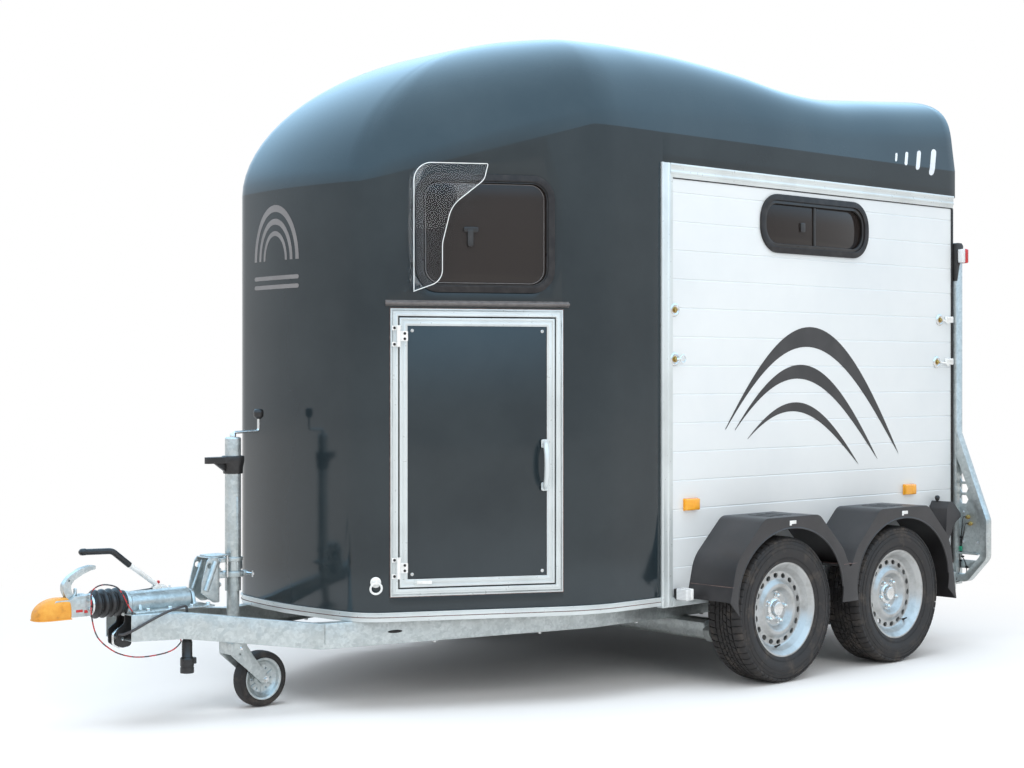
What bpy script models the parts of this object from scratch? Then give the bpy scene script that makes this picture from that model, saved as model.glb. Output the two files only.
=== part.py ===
"""A tandem-axle two-horse trailer, standing unhitched on its jockey wheel.

Metres, +Z up. -Y points at the towing vehicle and +X is the trailer's left side. The origin is on the ground,
below the middle of the trailer's box. Pieces of the left side are modelled first and mirrored for the right."""

import math

import bmesh
import bpy
from mathutils import Matrix, Vector

# Clearances
GAP = 0.0003  # between pieces that touch
DOOR_GAP = 0.006  # round a door leaf
WELD = 1e-6

# Running gear
TYRE_RADIUS = 0.298
TYRE_WIDTH = 0.185
RIM_RADIUS = 0.195  # to the edge of the flange
WHEEL_SIDES = 24
RIM_VENTS = 18
VENT_PLACE = 0.140  # from the axle to a vent's middle
VENT_LENGTH = 0.026
VENT_WIDTH = 0.016
AXLE_SPACING = 0.771
AXLE_LEAD = 0.15  # the axle tube lies this far ahead of its wheels
AXLE_TUBE = 0.08
ARM_X = 0.75  # inner face of the trailing arms
ARM_THICKNESS = 0.03
STUB_RADIUS = 0.024
BACKPLATE_RADIUS = 0.112

# Chassis rails, a channel that opens inward
RAIL_HEIGHT = 0.095
RAIL_FLANGE = 0.05
RAIL_STEEL = 0.004
RAIL_X = 0.60  # outer face beside the axles
RAIL_Z = 0.245  # underside
RAIL_STRAIGHT_Y = -0.0895  # from here to the rear the rails are parallel
DRAWBAR_RISE = 0.067
BEAM_YS = (0.05, 0.95)  # front faces of the two crossbeams
BEAM_DEPTH = 0.05
SILL_DEPTH = 0.0607
SILL_OVERHANG = 0.02

# Body
HALF_WIDTH = 0.83
WHEEL_X = HALF_WIDTH + 0.1125  # middle of the wheels
WALL = 0.03
SIDE_FRONT_Y = 0.0835
SIDE_REAR_Y = 2.0905
FRONT_AXLE_Y = SIDE_REAR_Y - 1.48
REAR_AXLE_Y = FRONT_AXLE_Y + AXLE_SPACING
CREASE_SIDE = 2.22  # height of the crease under the roof, along the sides
CREASE_FRONT = CREASE_SIDE - 0.245  # and round the nose
SIDE_BOTTOM = 0.331
SIDE_TOP = CREASE_SIDE - 0.127
FLOOR_THICKNESS = 0.025
FLOOR_SETBACK = 0.01  # from the rear end of the sides
SKIRT_BOTTOM = 0.3405
SKIRT_TOP = 0.375
SKIRT_PROUD = 0.004
NOSE_Y = -1.14
NOSE_ARC_RADIUS = 1.67
FACET_FRONT = (0.4208, -1.0870)  # where the front arc meets the door facet, before rounding
FACET_REAR_Y = -0.2895  # where the facet meets the side, before rounding
NOSE_ARC_STEPS = 3
NOSE_CORNER_RADIUS = 0.18
SIDE_CORNER_RADIUS = 0.53
ROOF_REAR_Y = SIDE_REAR_Y + 0.02
ROOF_THICKNESS = 0.022
ROOF_STEPS = 8

# Tack door, measured along the facet from its front corner
DOOR_START = 0.0985
DOOR_WIDTH = 0.661
DOOR_BOTTOM = 0.436
DOOR_TOP = CREASE_SIDE - 0.72
DOOR_FRAME = 0.025
DOOR_PROUD = 0.008
LEAF_RIM = 0.036
LEAF_THICKNESS = 0.026
PANEL_INSET = 0.01  # of the leaf's panel behind its rim's outline
PANEL_STEP = 0.006  # from the rim's faces to the panel's
HINGE_RADIUS = 0.008
HINGE_LENGTH = 0.04
HINGE_HEIGHTS = (DOOR_BOTTOM + 0.104, DOOR_TOP - 0.10)
HINGE_PLATE = 0.030
HINGE_PLATE_HALF = 0.004  # half its thickness
HINGE_TRIM = 0.001
HANDLE_HEIGHTS = (0.83, 1.00)
HANDLE_OUT = 0.045
HANDLE_END = 0.025
HANDLE_RADIUS = 0.009

# Windows
# start and end along the facet, sill, head
NOSE_WINDOW = (0.1984, 0.7197, CREASE_SIDE - 0.645, CREASE_SIDE - 0.22)
NOSE_WINDOW_RADIUS = 0.08
SIDE_WINDOW = (0.6905, 1.4105, SIDE_TOP - 0.308, SIDE_TOP - 0.083)  # front, rear, sill, head
SIDE_WINDOW_RADIUS = 0.10
PANE = 0.016
DEFLECTOR_FRONT = 0.025  # ahead of the nose window
DEFLECTOR_ABOVE = 0.045
DEFLECTOR_BELOW = 0.010
DEFLECTOR_REACH = 0.26  # rearward from the window's front edge
DEFLECTOR_DEPTH = 0.045
DEFLECTOR_SKIN = 0.004
DEFLECTOR_CORNER = 0.07

# Fenders
FENDER_X = HALF_WIDTH + 0.23
FENDER_TOP = 0.68
FENDER_SKIN = 0.005
FENDER_ARCH = 0.338
ARCH_LIFT = 0.062  # of the arches' middle above the axles
ARCH_START = math.radians(-12)
ARCH_STEPS = 14
FLAP_BOTTOM = 0.25
CHOCK_WIDTH = 0.10
FLAT_HALF = 0.175  # of the flat top over a wheel
SHOULDER_HALF = 0.345  # from a wheel's middle to the outer slope's foot
SHOULDER_HEIGHT = 0.52
VALLEY_HALF = 0.335
VALLEY_HEIGHT = 0.53
VALLEY_BOTTOM = 0.44
FENDER_FOOT = (0.385, 0.36)  # ahead of the front wheel's middle, and its height
FENDER_TAIL = 0.395  # behind the rear wheel's middle

# Rear frame and ramp
POST_WIDTH = 0.05
POST_DEPTH = 0.05
POST_TOP = SIDE_TOP - 0.223
POST_BOTTOM = 0.27
KINK_Z = 0.98
LAMP_FRAME_X = HALF_WIDTH + 0.18
LAMP_FRAME_BAR = 0.034
LAMP_FRAME_HEIGHTS = (0.285, 0.40, 0.58)  # its foot, and the lower and upper ends of its outer bar
FOOT_X = HALF_WIDTH + 0.075  # outer end of the lamp frame's foot
HOLE_ACROSS = 0.052  # between the gusset's hexagonal holes
HOLE_RADIUS = 0.023
HOLE_LOW = 0.67
GUSSET = 0.004
GUSSET_LOW = 0.415
GUSSET_BACK = 0.014  # from the post's rear face
LAMP_HEIGHTS = (0.44, 0.60)
LAMP_PROUD = 0.028
RAMP_THICKNESS = 0.03
RAMP_Y = SIDE_REAR_Y + 0.0055
RAMP_BOTTOM = 0.345
RAMP_TOP = SIDE_TOP - 0.253
RAMP_CLEARANCE = 0.008
RAMP_PIN_RADIUS = 0.010
RAMP_PIN_OFFSET = 0.004  # towards the rear, so that a shut ramp leans on the trailer
PIN_REACH = 0.020  # into each post
BORE_END = 0.04
SILL_TOP = 0.33
CURTAIN_Y = SIDE_REAR_Y - 0.03
CURTAIN_DROP = ROOF_THICKNESS + 0.003
CURTAIN_THICKNESS = 0.004
CURTAIN_LAP = 0.05  # below the ramp's top edge

# Inside
BAR_HEIGHT = 1.319
BAR_RADIUS = 0.025
BREAST_BAR_Y = SIDE_FRONT_Y + 0.045
RUMP_BAR_Y = SIDE_REAR_Y - 0.10
PARTITION_HEIGHTS = (0.90, 1.62)
PARTITION_HALF = 0.02

# Drawbar and jockey wheel
COUPLING_Z = 0.446
COUPLING_NOSE_Y = -2.2015
HOUSING_Y = (COUPLING_NOSE_Y + 0.3485, COUPLING_NOSE_Y + 0.6835)
HOUSING_HALF = 0.085
HOUSING_TOP = 0.476
FOOT_HALF = 0.035
SOCKET_RADIUS = 0.0255  # for a 50 mm ball
SOCKET_TOP = COUPLING_Z - 0.006
BELLOWS_RADIUS = 0.0535
SHANK_RADIUS = 0.025
BREAKAWAY_THICKNESS = 0.005
LEAD_THICKNESS = 0.010
JOCKEY_Y = HOUSING_Y[1] + 0.132
JOCKEY_TUBE_RADIUS = 0.030
JOCKEY_TUBE = (0.448, 1.019)
JOCKEY_LEG_RADIUS = 0.024
JOCKEY_LEG_BOTTOM = 0.262
JOCKEY_TYRE_RADIUS = 0.105
JOCKEY_TYRE_WIDTH = 0.065
JOCKEY_TRAIL = 0.12
CLAMP_HEIGHTS = (0.50, 0.552)

FINISHES = {
    # name: colour, roughness, metallic
    "gloss_slate": ((0.045, 0.062, 0.070), 0.12, 0.0),
    "white_aluminium": ((0.72, 0.77, 0.80), 0.35, 0.3),
    "galvanised": ((0.48, 0.54, 0.56), 0.42, 0.8),
    "silver_paint": ((0.62, 0.63, 0.64), 0.30, 0.6),
    "tyre_rubber": ((0.028, 0.025, 0.024), 0.80, 0.0),
    "black_plastic": ((0.035, 0.032, 0.033), 0.45, 0.0),
    "dark_glass": ((0.020, 0.018, 0.018), 0.05, 0.0),
    "clear_acrylic": ((0.75, 0.80, 0.84), 0.05, 0.0),
    "floor_board": ((0.10, 0.065, 0.045), 0.70, 0.0),
    "orange_rubber": ((0.75, 0.36, 0.06), 0.50, 0.0),
    "red_lens": ((0.55, 0.02, 0.02), 0.15, 0.0),
    "white_lens": ((0.85, 0.86, 0.86), 0.15, 0.0),
    "padding": ((0.05, 0.05, 0.055), 0.65, 0.0),
    "curtain_cloth": ((0.05, 0.06, 0.065), 0.75, 0.0),
}

FACING = {
    "X": Matrix(((0, 0, 1, 0), (1, 0, 0, 0), (0, 1, 0, 0), (0, 0, 0, 1))),
    "Y": Matrix(((1, 0, 0, 0), (0, 0, -1, 0), (0, 1, 0, 0), (0, 0, 0, 1))),
    "Z": Matrix.Identity(4),
}
ALONG = {"X": Vector((1, 0, 0)), "Y": Vector((0, 1, 0)), "Z": Vector((0, 0, 1))}

for old in list(bpy.data.objects):
    bpy.data.objects.remove(old)

TRAILER = bpy.data.collections.new("horse_trailer")
HELPERS = bpy.data.collections.new("cutters_and_joined_shapes")
for group in (TRAILER, HELPERS):
    bpy.context.scene.collection.children.link(group)


# Shapes


def shape(bm):
    """A hidden mesh object from a bmesh, in world coordinates, its faces pointing out."""
    bmesh.ops.remove_doubles(bm, verts=bm.verts, dist=WELD)
    bmesh.ops.recalc_face_normals(bm, faces=bm.faces)
    mesh = bpy.data.meshes.new("shape")
    bm.to_mesh(mesh)
    bm.free()
    obj = bpy.data.objects.new("shape", mesh)
    HELPERS.objects.link(obj)
    obj.hide_render = True
    obj.display_type = "WIRE"
    return obj


def evaluated_bmesh(obj):
    """A bmesh of the object with its modifiers applied, in world coordinates."""
    bpy.context.view_layer.update()
    graph = bpy.context.evaluated_depsgraph_get()
    mesh = bpy.data.meshes.new_from_object(obj.evaluated_get(graph))
    bm = bmesh.new()
    bm.from_mesh(mesh)
    bpy.data.meshes.remove(mesh)
    bmesh.ops.transform(bm, matrix=obj.matrix_world, verts=bm.verts)
    return bm


def as_mesh(obj):
    """A curve or a Screw object made a plain mesh, its caps welded on."""
    HELPERS.objects.link(obj)
    bm = evaluated_bmesh(obj)
    bpy.data.objects.remove(obj)
    return shape(bm)


def block(low, high):
    """A box between two corners."""
    low, high = Vector(low), Vector(high)
    bm = bmesh.new()
    bmesh.ops.create_cube(bm, size=1)
    bmesh.ops.scale(bm, vec=high - low, verts=bm.verts)
    bmesh.ops.translate(bm, vec=(low + high) / 2, verts=bm.verts)
    return shape(bm)


def prism(outlines, low, high, axis="Z", frame=None):
    """A flat outline, and any holes in it, extruded from low to high along an axis or a frame's own Z."""
    curve = bpy.data.curves.new("outline", "CURVE")
    curve.dimensions = "2D"
    curve.fill_mode = "BOTH"
    curve.extrude = (high - low) / 2
    for outline in outlines:
        spline = curve.splines.new("POLY")
        spline.points.add(len(outline) - 1)
        for point, place in zip(spline.points, outline):
            point.co = (place[0], place[1], 0, 1)
        spline.use_cyclic_u = True
    obj = bpy.data.objects.new("outline", curve)
    if frame is None:
        obj.matrix_world = Matrix.Translation(ALONG[axis] * (low + high) / 2) @ FACING[axis]
    else:
        obj.matrix_world = frame @ Matrix.Translation((0, 0, (low + high) / 2))
    return as_mesh(obj)


def rod(points, radius, sides=8):
    """A round bar through the points, with filled ends."""
    curve = bpy.data.curves.new("path", "CURVE")
    curve.dimensions = "3D"
    curve.bevel_depth = radius
    curve.bevel_resolution = sides // 2 - 2
    curve.use_fill_caps = True
    spline = curve.splines.new("POLY")
    spline.points.add(len(points) - 1)
    for point, place in zip(spline.points, points):
        point.co = (*place, 1)
    return as_mesh(bpy.data.objects.new("path", curve))


def turned(profile, centre, axis="Z", sides=24, half_turn=0.5):
    """A profile of (radius, height) points turned round an axis. Ends off the axis are joined into a ring."""
    mesh = bpy.data.meshes.new("profile")
    edges = [(i, i + 1) for i in range(len(profile) - 1)]
    if profile[0][0] > 0:
        edges.append((len(profile) - 1, 0))
    flat = 1 / math.cos(math.pi / sides)  # so that the flats, and not the corners, lie at the radius
    mesh.from_pydata([(radius * flat, 0, height) for radius, height in profile], edges, [])
    obj = bpy.data.objects.new("profile", mesh)
    screw = obj.modifiers.new("turn", "SCREW")
    screw.steps = screw.render_steps = sides
    screw.use_merge_vertices = True
    screw.merge_threshold = WELD
    half = Matrix.Rotation(half_turn * 2 * math.pi / sides, 4, "Z")
    obj.matrix_world = Matrix.Translation(centre) @ FACING[axis] @ half
    return as_mesh(obj)


def loft(rings):
    """A solid through like sections, its first and last closed by a face."""
    bm = bmesh.new()
    rows = [[bm.verts.new(point) for point in ring] for ring in rings]
    for row, following in zip(rows, rows[1:]):
        for i in range(len(row)):
            j = (i + 1) % len(row)
            bm.faces.new((row[i], row[j], following[j], following[i]))
    bm.faces.new(rows[0])
    bm.faces.new(rows[-1])
    return shape(bm)


def boolean(obj, operation, others):
    for other in others:
        modifier = obj.modifiers.new(operation.lower(), "BOOLEAN")
        modifier.operation = operation
        modifier.solver = "EXACT"
        modifier.object = other
    return obj


def cut(obj, *cutters):
    return boolean(obj, "DIFFERENCE", cutters)


def join(obj, *others):
    return boolean(obj, "UNION", others)


def node(obj, name, finish, pivot=(0, 0, 0)):
    """The object as a piece of the trailer, with its own material and its origin at the pivot."""
    obj.name = obj.data.name = name
    HELPERS.objects.unlink(obj)
    TRAILER.objects.link(obj)
    obj.hide_render = False
    obj.display_type = "TEXTURED"
    colour, roughness, metallic = FINISHES[finish]
    material = bpy.data.materials.new(f"{name}_{finish}")
    material.use_nodes = True
    principled = material.node_tree.nodes["Principled BSDF"]
    principled.inputs["Base Color"].default_value = (*colour, 1)
    principled.inputs["Roughness"].default_value = roughness
    principled.inputs["Metallic"].default_value = metallic
    material.diffuse_color = (*colour, 1)
    obj.data.materials.append(material)
    obj.data.transform(Matrix.Translation(-Vector(pivot)))
    obj.location = pivot
    return obj


def mirrored(obj):
    """The same shape on the other side of the trailer."""
    bm = evaluated_bmesh(obj)
    bmesh.ops.scale(bm, vec=(-1, 1, 1), verts=bm.verts)
    return shape(bm)


def pair(obj, name, finish, pivot=(0, 0, 0)):
    """A left piece and its mirror image on the right."""
    x, y, z = pivot
    node(mirrored(obj), f"{name}_right", finish, (-x, y, z))
    return node(obj, f"{name}_left", finish, pivot)


# Outlines


def rounded(points, radii, closed=True, steps=4):
    """The points joined by straight runs, with an arc at each corner whose radius isn't 0."""
    path = []
    count = len(points)
    for i, (point, radius) in enumerate(zip(points, radii)):
        here = Vector(point)
        if radius == 0 or (not closed and i in (0, count - 1)):
            path.append(here)
            continue
        before = (Vector(points[i - 1]) - here).normalized()
        after = (Vector(points[(i + 1) % count]) - here).normalized()
        half = before.angle(after) / 2
        middle = here + (before + after).normalized() * radius / math.sin(half)
        start = here + before * radius / math.tan(half) - middle
        end = here + after * radius / math.tan(half) - middle
        turn = start.angle(end)
        for k in range(steps + 1):
            share = k / steps
            arm = start * math.sin((1 - share) * turn) + end * math.sin(share * turn)
            path.append(middle + arm / math.sin(turn))
    return path


def rectangle(left, right, bottom, top, radius=0.0, steps=4):
    corners = [(left, bottom), (right, bottom), (right, top), (left, top)]
    return rounded(corners, [radius] * 4, steps=steps)


def circle(x, y, radius, sides=24):
    turns = [2 * math.pi * i / sides for i in range(sides)]
    return [(x + radius * math.cos(turn), y + radius * math.sin(turn)) for turn in turns]


FACET_START = Vector(FACET_FRONT)
FACET_END = Vector((HALF_WIDTH, FACET_REAR_Y))
FACET_ALONG = (FACET_END - FACET_START).normalized()
FACET_OUT = Vector((FACET_ALONG.y, -FACET_ALONG.x))
FACET_FRAME = Matrix(
    (
        (FACET_ALONG.x, 0, FACET_OUT.x, FACET_START.x),
        (FACET_ALONG.y, 0, FACET_OUT.y, FACET_START.y),
        (0, 1, 0, 0),
        (0, 0, 0, 1),
    )
)


def on_facet(along, up, out):
    """World point from distances along the facet, up, and outward from it."""
    return FACET_FRAME @ Vector((along, up, out))


def nose_plan():
    """Left half of the nose seen from above: shallow arc, corner, door facet, corner, start of the side."""
    points = []
    for i in range(NOSE_ARC_STEPS):
        x = FACET_FRONT[0] * i / NOSE_ARC_STEPS
        points.append((x, NOSE_Y + x * x / (2 * NOSE_ARC_RADIUS)))
    points += [FACET_FRONT, (HALF_WIDTH, FACET_REAR_Y), (HALF_WIDTH, SIDE_FRONT_Y - GAP)]
    radii = [0] * NOSE_ARC_STEPS + [NOSE_CORNER_RADIUS, SIDE_CORNER_RADIUS, 0]
    return rounded(points, radii, closed=False)


def outward(path):
    """Outward normal at each point of the left half plan, whose first point is on the centre line."""
    normals = []
    for i, point in enumerate(path):
        before = path[i - 1] if i else Vector((-path[1].x, path[1].y))
        after = path[i + 1] if i + 1 < len(path) else point + Vector((0, 1))
        a = (point - before).normalized()
        b = (after - point).normalized()
        bisector = Vector((a.y + b.y, -(a.x + b.x)))
        bisector.normalize()
        normals.append(bisector / max(0.5, bisector.dot(Vector((a.y, -a.x)))))
    return normals


PLAN = nose_plan()
PLAN_OUT = outward(PLAN)


def crease(point):
    """Height of the crease above a point of the nose plan: level across the front, rising along the facet."""
    share = (point.y - FACET_FRONT[1]) / (FACET_REAR_Y - FACET_FRONT[1])
    return CREASE_FRONT + (CREASE_SIDE - CREASE_FRONT) * min(1.0, max(0.0, share))


def both_sides(left):
    """Right half mirrored from the left, rear to front, followed by the left, front to rear."""
    return [Vector((-p.x, *p[1:])) for p in reversed(left[1:])] + [Vector(p) for p in left]


def nose_band(inner, outer, bottom, top):
    """A wall round the nose between two offsets from its plan, with a height for each point."""
    columns = []
    for point, normal in zip(PLAN, PLAN_OUT):
        a, b = point + normal * outer, point + normal * inner
        z = top(point)
        columns.append([(a.x, a.y, bottom), (b.x, b.y, bottom), (b.x, b.y, z), (a.x, a.y, z)])
    right = [[(-x, y, z) for x, y, z in ring] for ring in reversed(columns[1:])]
    return loft(right + columns)


# Roof

RIDGE = (
    # y, height of the roof's centre line
    (SIDE_FRONT_Y, CREASE_SIDE + 0.435),
    (0.40, CREASE_SIDE + 0.424),
    (0.75, CREASE_SIDE + 0.385),
    (1.05, CREASE_SIDE + 0.335),
    (1.35, CREASE_SIDE + 0.3165),
    (1.70, CREASE_SIDE + 0.3415),
    (ROOF_REAR_Y, CREASE_SIDE + 0.376),
)
FULLNESS = (
    # y, exponent of the section from eave to ridge: 2 is an ellipse, more is boxier
    (NOSE_Y, 1.80),
    (0.50, 3.12),
    (ROOF_REAR_Y, 4.32),
)


def read_off(table, y):
    """The value at y between a table's rows, and its first or last value beyond them."""
    for (y0, value0), (y1, value1) in zip(table, table[1:]):
        if y <= y1:
            return value0 + (value1 - value0) * (max(y, y0) - y0) / (y1 - y0)
    return table[-1][1]


def roof_column(foot, eave, ridge_y, drop, exponent):
    """Points from the eave up to the ridge."""
    peak = Vector((0, ridge_y, read_off(RIDGE, ridge_y) - drop))
    column = []
    for i in range(ROOF_STEPS + 1):
        angle = math.pi / 2 * i / ROOF_STEPS
        inward = 1 - max(0.0, math.cos(angle)) ** (2 / exponent)
        rise = math.sin(angle) ** (2 / exponent)
        flat = foot.lerp(peak.xy, inward)
        column.append(Vector((flat.x, flat.y, eave + (peak.z - eave) * rise)))
    return column


def roof_columns(inset):
    """Columns of one skin, front centre to rear. Those round the nose meet at the front end of the ridge."""
    columns = []
    for point, normal in zip(PLAN, PLAN_OUT):
        foot = point - normal * inset
        columns.append(roof_column(foot, crease(point), SIDE_FRONT_Y, inset, read_off(FULLNESS, point.y)))
    for y, _ in RIDGE[1:]:
        foot = Vector((HALF_WIDTH - inset, y))
        columns.append(roof_column(foot, CREASE_SIDE, y, inset, read_off(FULLNESS, y)))
    return columns


def roof_shell():
    """The dome over the nose and the horses, with a band below its crease along the sides."""
    bm = bmesh.new()
    band_start = len(PLAN) - 1

    def skin(columns, side):
        """One half of one skin. Each column along the sides starts at the band's lower edge."""
        rows = []
        for i, column in enumerate(columns):
            row = [bm.verts.new((side * p.x, p.y, p.z)) for p in column]
            low = bm.verts.new((side * column[0].x, column[0].y, SIDE_TOP + GAP)) if i >= band_start else None
            rows.append((low, row))
        for (low, row), (low_after, after) in zip(rows, rows[1:]):
            for a, b, c, d in zip(row, after, after[1:], row[1:]):
                bm.faces.new((a, b, c, d))
            if low:
                bm.faces.new((low, low_after, after[0], row[0]))
        return rows

    for side in (1, -1):
        outer = skin(roof_columns(0), side)
        inner = skin(roof_columns(ROOF_THICKNESS), side)
        for i in range(len(outer) - 1):
            edges = []
            for rows in (outer, inner):
                lows, eaves = [low for low, _ in rows], [row[0] for _, row in rows]
                edges.append((lows if i >= band_start else eaves)[i : i + 2])
            (a, b), (d, c) = edges
            bm.faces.new((a, b, c, d))
        for i in (band_start, len(outer) - 1):
            (out_low, out_row), (in_low, in_row) = outer[i], inner[i]
            bm.faces.new((out_low, out_row[0], in_row[0], in_low))
        for a, b, c, d in zip(outer[-1][1], outer[-1][1][1:], inner[-1][1][1:], inner[-1][1]):
            bm.faces.new((a, b, c, d))
    return shape(bm)


# Body


def make_body():
    shell = nose_band(-WALL, 0, SKIRT_TOP + GAP, lambda p: crease(p) - GAP)
    start, end, sill, head = NOSE_WINDOW
    reach = 2 * WALL
    door_hole = rectangle(DOOR_START - GAP, DOOR_START + DOOR_WIDTH + GAP, DOOR_BOTTOM - GAP, DOOR_TOP + GAP)
    window_hole = rectangle(start, end, sill, head, NOSE_WINDOW_RADIUS)
    cutters = []
    for outline in (door_hole, window_hole):
        cutter = prism([outline], -reach, reach, frame=FACET_FRAME)
        cutters += [cutter, mirrored(cutter)]
    node(cut(shell, *cutters), "nose_shell", "gloss_slate")
    node(roof_shell(), "roof_shell", "gloss_slate")

    skirt = nose_band(-WALL, SKIRT_PROUD, SKIRT_BOTTOM, lambda p: SKIRT_TOP)
    node(skirt, "nose_skirt", "white_aluminium")

    floor_bottom = RAIL_Z + RAIL_HEIGHT + GAP
    inset = WALL + GAP
    floor_plan = [point - normal * inset for point, normal in zip(PLAN, PLAN_OUT)]
    floor_plan.append(Vector((HALF_WIDTH - inset, SIDE_REAR_Y - FLOOR_SETBACK)))
    floor = prism([both_sides(floor_plan)], floor_bottom, floor_bottom + FLOOR_THICKNESS)
    node(floor, "floor", "floor_board")

    front, rear, sill, head = SIDE_WINDOW
    wall = rectangle(SIDE_FRONT_Y, SIDE_REAR_Y, SIDE_BOTTOM, SIDE_TOP)
    hole = rectangle(front, rear, sill, head, SIDE_WINDOW_RADIUS)
    pair(prism([wall, hole], HALF_WIDTH - WALL, HALF_WIDTH, "X"), "side", "white_aluminium")
    pane = rectangle(front + GAP, rear - GAP, sill + GAP, head - GAP, SIDE_WINDOW_RADIUS - GAP)
    middle = HALF_WIDTH - WALL / 2
    pair(prism([pane], middle - PANE / 2, middle + PANE / 2, "X"), "side_window", "dark_glass")

    start, end, sill, head = NOSE_WINDOW
    pane = rectangle(start + GAP, end - GAP, sill + GAP, head - GAP, NOSE_WINDOW_RADIUS - GAP)
    nose_pane = prism([pane], -WALL / 2 - PANE / 2, -WALL / 2 + PANE / 2, frame=FACET_FRAME)
    pair(nose_pane, "nose_window", "dark_glass")


def make_doors():
    opening = (
        DOOR_START + DOOR_FRAME,
        DOOR_START + DOOR_WIDTH - DOOR_FRAME,
        DOOR_BOTTOM + DOOR_FRAME,
        DOOR_TOP - DOOR_FRAME,
    )
    outer = rectangle(DOOR_START, DOOR_START + DOOR_WIDTH, DOOR_BOTTOM, DOOR_TOP)
    frame = prism([outer, rectangle(*opening)], -WALL, DOOR_PROUD, frame=FACET_FRAME)
    leaf_start, leaf_end = opening[0] + DOOR_GAP, opening[1] - DOOR_GAP
    leaf_low, leaf_high = opening[2] + DOOR_GAP, opening[3] - DOOR_GAP
    rim = [
        rectangle(leaf_start, leaf_end, leaf_low, leaf_high),
        rectangle(leaf_start + LEAF_RIM, leaf_end - LEAF_RIM, leaf_low + LEAF_RIM, leaf_high - LEAF_RIM),
    ]
    inset, back = PANEL_INSET, DOOR_PROUD - LEAF_THICKNESS
    panel = rectangle(leaf_start + inset, leaf_end - inset, leaf_low + inset, leaf_high - inset)
    leaf = prism(rim, back, DOOR_PROUD, frame=FACET_FRAME)
    join(leaf, prism([panel], back + PANEL_STEP, DOOR_PROUD - PANEL_STEP, frame=FACET_FRAME))

    trim = HINGE_TRIM
    hinge_out = DOOR_PROUD + HINGE_RADIUS + trim
    plate_low, plate_high = DOOR_PROUD - HINGE_PLATE_HALF, DOOR_PROUD + HINGE_PLATE_HALF

    def knuckle(low, high):
        profile = [(0, high), (HINGE_RADIUS, high), (HINGE_RADIUS, low), (0, low)]
        return turned(profile, on_facet(opening[0], 0, hinge_out), sides=12)

    fixed = []
    for height in HINGE_HEIGHTS:
        low, high = height - HINGE_LENGTH / 2, height + HINGE_LENGTH / 2
        leaf_plate = rectangle(opening[0] + trim, leaf_start + HINGE_PLATE, low + trim, high - trim)
        join(leaf, knuckle(low, high), prism([leaf_plate], plate_low, plate_high, frame=FACET_FRAME))
        for start, end in ((low - HINGE_LENGTH / 2, low - GAP), (high + GAP, high + HINGE_LENGTH / 2)):
            plate = rectangle(opening[0] - DOOR_FRAME * 0.8, opening[0] - trim, start + trim, end - trim)
            fixed += [knuckle(start, end), prism([plate], plate_low, plate_high, frame=FACET_FRAME)]
    join(frame, *fixed)

    handle_along = leaf_end - LEAF_RIM / 2
    low, high = HANDLE_HEIGHTS
    root = DOOR_PROUD - PANEL_STEP / 2
    bow = [
        on_facet(handle_along, low, root),
        on_facet(handle_along, low + HANDLE_END, HANDLE_OUT * 0.8),
        on_facet(handle_along, (low + high) / 2, HANDLE_OUT),
        on_facet(handle_along, high - HANDLE_END, HANDLE_OUT * 0.8),
        on_facet(handle_along, high, root),
    ]
    join(leaf, rod(bow, HANDLE_RADIUS))
    pivot = on_facet(opening[0], (DOOR_BOTTOM + DOOR_TOP) / 2, hinge_out)
    pair(frame, "door_frame", "white_aluminium")
    pair(leaf, "door", "white_aluminium", pivot)


def make_deflector():
    """A clear wind deflector round the front upper corner of each nose window."""
    start, _, sill, head = NOSE_WINDOW
    front, top, bottom = start - DEFLECTOR_FRONT, head + DEFLECTOR_ABOVE, sill - DEFLECTOR_BELOW
    end, depth, skin, corner = start + DEFLECTOR_REACH, DEFLECTOR_DEPTH, DEFLECTOR_SKIN, DEFLECTOR_CORNER
    lens = rounded(
        [
            (front, top),
            (end, top),
            (end - 0.015, top - 0.06),
            (start + 0.12, top - 0.16),
            (start + 0.085, top - 0.30),
            (start + 0.085, sill + 0.03),
            (front, bottom),
        ],
        [corner, 0, 0.04, 0.10, 0.10, 0.06, 0],
    )
    face = prism([lens], depth - skin, depth, frame=FACET_FRAME)
    outer = rounded([(front, bottom), (front, top), (end, top)], [0, corner, 0], closed=False)
    inset = [(front + skin, bottom), (front + skin, top - skin), (end, top - skin)]
    inner = rounded(inset, [0, corner - skin, 0], closed=False)
    rim = prism([outer + inner[::-1]], GAP, depth - skin / 2, frame=FACET_FRAME)
    pair(join(face, rim), "wind_deflector", "clear_acrylic")


# Running gear


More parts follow.
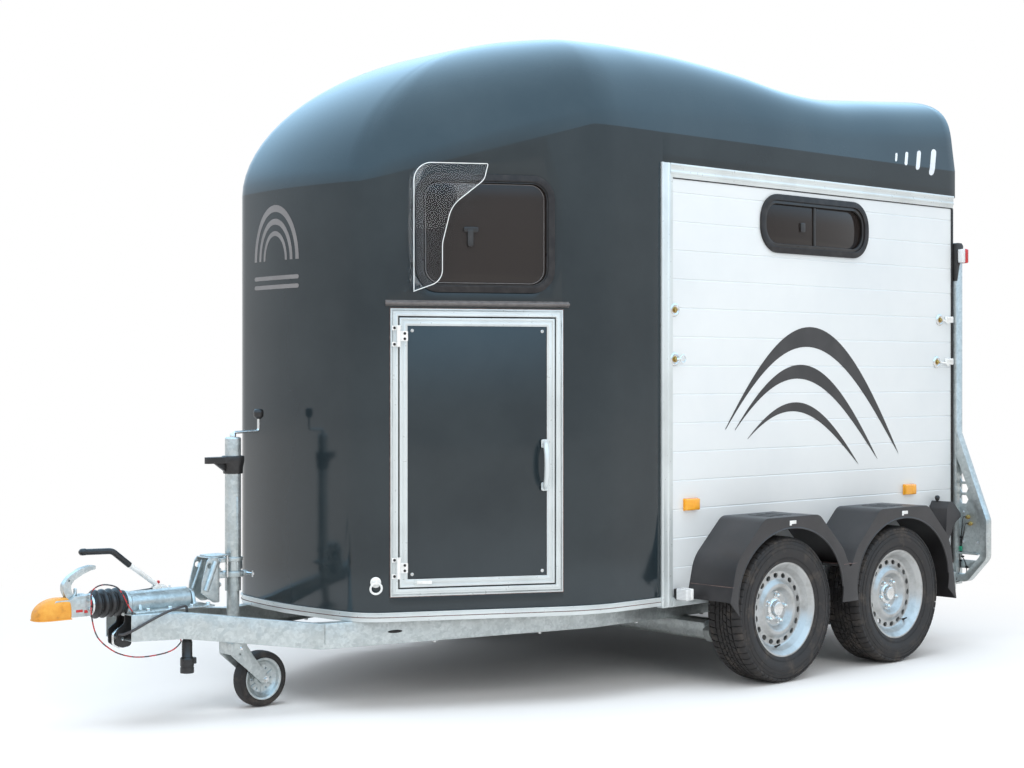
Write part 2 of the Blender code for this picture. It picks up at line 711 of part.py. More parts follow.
def make_wheels():
    half_width = TYRE_WIDTH / 2
    seat, well = RIM_RADIUS - 0.016, RIM_RADIUS - 0.031
    rim_profile = [
        (0, 0.062),
        (0.033, 0.058),
        (0.037, 0.034),
        (0.072, 0.034),
        (0.090, 0.054),
        (0.106, 0.050),
        (0.126, 0.028),
        (0.154, 0.022),
        (0.172, 0.062),
        (RIM_RADIUS - 0.005, 0.080),
        (RIM_RADIUS, 0.074),
        (seat, 0.066),
        (well, 0.015),
        (well, -0.030),
        (seat, -0.066),
        (RIM_RADIUS, -0.074),
        (RIM_RADIUS - 0.006, -0.080),
        (well - 0.006, -0.032),
        (well - 0.009, 0.012),
        (0.124, 0.020),
        (0.104, 0.042),
        (0.088, 0.044),
        (0.064, 0.026),
        (0.045, 0.010),
        (0.045, -0.030),
        (STUB_RADIUS + GAP, -0.030),
        (STUB_RADIUS + GAP, 0.024),
        (0, 0.024),
    ]
    bead = GAP
    tyre_profile = [
        (RIM_RADIUS - 0.002, half_width * 0.84 + 0.004),
        (RIM_RADIUS + 0.045, half_width),
        (TYRE_RADIUS - 0.018, half_width * 0.92),
        (TYRE_RADIUS, half_width * 0.72),
        (TYRE_RADIUS, -half_width * 0.72),
        (TYRE_RADIUS - 0.018, -half_width * 0.92),
        (RIM_RADIUS + 0.045, -half_width),
        (RIM_RADIUS - 0.002, -half_width * 0.84 - 0.004),
        (RIM_RADIUS + bead, -0.074),
        (seat + bead, -0.066 + bead),
        (seat + bead, 0.066 - bead),
        (RIM_RADIUS + bead, 0.074),
    ]
    slots = []
    for i in range(RIM_VENTS):
        angle = 2 * math.pi * (i + 0.5) / RIM_VENTS
        out, along = Vector((math.cos(angle), math.sin(angle))), Vector((-math.sin(angle), math.cos(angle)))
        slots.append([out * VENT_PLACE + along * VENT_LENGTH / 2, out * (VENT_PLACE + VENT_WIDTH / 2),
                      out * VENT_PLACE - along * VENT_LENGTH / 2, out * (VENT_PLACE - VENT_WIDTH / 2)])
    for name, y in (("front", FRONT_AXLE_Y), ("rear", REAR_AXLE_Y)):
        centre = Vector((WHEEL_X, y, TYRE_RADIUS))
        rim = turned(rim_profile, centre, "X", WHEEL_SIDES)
        for slot in slots:
            places = [(y + across, TYRE_RADIUS + up) for across, up in slot]
            cut(rim, prism([places], centre.x, centre.x + RIM_RADIUS / 4, "X"))
        tyre = turned(tyre_profile, centre, "X", WHEEL_SIDES)
        pair(rim, f"rim_{name}", "silver_paint", centre)
        pair(tyre, f"tyre_{name}", "tyre_rubber", centre)


def make_axles():
    """Torsion axles: a square tube under the rails, trailing arms, brake backplates and stubs."""
    tube_top = RAIL_Z - GAP
    for name, y in (("front", FRONT_AXLE_Y), ("rear", REAR_AXLE_Y)):
        tube_y = y - AXLE_LEAD
        centre_z = tube_top - AXLE_TUBE / 2
        half = AXLE_TUBE / 2
        square = rectangle(tube_y - half, tube_y + half, tube_top - AXLE_TUBE, tube_top, 0.012, steps=1)
        axle = prism([square], -ARM_X, ARM_X, "X")
        for side in (1, -1):
            low, high = sorted((side * (ARM_X - 0.005), side * (ARM_X + ARM_THICKNESS)))
            start, end = Vector((tube_y, centre_z)), Vector((y, TYRE_RADIUS))
            run = (end - start).normalized()
            rise = Vector((-run.y, run.x))
            arm = [
                start - run * 0.045 - rise * 0.042,
                start - run * 0.045 + rise * 0.030,
                end + run * 0.028 + rise * 0.026,
                end + run * 0.028 - rise * 0.028,
            ]
            join(axle, prism([rounded(arm, [0.02] * 4, steps=2)], low, high, "X"))
            plate_x = WHEEL_X - 0.095
            stub_end = WHEEL_X + 0.020
            profile = [
                (0, stub_end),
                (STUB_RADIUS, stub_end),
                (STUB_RADIUS, plate_x + 0.014),
                (BACKPLATE_RADIUS, plate_x + 0.014),
                (BACKPLATE_RADIUS, plate_x),
                (STUB_RADIUS, plate_x),
                (STUB_RADIUS, ARM_X + 0.006),
                (0, ARM_X + 0.006),
            ]
            stub = turned(profile, Vector((0, y, TYRE_RADIUS)), "X", 24)
            join(axle, stub if side > 0 else mirrored(stub))
        node(axle, f"axle_{name}", "galvanised")


def rail_stations():
    """Outer face, place and underside of the left rail, from the coupling to the rear."""
    front = HOUSING_Y[0]
    return (
        # x, y, z
        (0.090, front - 0.016, RAIL_Z + DRAWBAR_RISE),
        (0.155, front + 0.162, RAIL_Z + DRAWBAR_RISE),
        (0.214, front + 0.3245, RAIL_Z + 0.6 * DRAWBAR_RISE),
        (0.326, front + 0.6335, RAIL_Z),
        (0.340, front + 0.6635, RAIL_Z),
        (RAIL_X, RAIL_STRAIGHT_Y, RAIL_Z),
        (RAIL_X, SIDE_REAR_Y - SILL_DEPTH - GAP, RAIL_Z),
    )


def make_chassis():
    t, w, h = RAIL_STEEL, RAIL_FLANGE, RAIL_HEIGHT
    channel = [(0, 0), (0, h), (-w, h), (-w, h - t), (-t, h - t), (-t, t), (-w, t), (-w, 0)]
    rings = [[(x + a, y, z + b) for a, b in channel] for x, y, z in rail_stations()]
    pair(loft(rings), "rail", "galvanised")

    inner = RAIL_X - RAIL_STEEL - GAP
    low, high = RAIL_Z + RAIL_STEEL + GAP, RAIL_Z + RAIL_HEIGHT - RAIL_STEEL - GAP
    for name, y in zip(("front", "middle"), BEAM_YS):
        node(block((-inner, y, low), (inner, y + BEAM_DEPTH, high)), f"crossbeam_{name}", "galvanised")
    sill_x = HALF_WIDTH + SILL_OVERHANG
    sill = block((-sill_x, SIDE_REAR_Y - SILL_DEPTH, RAIL_Z), (sill_x, SIDE_REAR_Y, SILL_TOP))
    node(sill, "rear_sill", "galvanised")


def make_fenders():
    front, rear = FRONT_AXLE_Y, REAR_AXLE_Y
    inner_x = HALF_WIDTH + GAP

    def contour(inset):
        """Front foot, over both wheels, to the rear flap."""
        top = FENDER_TOP - inset
        points = [
            (front - FENDER_FOOT[0] + inset, FENDER_FOOT[1]),
            (front - SHOULDER_HALF + inset, SHOULDER_HEIGHT),
            (front - FLAT_HALF + inset / 2, top),
            (front + FLAT_HALF - inset / 2, top),
            (front + VALLEY_HALF - inset, VALLEY_HEIGHT - inset / 2),
            ((front + rear) / 2, VALLEY_BOTTOM - inset),
            (rear - VALLEY_HALF + inset, VALLEY_HEIGHT - inset / 2),
            (rear - FLAT_HALF + inset / 2, top),
            (rear + FLAT_HALF - inset / 2, top),
            (rear + SHOULDER_HALF - inset, SHOULDER_HEIGHT),
            (rear + FENDER_TAIL - inset, FLAP_BOTTOM),
        ]
        radii = [0, 0.15, 0.05, 0.05, 0.15, 0.01, 0.15, 0.05, 0.05, 0.15, 0]
        return rounded(points, radii, closed=False, steps=3)

    skin = prism([contour(0) + contour(FENDER_SKIN)[::-1]], inner_x, FENDER_X, "X")
    arches = []
    for y in (front, rear):
        for i in range(ARCH_STEPS + 1):
            angle = math.pi - ARCH_START - (math.pi - 2 * ARCH_START) * i / ARCH_STEPS
            up = TYRE_RADIUS + ARCH_LIFT + (FENDER_ARCH - ARCH_LIFT) * math.sin(angle)
            arches.append((y + FENDER_ARCH * math.cos(angle), up))
    face = contour(0) + [Vector(p) for p in reversed(arches)]
    plate = prism([face], FENDER_X - FENDER_SKIN, FENDER_X, "X")
    pair(join(skin, plate), "fender", "black_plastic")


# Rear


def make_rear():
    inner_x = HALF_WIDTH - WALL
    outer_x = inner_x + POST_WIDTH
    front_y, back_y = SIDE_REAR_Y + GAP, SIDE_REAR_Y + GAP + POST_DEPTH
    post = block((inner_x, front_y, POST_BOTTOM), (outer_x, back_y, POST_TOP))
    bar = LAMP_FRAME_BAR
    foot_z, low_z, high_z = LAMP_FRAME_HEIGHTS
    bar_x = LAMP_FRAME_X - bar
    root_x = inner_x + 0.01
    outline = [
        (root_x, KINK_Z),
        (outer_x, KINK_Z + 0.01),
        (LAMP_FRAME_X, high_z),
        (LAMP_FRAME_X, low_z),
        (FOOT_X, foot_z),
        (root_x, foot_z),
    ]
    peak_z = KINK_Z - 2.5 * bar
    inside = [
        (outer_x - 0.012, peak_z),
        (bar_x, high_z - 0.008),
        (bar_x, low_z + 0.012),
        (FOOT_X - 0.014, foot_z + bar),
        (outer_x - 0.012, foot_z + bar),
    ]
    outer_loop = rounded(outline, [0, 0, 0.05, 0.05, 0.04, 0], steps=3)
    inner_loop = rounded(inside, [0, 0.03, 0.03, 0.02, 0], steps=2)
    loop = prism([outer_loop, inner_loop], front_y + 0.004, back_y - 0.004, "Y")
    holes = []
    slope_z = high_z - 0.008
    for row in range(5):
        for column in range(3):
            x = outer_x + 0.022 + HOLE_ACROSS * 0.86 * column
            z = HOLE_LOW + HOLE_ACROSS * row + (HOLE_ACROSS / 2 if column % 2 else 0)
            edge_x = outer_x + (bar_x - outer_x) * (peak_z - z) / (peak_z - slope_z)
            if x + HOLE_RADIUS < edge_x + 0.012:
                holes.append(circle(x, z, HOLE_RADIUS, 6))
    sheet = [
        (outer_x - 0.014, peak_z + 0.005),
        (outer_x - 0.014, GUSSET_LOW),
        (bar_x + 0.006, GUSSET_LOW),
        (bar_x + 0.006, slope_z),
        (outer_x + 0.002, peak_z + 0.005),
    ]
    gusset_back = back_y - GUSSET_BACK
    gusset = prism([sheet] + holes, gusset_back - GUSSET, gusset_back, "Y")
    join(post, loop, gusset)
    pin_z = RAMP_BOTTOM + RAMP_THICKNESS / 2
    pin_y = RAMP_Y + RAMP_THICKNESS / 2 + RAMP_PIN_OFFSET
    bore_radius = RAMP_PIN_RADIUS + GAP
    bore = [(0, BORE_END), (bore_radius, BORE_END), (bore_radius, -BORE_END / 2), (0, -BORE_END / 2)]
    cut(post, turned(bore, Vector((inner_x, pin_y, pin_z)), "X", 24))
    pair(post, "rear_post", "galvanised")

    lamp_low, lamp_high = LAMP_HEIGHTS
    lamp_front, lamp_back = gusset_back + GAP, back_y + LAMP_PROUD
    lamp = block((outer_x + 0.012, lamp_front, lamp_low), (bar_x - 0.026, lamp_back, lamp_high))
    pair(lamp, "tail_lamp", "red_lens")

    half = inner_x - RAMP_CLEARANCE
    panel = rectangle(RAMP_Y, RAMP_Y + RAMP_THICKNESS, RAMP_BOTTOM, RAMP_TOP)
    ramp = prism([panel], -half, half, "X")
    reach = inner_x + PIN_REACH
    pin = [(0, reach), (RAMP_PIN_RADIUS, reach), (RAMP_PIN_RADIUS, -reach), (0, -reach)]
    join(ramp, turned(pin, Vector((0, pin_y, pin_z)), "X", 24))
    node(ramp, "ramp", "white_aluminium", (0, pin_y, pin_z))

    inside_x = inner_x - GAP
    arch = []
    foot = Vector((HALF_WIDTH - ROOF_THICKNESS, CURTAIN_Y))
    for point in roof_column(foot, CREASE_SIDE, CURTAIN_Y, CURTAIN_DROP, read_off(FULLNESS, CURTAIN_Y)):
        arch.append((min(point.x, inside_x), point.z))
    left = [(inside_x, RAMP_TOP - CURTAIN_LAP)] + arch
    right = [(-x, z) for x, z in reversed(left[:-1])]
    curtain = prism([left + right], CURTAIN_Y, CURTAIN_Y + CURTAIN_THICKNESS, "Y")
    node(curtain, "rear_curtain", "curtain_cloth")


def make_side_fittings():
    x = HALF_WIDTH + GAP
    lamp_y = SIDE_FRONT_Y + 0.0465
    lamp = block((x, lamp_y + 0.015, 0.362), (x + 0.03, lamp_y + 0.055, 0.405))
    join(lamp, block((x + 0.025, lamp_y, 0.362), (x + 0.085, lamp_y + 0.045, 0.410)))
    pair(lamp, "position_lamp", "white_lens")
    wedge = [
        # behind the rear axle, height
        (0.5035, 0.50),
        (0.7035, 0.49),
        (0.7035, 0.56),
        (0.5635, 0.685),
        (0.5235, 0.685),
        (0.5035, 0.60),
    ]
    wedge = [(REAR_AXLE_Y + behind, height) for behind, height in wedge]
    pair(prism([wedge], x, x + CHOCK_WIDTH, "X"), "wheel_chock", "black_plastic")


def make_interior():
    inside = HALF_WIDTH - WALL - GAP
    for name, y in (("breast_bar", BREAST_BAR_Y), ("rump_bar", RUMP_BAR_Y)):
        node(rod([(-inside, y, BAR_HEIGHT), (inside, y, BAR_HEIGHT)], BAR_RADIUS, 12), name, "padding")
    clear = BAR_RADIUS + GAP
    partition = rectangle(BREAST_BAR_Y + clear, RUMP_BAR_Y - clear, *PARTITION_HEIGHTS)
    node(prism([partition], -PARTITION_HALF, PARTITION_HALF, "X"), "partition", "padding")


# Drawbar


def make_drawbar():
    rail_top = RAIL_Z + DRAWBAR_RISE + RAIL_HEIGHT
    y0, y1 = HOUSING_Y
    housing = block((-HOUSING_HALF, y0, rail_top + GAP), (HOUSING_HALF, y1, HOUSING_TOP))
    join(housing, block((-0.040, y0 + 0.001, 0.36), (0.040, y0 + 0.05, HOUSING_TOP - 0.002)))
    join(housing, block((-FOOT_HALF, y0 - 0.052, 0.285), (FOOT_HALF, y0 + 0.018, 0.385)))
    node(housing, "overrun_housing", "galvanised")

    ribs = 5
    front, rear = y0 - 0.14, y0 - GAP
    pitch = (rear - front) / ribs
    profile = []
    for i in range(ribs):
        start = rear - pitch * i
        profile += [(BELLOWS_RADIUS * 0.78, start), (BELLOWS_RADIUS, start - pitch / 2)]
    profile += [(BELLOWS_RADIUS * 0.78, front), (SHANK_RADIUS + GAP, front), (SHANK_RADIUS + GAP, rear)]
    # FACING["Y"] turns a profile's height towards -Y
    flipped = [(radius, -y) for radius, y in profile]
    node(turned(flipped, Vector((0, 0, COUPLING_Z)), "Y", 20), "bellows", "black_plastic")

    shank = turned(
        [(0, -rear), (SHANK_RADIUS, -rear), (SHANK_RADIUS, -front + 0.03), (0, -front + 0.03)],
        Vector((0, 0, COUPLING_Z)),
        "Y",
        20,
    )
    nose, cap_rear = COUPLING_NOSE_Y + 0.006, COUPLING_NOSE_Y + 0.125
    head_low, head_high, head_half = COUPLING_Z - 0.036, COUPLING_Z + 0.028, 0.036
    skin = 0.009
    head = [
        (front - GAP, head_low),
        (front - GAP, COUPLING_Z + 0.040),
        (cap_rear + 0.015, COUPLING_Z + 0.038),
        (cap_rear + 0.005, head_high),
        (nose + 0.02, head_high),
        (nose, head_high - 0.018),
        (nose, head_low + 0.008),
        (nose + 0.02, head_low),
    ]
    body = prism([head], -head_half, head_half, "X")
    plan = rounded(
        [(-head_half, front), (-head_half, nose), (head_half, nose), (head_half, front)], [0, 0.026, 0.026, 0]
    )
    boolean(body, "INTERSECT", [prism([plan], head_low - skin, head_high + 2 * skin)])
    ball_y = nose + 0.055
    mouth = head_low - 0.05
    hollow = [(0, SOCKET_TOP), (SOCKET_RADIUS, SOCKET_TOP), (SOCKET_RADIUS, mouth), (0, mouth)]
    socket = turned(hollow, Vector((0, ball_y, 0)), "Z", 20)
    lever = [
        (0, front - 0.03, COUPLING_Z + 0.024),
        (0, front - 0.05, COUPLING_Z + 0.074),
        (0, front - 0.02, COUPLING_Z + 0.109),
        (0, front + 0.05, COUPLING_Z + 0.126),
    ]
    cut(join(body, shank, rod(lever, 0.010)), socket)
    node(body, "coupling_head", "galvanised")

    profile = rounded(
        [
            (cap_rear, head_low - 0.004),
            (cap_rear, head_high + skin),
            (COUPLING_NOSE_Y + 0.03, head_high + skin),
            (COUPLING_NOSE_Y, head_high - 0.01),
            (COUPLING_NOSE_Y, head_low - 0.004),
        ],
        [0, 0.006, 0.03, 0.015, 0],
    )
    cap = prism([profile], -head_half - skin, head_half + skin, "X")
    half = head_half + skin
    corners = [(-half, cap_rear), (-half, COUPLING_NOSE_Y), (half, COUPLING_NOSE_Y), (half, cap_rear)]
    plan = rounded(corners, [0, 0.034, 0.034, 0])
    boolean(cap, "INTERSECT", [prism([plan], head_low - skin, head_high + 2 * skin)])
    room = head_half + GAP
    front, rear = nose - GAP, cap_rear + 0.02
    corners = [(-room, rear), (-room, front), (room, front), (room, rear)]
    hollow = rounded(corners, [0, 0.026 + GAP, 0.026 + GAP, 0])
    cut(cap, prism([hollow], head_low - 0.02, head_high + GAP))
    node(cap, "coupling_cover", "orange_rubber")

    x, y = -0.055, y0 + 0.1445
    low = HOUSING_TOP + GAP
    lever = [
        (x, y, low + 0.012),
        (x, y - 0.127, HOUSING_TOP + 0.094),
        (x, y - 0.190, HOUSING_TOP + 0.152),
        (x, y - 0.317, HOUSING_TOP + 0.156),
    ]
    grip = rod(lever, 0.011)
    foot = block((x - 0.012, y - 0.03, low), (x + 0.012, y + 0.03, HOUSING_TOP + 0.03))
    node(join(foot, grip), "handbrake_lever", "galvanised")


def smooth(points, pitch):
    """Places along a smooth curve through the points, about the pitch apart."""
    path = [Vector(point) for point in points]
    ends = [2 * path[0] - path[1]] + path + [2 * path[-1] - path[-2]]
    places = []
    for before, start, end, after in zip(ends, ends[1:], ends[2:], ends[3:]):
        steps = max(1, round((end - start).length / pitch))
        for k in range(steps):
            t = k / steps
            places.append(
                ((2 * start) + (end - before) * t + (2 * before - 5 * start + 4 * end - after) * t * t
                 + (3 * start - before - 3 * end + after) * t * t * t) / 2
            )
    return places + [path[-1]]


def make_cables():
    """The breakaway cable over the bellows and below the coupling, and the lead with its parked plug."""
    rail_low = RAIL_Z + DRAWBAR_RISE
    rail_top = rail_low + RAIL_HEIGHT
    y0 = HOUSING_Y[0]
    breakaway = [
        # x, y, z
        (0.080, y0 - 0.008, rail_top + GAP),
        (0.080, y0 - 0.008, rail_top + 0.012),
        (0.083, y0 - 0.023, 0.438),
        (0.070, y0 - 0.039, 0.479),
        (0.045, y0 - 0.052, 0.506),
        (0.012, y0 - 0.088, 0.513),
        (0.034, y0 - 0.140, 0.498),
        (0.050, y0 - 0.152, 0.460),
        (0.052, y0 - 0.152, 0.410),
        (0.046, y0 - 0.126, 0.336),
        (0.052, y0 - 0.071, 0.284),
        (0.062, y0 - 0.017, 0.260),
        (0.080, y0 + 0.034, 0.253),
        (0.110, y0 + 0.093, 0.261),
        (0.128, y0 + 0.131, 0.275),
        (0.135, y0 + 0.156, rail_low - 0.014),
        (0.135, y0 + 0.156, rail_low - GAP),
    ]
    cable = rod(smooth(breakaway, 3 * BREAKAWAY_THICKNESS), BREAKAWAY_THICKNESS / 2)
    node(cable, "breakaway_cable", "black_plastic")

    plug_x, plug_y, plug_top, plug_low = 0.100, y0 + 0.205, 0.335, 0.180
    lead = [
        # x, y, z
        (FOOT_HALF + GAP, y0 - 0.034, 0.335),
        (FOOT_HALF + 0.014, y0 - 0.034, 0.335),
        (0.075, y0 - 0.035, 0.340),
        (0.105, y0 - 0.017, 0.355),
        (0.128, y0 + 0.033, 0.385),
        (0.145, y0 + 0.088, 0.412),
        (0.148, y0 + 0.138, 0.425),
        (0.130, y0 + 0.181, 0.425),
        (0.105, y0 + 0.201, 0.400),
        (plug_x, plug_y, 0.365),
        (plug_x, plug_y, plug_top + GAP),
    ]
    node(rod(smooth(lead, 2.5 * LEAD_THICKNESS), LEAD_THICKNESS / 2), "plug_cable", "black_plastic")
    profile = [(0, plug_top), (0.010, plug_top), (0.013, 0.300), (0.019, 0.290), (0.019, 0.238)]
    profile += [(0.025, 0.230), (0.025, plug_low), (0, plug_low)]
    plug = turned(profile, Vector((plug_x, plug_y, 0)), "Z", 16)
    lug = block((plug_x - 0.008, plug_y + 0.015, 0.210), (plug_x + 0.008, plug_y + 0.036, 0.234))
    node(join(plug, lug), "plug", "black_plastic")


def make_jockey():
    low, high = JOCKEY_TUBE
    centre = Vector((0, JOCKEY_Y, 0))
    outer = JOCKEY_TUBE_RADIUS
    bore = JOCKEY_LEG_RADIUS + GAP
    spindle, spindle_top = 0.009, high + 0.030
    profile = [(0, spindle_top), (spindle, spindle_top), (spindle, high), (outer, high)]
    profile += [(outer, low), (bore, low), (bore, high - 0.02), (0, high - 0.02)]
    tube = turned(profile, centre, "Z", 24)
    wall_middle = (outer + bore) / 2
    collar_low, collar_high = high - 0.134, high - 0.065
    collar_profile = [
        (outer + 0.012, collar_high),
        (outer + 0.008, collar_low),
        (wall_middle, collar_low),
        (wall_middle, collar_high),
    ]
    collar = turned(collar_profile, centre, "Z", 16)
    handle = block(
        (-0.018, JOCKEY_Y - 0.135, collar_high - 0.029), (0.018, JOCKEY_Y - wall_middle, collar_high - 0.004)
    )
    crank = [
        (0, JOCKEY_Y + 0.001, spindle_top - 0.010),
        (0, JOCKEY_Y + 0.10, spindle_top - 0.006),
        (0, JOCKEY_Y + 0.115, high + 0.036),
        (0, JOCKEY_Y + 0.115, high + 0.076),
    ]
    knob_low, knob_high = high + 0.069, high + 0.109
    profile = [(0, knob_high), (0.018, knob_high - 0.004), (0.020, knob_low + 0.012), (0.010, knob_low), (0, knob_low)]
    knob = turned(profile, centre + Vector((0, 0.115, 0)), "Z", 12)
    join(tube, collar, handle, rod(crank, 0.006, 10), knob)
    node(tube, "jockey_tube", "galvanised")

    leg_low = JOCKEY_LEG_BOTTOM
    leg_high = high - 0.16
    pin = 0.016
    profile = [(0, leg_high), (JOCKEY_LEG_RADIUS, leg_high), (JOCKEY_LEG_RADIUS, leg_low),
               (pin + GAP, leg_low), (pin + GAP, leg_low + 0.07), (0, leg_low + 0.07)]
    node(turned(profile, centre, "Z", 24), "jockey_leg", "galvanised", (0, JOCKEY_Y, leg_low))

    axle = Vector((0, JOCKEY_Y + JOCKEY_TRAIL, JOCKEY_TYRE_RADIUS))
    plate_in, plate_out = JOCKEY_TYRE_WIDTH / 2 + 0.006, JOCKEY_TYRE_WIDTH / 2 + 0.010
    cheek = rounded(
        [
            (JOCKEY_Y - 0.032, leg_low - 0.003),
            (JOCKEY_Y - 0.032, leg_low - 0.05),
            (axle.y - 0.012, axle.z - 0.018),
            (axle.y + 0.018, axle.z + 0.006),
            (JOCKEY_Y + 0.045, leg_low - 0.02),
            (JOCKEY_Y + 0.032, leg_low - 0.003),
        ],
        [0, 0.01, 0.01, 0.012, 0.02, 0],
    )
    crown = (plate_in + plate_out) / 2
    fork = block((-crown, JOCKEY_Y - 0.028, leg_low - 0.010), (crown, JOCKEY_Y + 0.028, leg_low - GAP))
    pieces = [prism([cheek], plate_in, plate_out, "X"), prism([cheek], -plate_out, -plate_in, "X")]
    bolt_end = plate_out + 0.003
    bolt = [(0, bolt_end), (0.008, bolt_end), (0.008, -bolt_end), (0, -bolt_end)]
    spigot = [(0, leg_low + 0.06), (pin, leg_low + 0.06), (pin, leg_low - 0.004), (0, leg_low - 0.004)]
    pieces += [turned(bolt, axle, "X", 20), turned(spigot, centre, "Z", 24)]
    node(join(fork, *pieces), "jockey_fork", "galvanised", (0, JOCKEY_Y, leg_low))

    rim_radius, hub_radius = 0.080, 0.008 + GAP
    half = JOCKEY_TYRE_WIDTH / 2
    lip = half - 0.004
    rim = [
        (hub_radius, half),
        (0.018, half),
        (0.020, 0.008),
        (rim_radius - 0.012, 0.010),
        (rim_radius - 0.010, lip),
        (rim_radius, lip),
        (rim_radius, -lip),
        (rim_radius - 0.010, -lip),
        (rim_radius - 0.012, -0.010),
        (0.020, -0.008),
        (0.018, -half),
        (hub_radius, -half),
    ]
    node(turned(rim, axle, "X", 24), "jockey_rim", "silver_paint", axle)
    tyre = [
        (rim_radius + GAP, lip),
        (rim_radius + 0.012, half),
        (JOCKEY_TYRE_RADIUS, half * 0.6),
        (JOCKEY_TYRE_RADIUS, -half * 0.6),
        (rim_radius + 0.012, -half),
        (rim_radius + GAP, -lip),
    ]
    node(turned(tyre, axle, "X", 24), "jockey_tyre", "tyre_rubber", axle)

    ring_low, ring_high = CLAMP_HEIGHTS
    band = [(outer + 0.012, ring_high), (outer + 0.012, ring_low), (outer + GAP, ring_low), (outer + GAP, ring_high)]
    ring = turned(band, centre, "Z", 24)
    arm_low = ring_low - 0.10
    arm = block((-0.02, HOUSING_Y[1] + GAP, arm_low), (0.02, JOCKEY_Y - outer - 0.006, ring_high))
    node(join(ring, arm), "jockey_clamp", "galvanised")


make_body()
make_doors()
make_deflector()
make_chassis()
make_axles()
make_wheels()
make_fenders()
make_rear()
make_side_fittings()
make_interior()
make_drawbar()
make_cables()
make_jockey()
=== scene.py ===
# %% [markdown]
# # A two-horse trailer, dressed in Blender
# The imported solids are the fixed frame: they give every size, and what is made here gives the looks. The trailer
# stands unhitched on its jockey wheel. -Y points at the towing car, +X is the trailer's left side. All is in metres,
# and the tables inside mm() are in millimetres.

# %% Load the frame
from math import atan2, ceil, copysign, cos, pi, radians, sin, tan

import bpy
from mathutils import Matrix, Vector


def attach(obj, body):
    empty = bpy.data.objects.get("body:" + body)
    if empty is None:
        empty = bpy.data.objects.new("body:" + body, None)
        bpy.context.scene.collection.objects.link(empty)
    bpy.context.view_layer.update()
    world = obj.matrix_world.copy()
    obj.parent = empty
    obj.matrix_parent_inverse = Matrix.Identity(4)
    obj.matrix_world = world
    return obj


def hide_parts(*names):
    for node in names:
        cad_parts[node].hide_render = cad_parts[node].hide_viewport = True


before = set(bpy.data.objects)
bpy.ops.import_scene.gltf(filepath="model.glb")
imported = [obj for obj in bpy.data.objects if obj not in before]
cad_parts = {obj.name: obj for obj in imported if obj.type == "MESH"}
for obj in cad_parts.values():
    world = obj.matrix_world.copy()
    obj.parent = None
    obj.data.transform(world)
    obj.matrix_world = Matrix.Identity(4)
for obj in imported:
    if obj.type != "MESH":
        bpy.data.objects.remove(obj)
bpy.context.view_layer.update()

# %% [markdown]
# ## The camera
# The photograph was taken from head height, ahead of the trailer's left front corner. The vanishing point of the side
# planks and the size of the rims give the place and the lens. The camera is kept level, so uprights stay upright, and
# a small shift puts the horizon where the photograph has it.

# %% Camera
PICTURE_WIDTH = 1024
HORIZON_SHIFT = -8.5  # pixels from the middle of the picture down to the horizon
bpy.ops.object.camera_add(location=(5.633, -5.0955, 1.254), rotation=(radians(90), 0, radians(47.7)))
camera = bpy.context.object
camera.data.lens = 62.4
camera.data.sensor_width = 36
camera.data.shift_y = HORIZON_SHIFT / PICTURE_WIDTH
bpy.context.scene.camera = camera
print("camera at", tuple(camera.location), "lens", camera.data.lens)

# %% [markdown]
# ## Everyday helpers
# An operator works on all that is selected, so each step first selects its own piece and nothing else. These few
# helpers do what a hand does in the window: pick a piece, merge its doubles, add a modifier and apply it, and put the
# object's place into its mesh.


# %% Helpers for selecting and finishing
def select_nothing():
    bpy.ops.object.select_all(action="DESELECT")


def pick(*pieces):
    """Leave only these pieces selected, the last one active, in object mode."""
    if bpy.context.object and bpy.context.object.mode != "OBJECT":
        bpy.ops.object.mode_set(mode="OBJECT")
    select_nothing()
    for piece in pieces:
        piece.select_set(True)
    bpy.context.view_layer.objects.active = pieces[-1]


def settle(piece):
    """Put the object's place, turn and size in its mesh."""
    pick(piece)
    bpy.ops.object.transform_apply(location=True, rotation=True, scale=True)
    return piece


def edited(piece, operator, **settings):
    """Run one mesh operator on all of a piece."""
    pick(piece)
    bpy.ops.object.mode_set(mode="EDIT")
    bpy.ops.mesh.select_all(action="SELECT")
    operator(**settings)
    bpy.ops.object.mode_set(mode="OBJECT")
    return piece


def weld(piece, distance=0.00002):
    """Merge points that lie on each other, and turn all faces outwards."""
    pick(piece)
    bpy.ops.object.mode_set(mode="EDIT")
    bpy.ops.mesh.select_all(action="SELECT")
    bpy.ops.mesh.remove_doubles(threshold=distance)
    bpy.ops.mesh.normals_make_consistent(inside=False)
    bpy.ops.object.mode_set(mode="OBJECT")
    return piece


def modify(piece, kind, **settings):
    """Add one modifier and apply it."""
    pick(piece)
    modifier = piece.modifiers.new(kind.title(), kind)
    for key, value in settings.items():
        setattr(modifier, key, value)
    bpy.ops.object.modifier_apply(modifier=modifier.name)
    return piece


def soften(piece, width, segments=2, angle=30, smooth=38):
    """Round the edges a little, as every real edge is, and shade the rest smooth."""
    if width:
        modify(piece, "BEVEL", width=width, segments=segments, limit_method="ANGLE", angle_limit=radians(angle))
    pick(piece)
    bpy.ops.object.shade_smooth_by_angle(angle=radians(smooth))
    return piece


def cut_with(piece, *cutters, operation="DIFFERENCE"):
    """Cut shapes out of a piece, or unite or cross it with them, and remove them."""
    for cutter in cutters:
        modify(piece, "BOOLEAN", operation=operation, solver="EXACT", object=cutter)
        bpy.data.objects.remove(cutter)
    return piece


def joined(name, *pieces):
    """Several shapes made one object."""
    pieces = [piece for piece in pieces if piece]
    pick(*pieces)
    if len(pieces) > 1:
        bpy.ops.object.join()
    piece = bpy.context.object
    piece.name = piece.data.name = name
    return piece


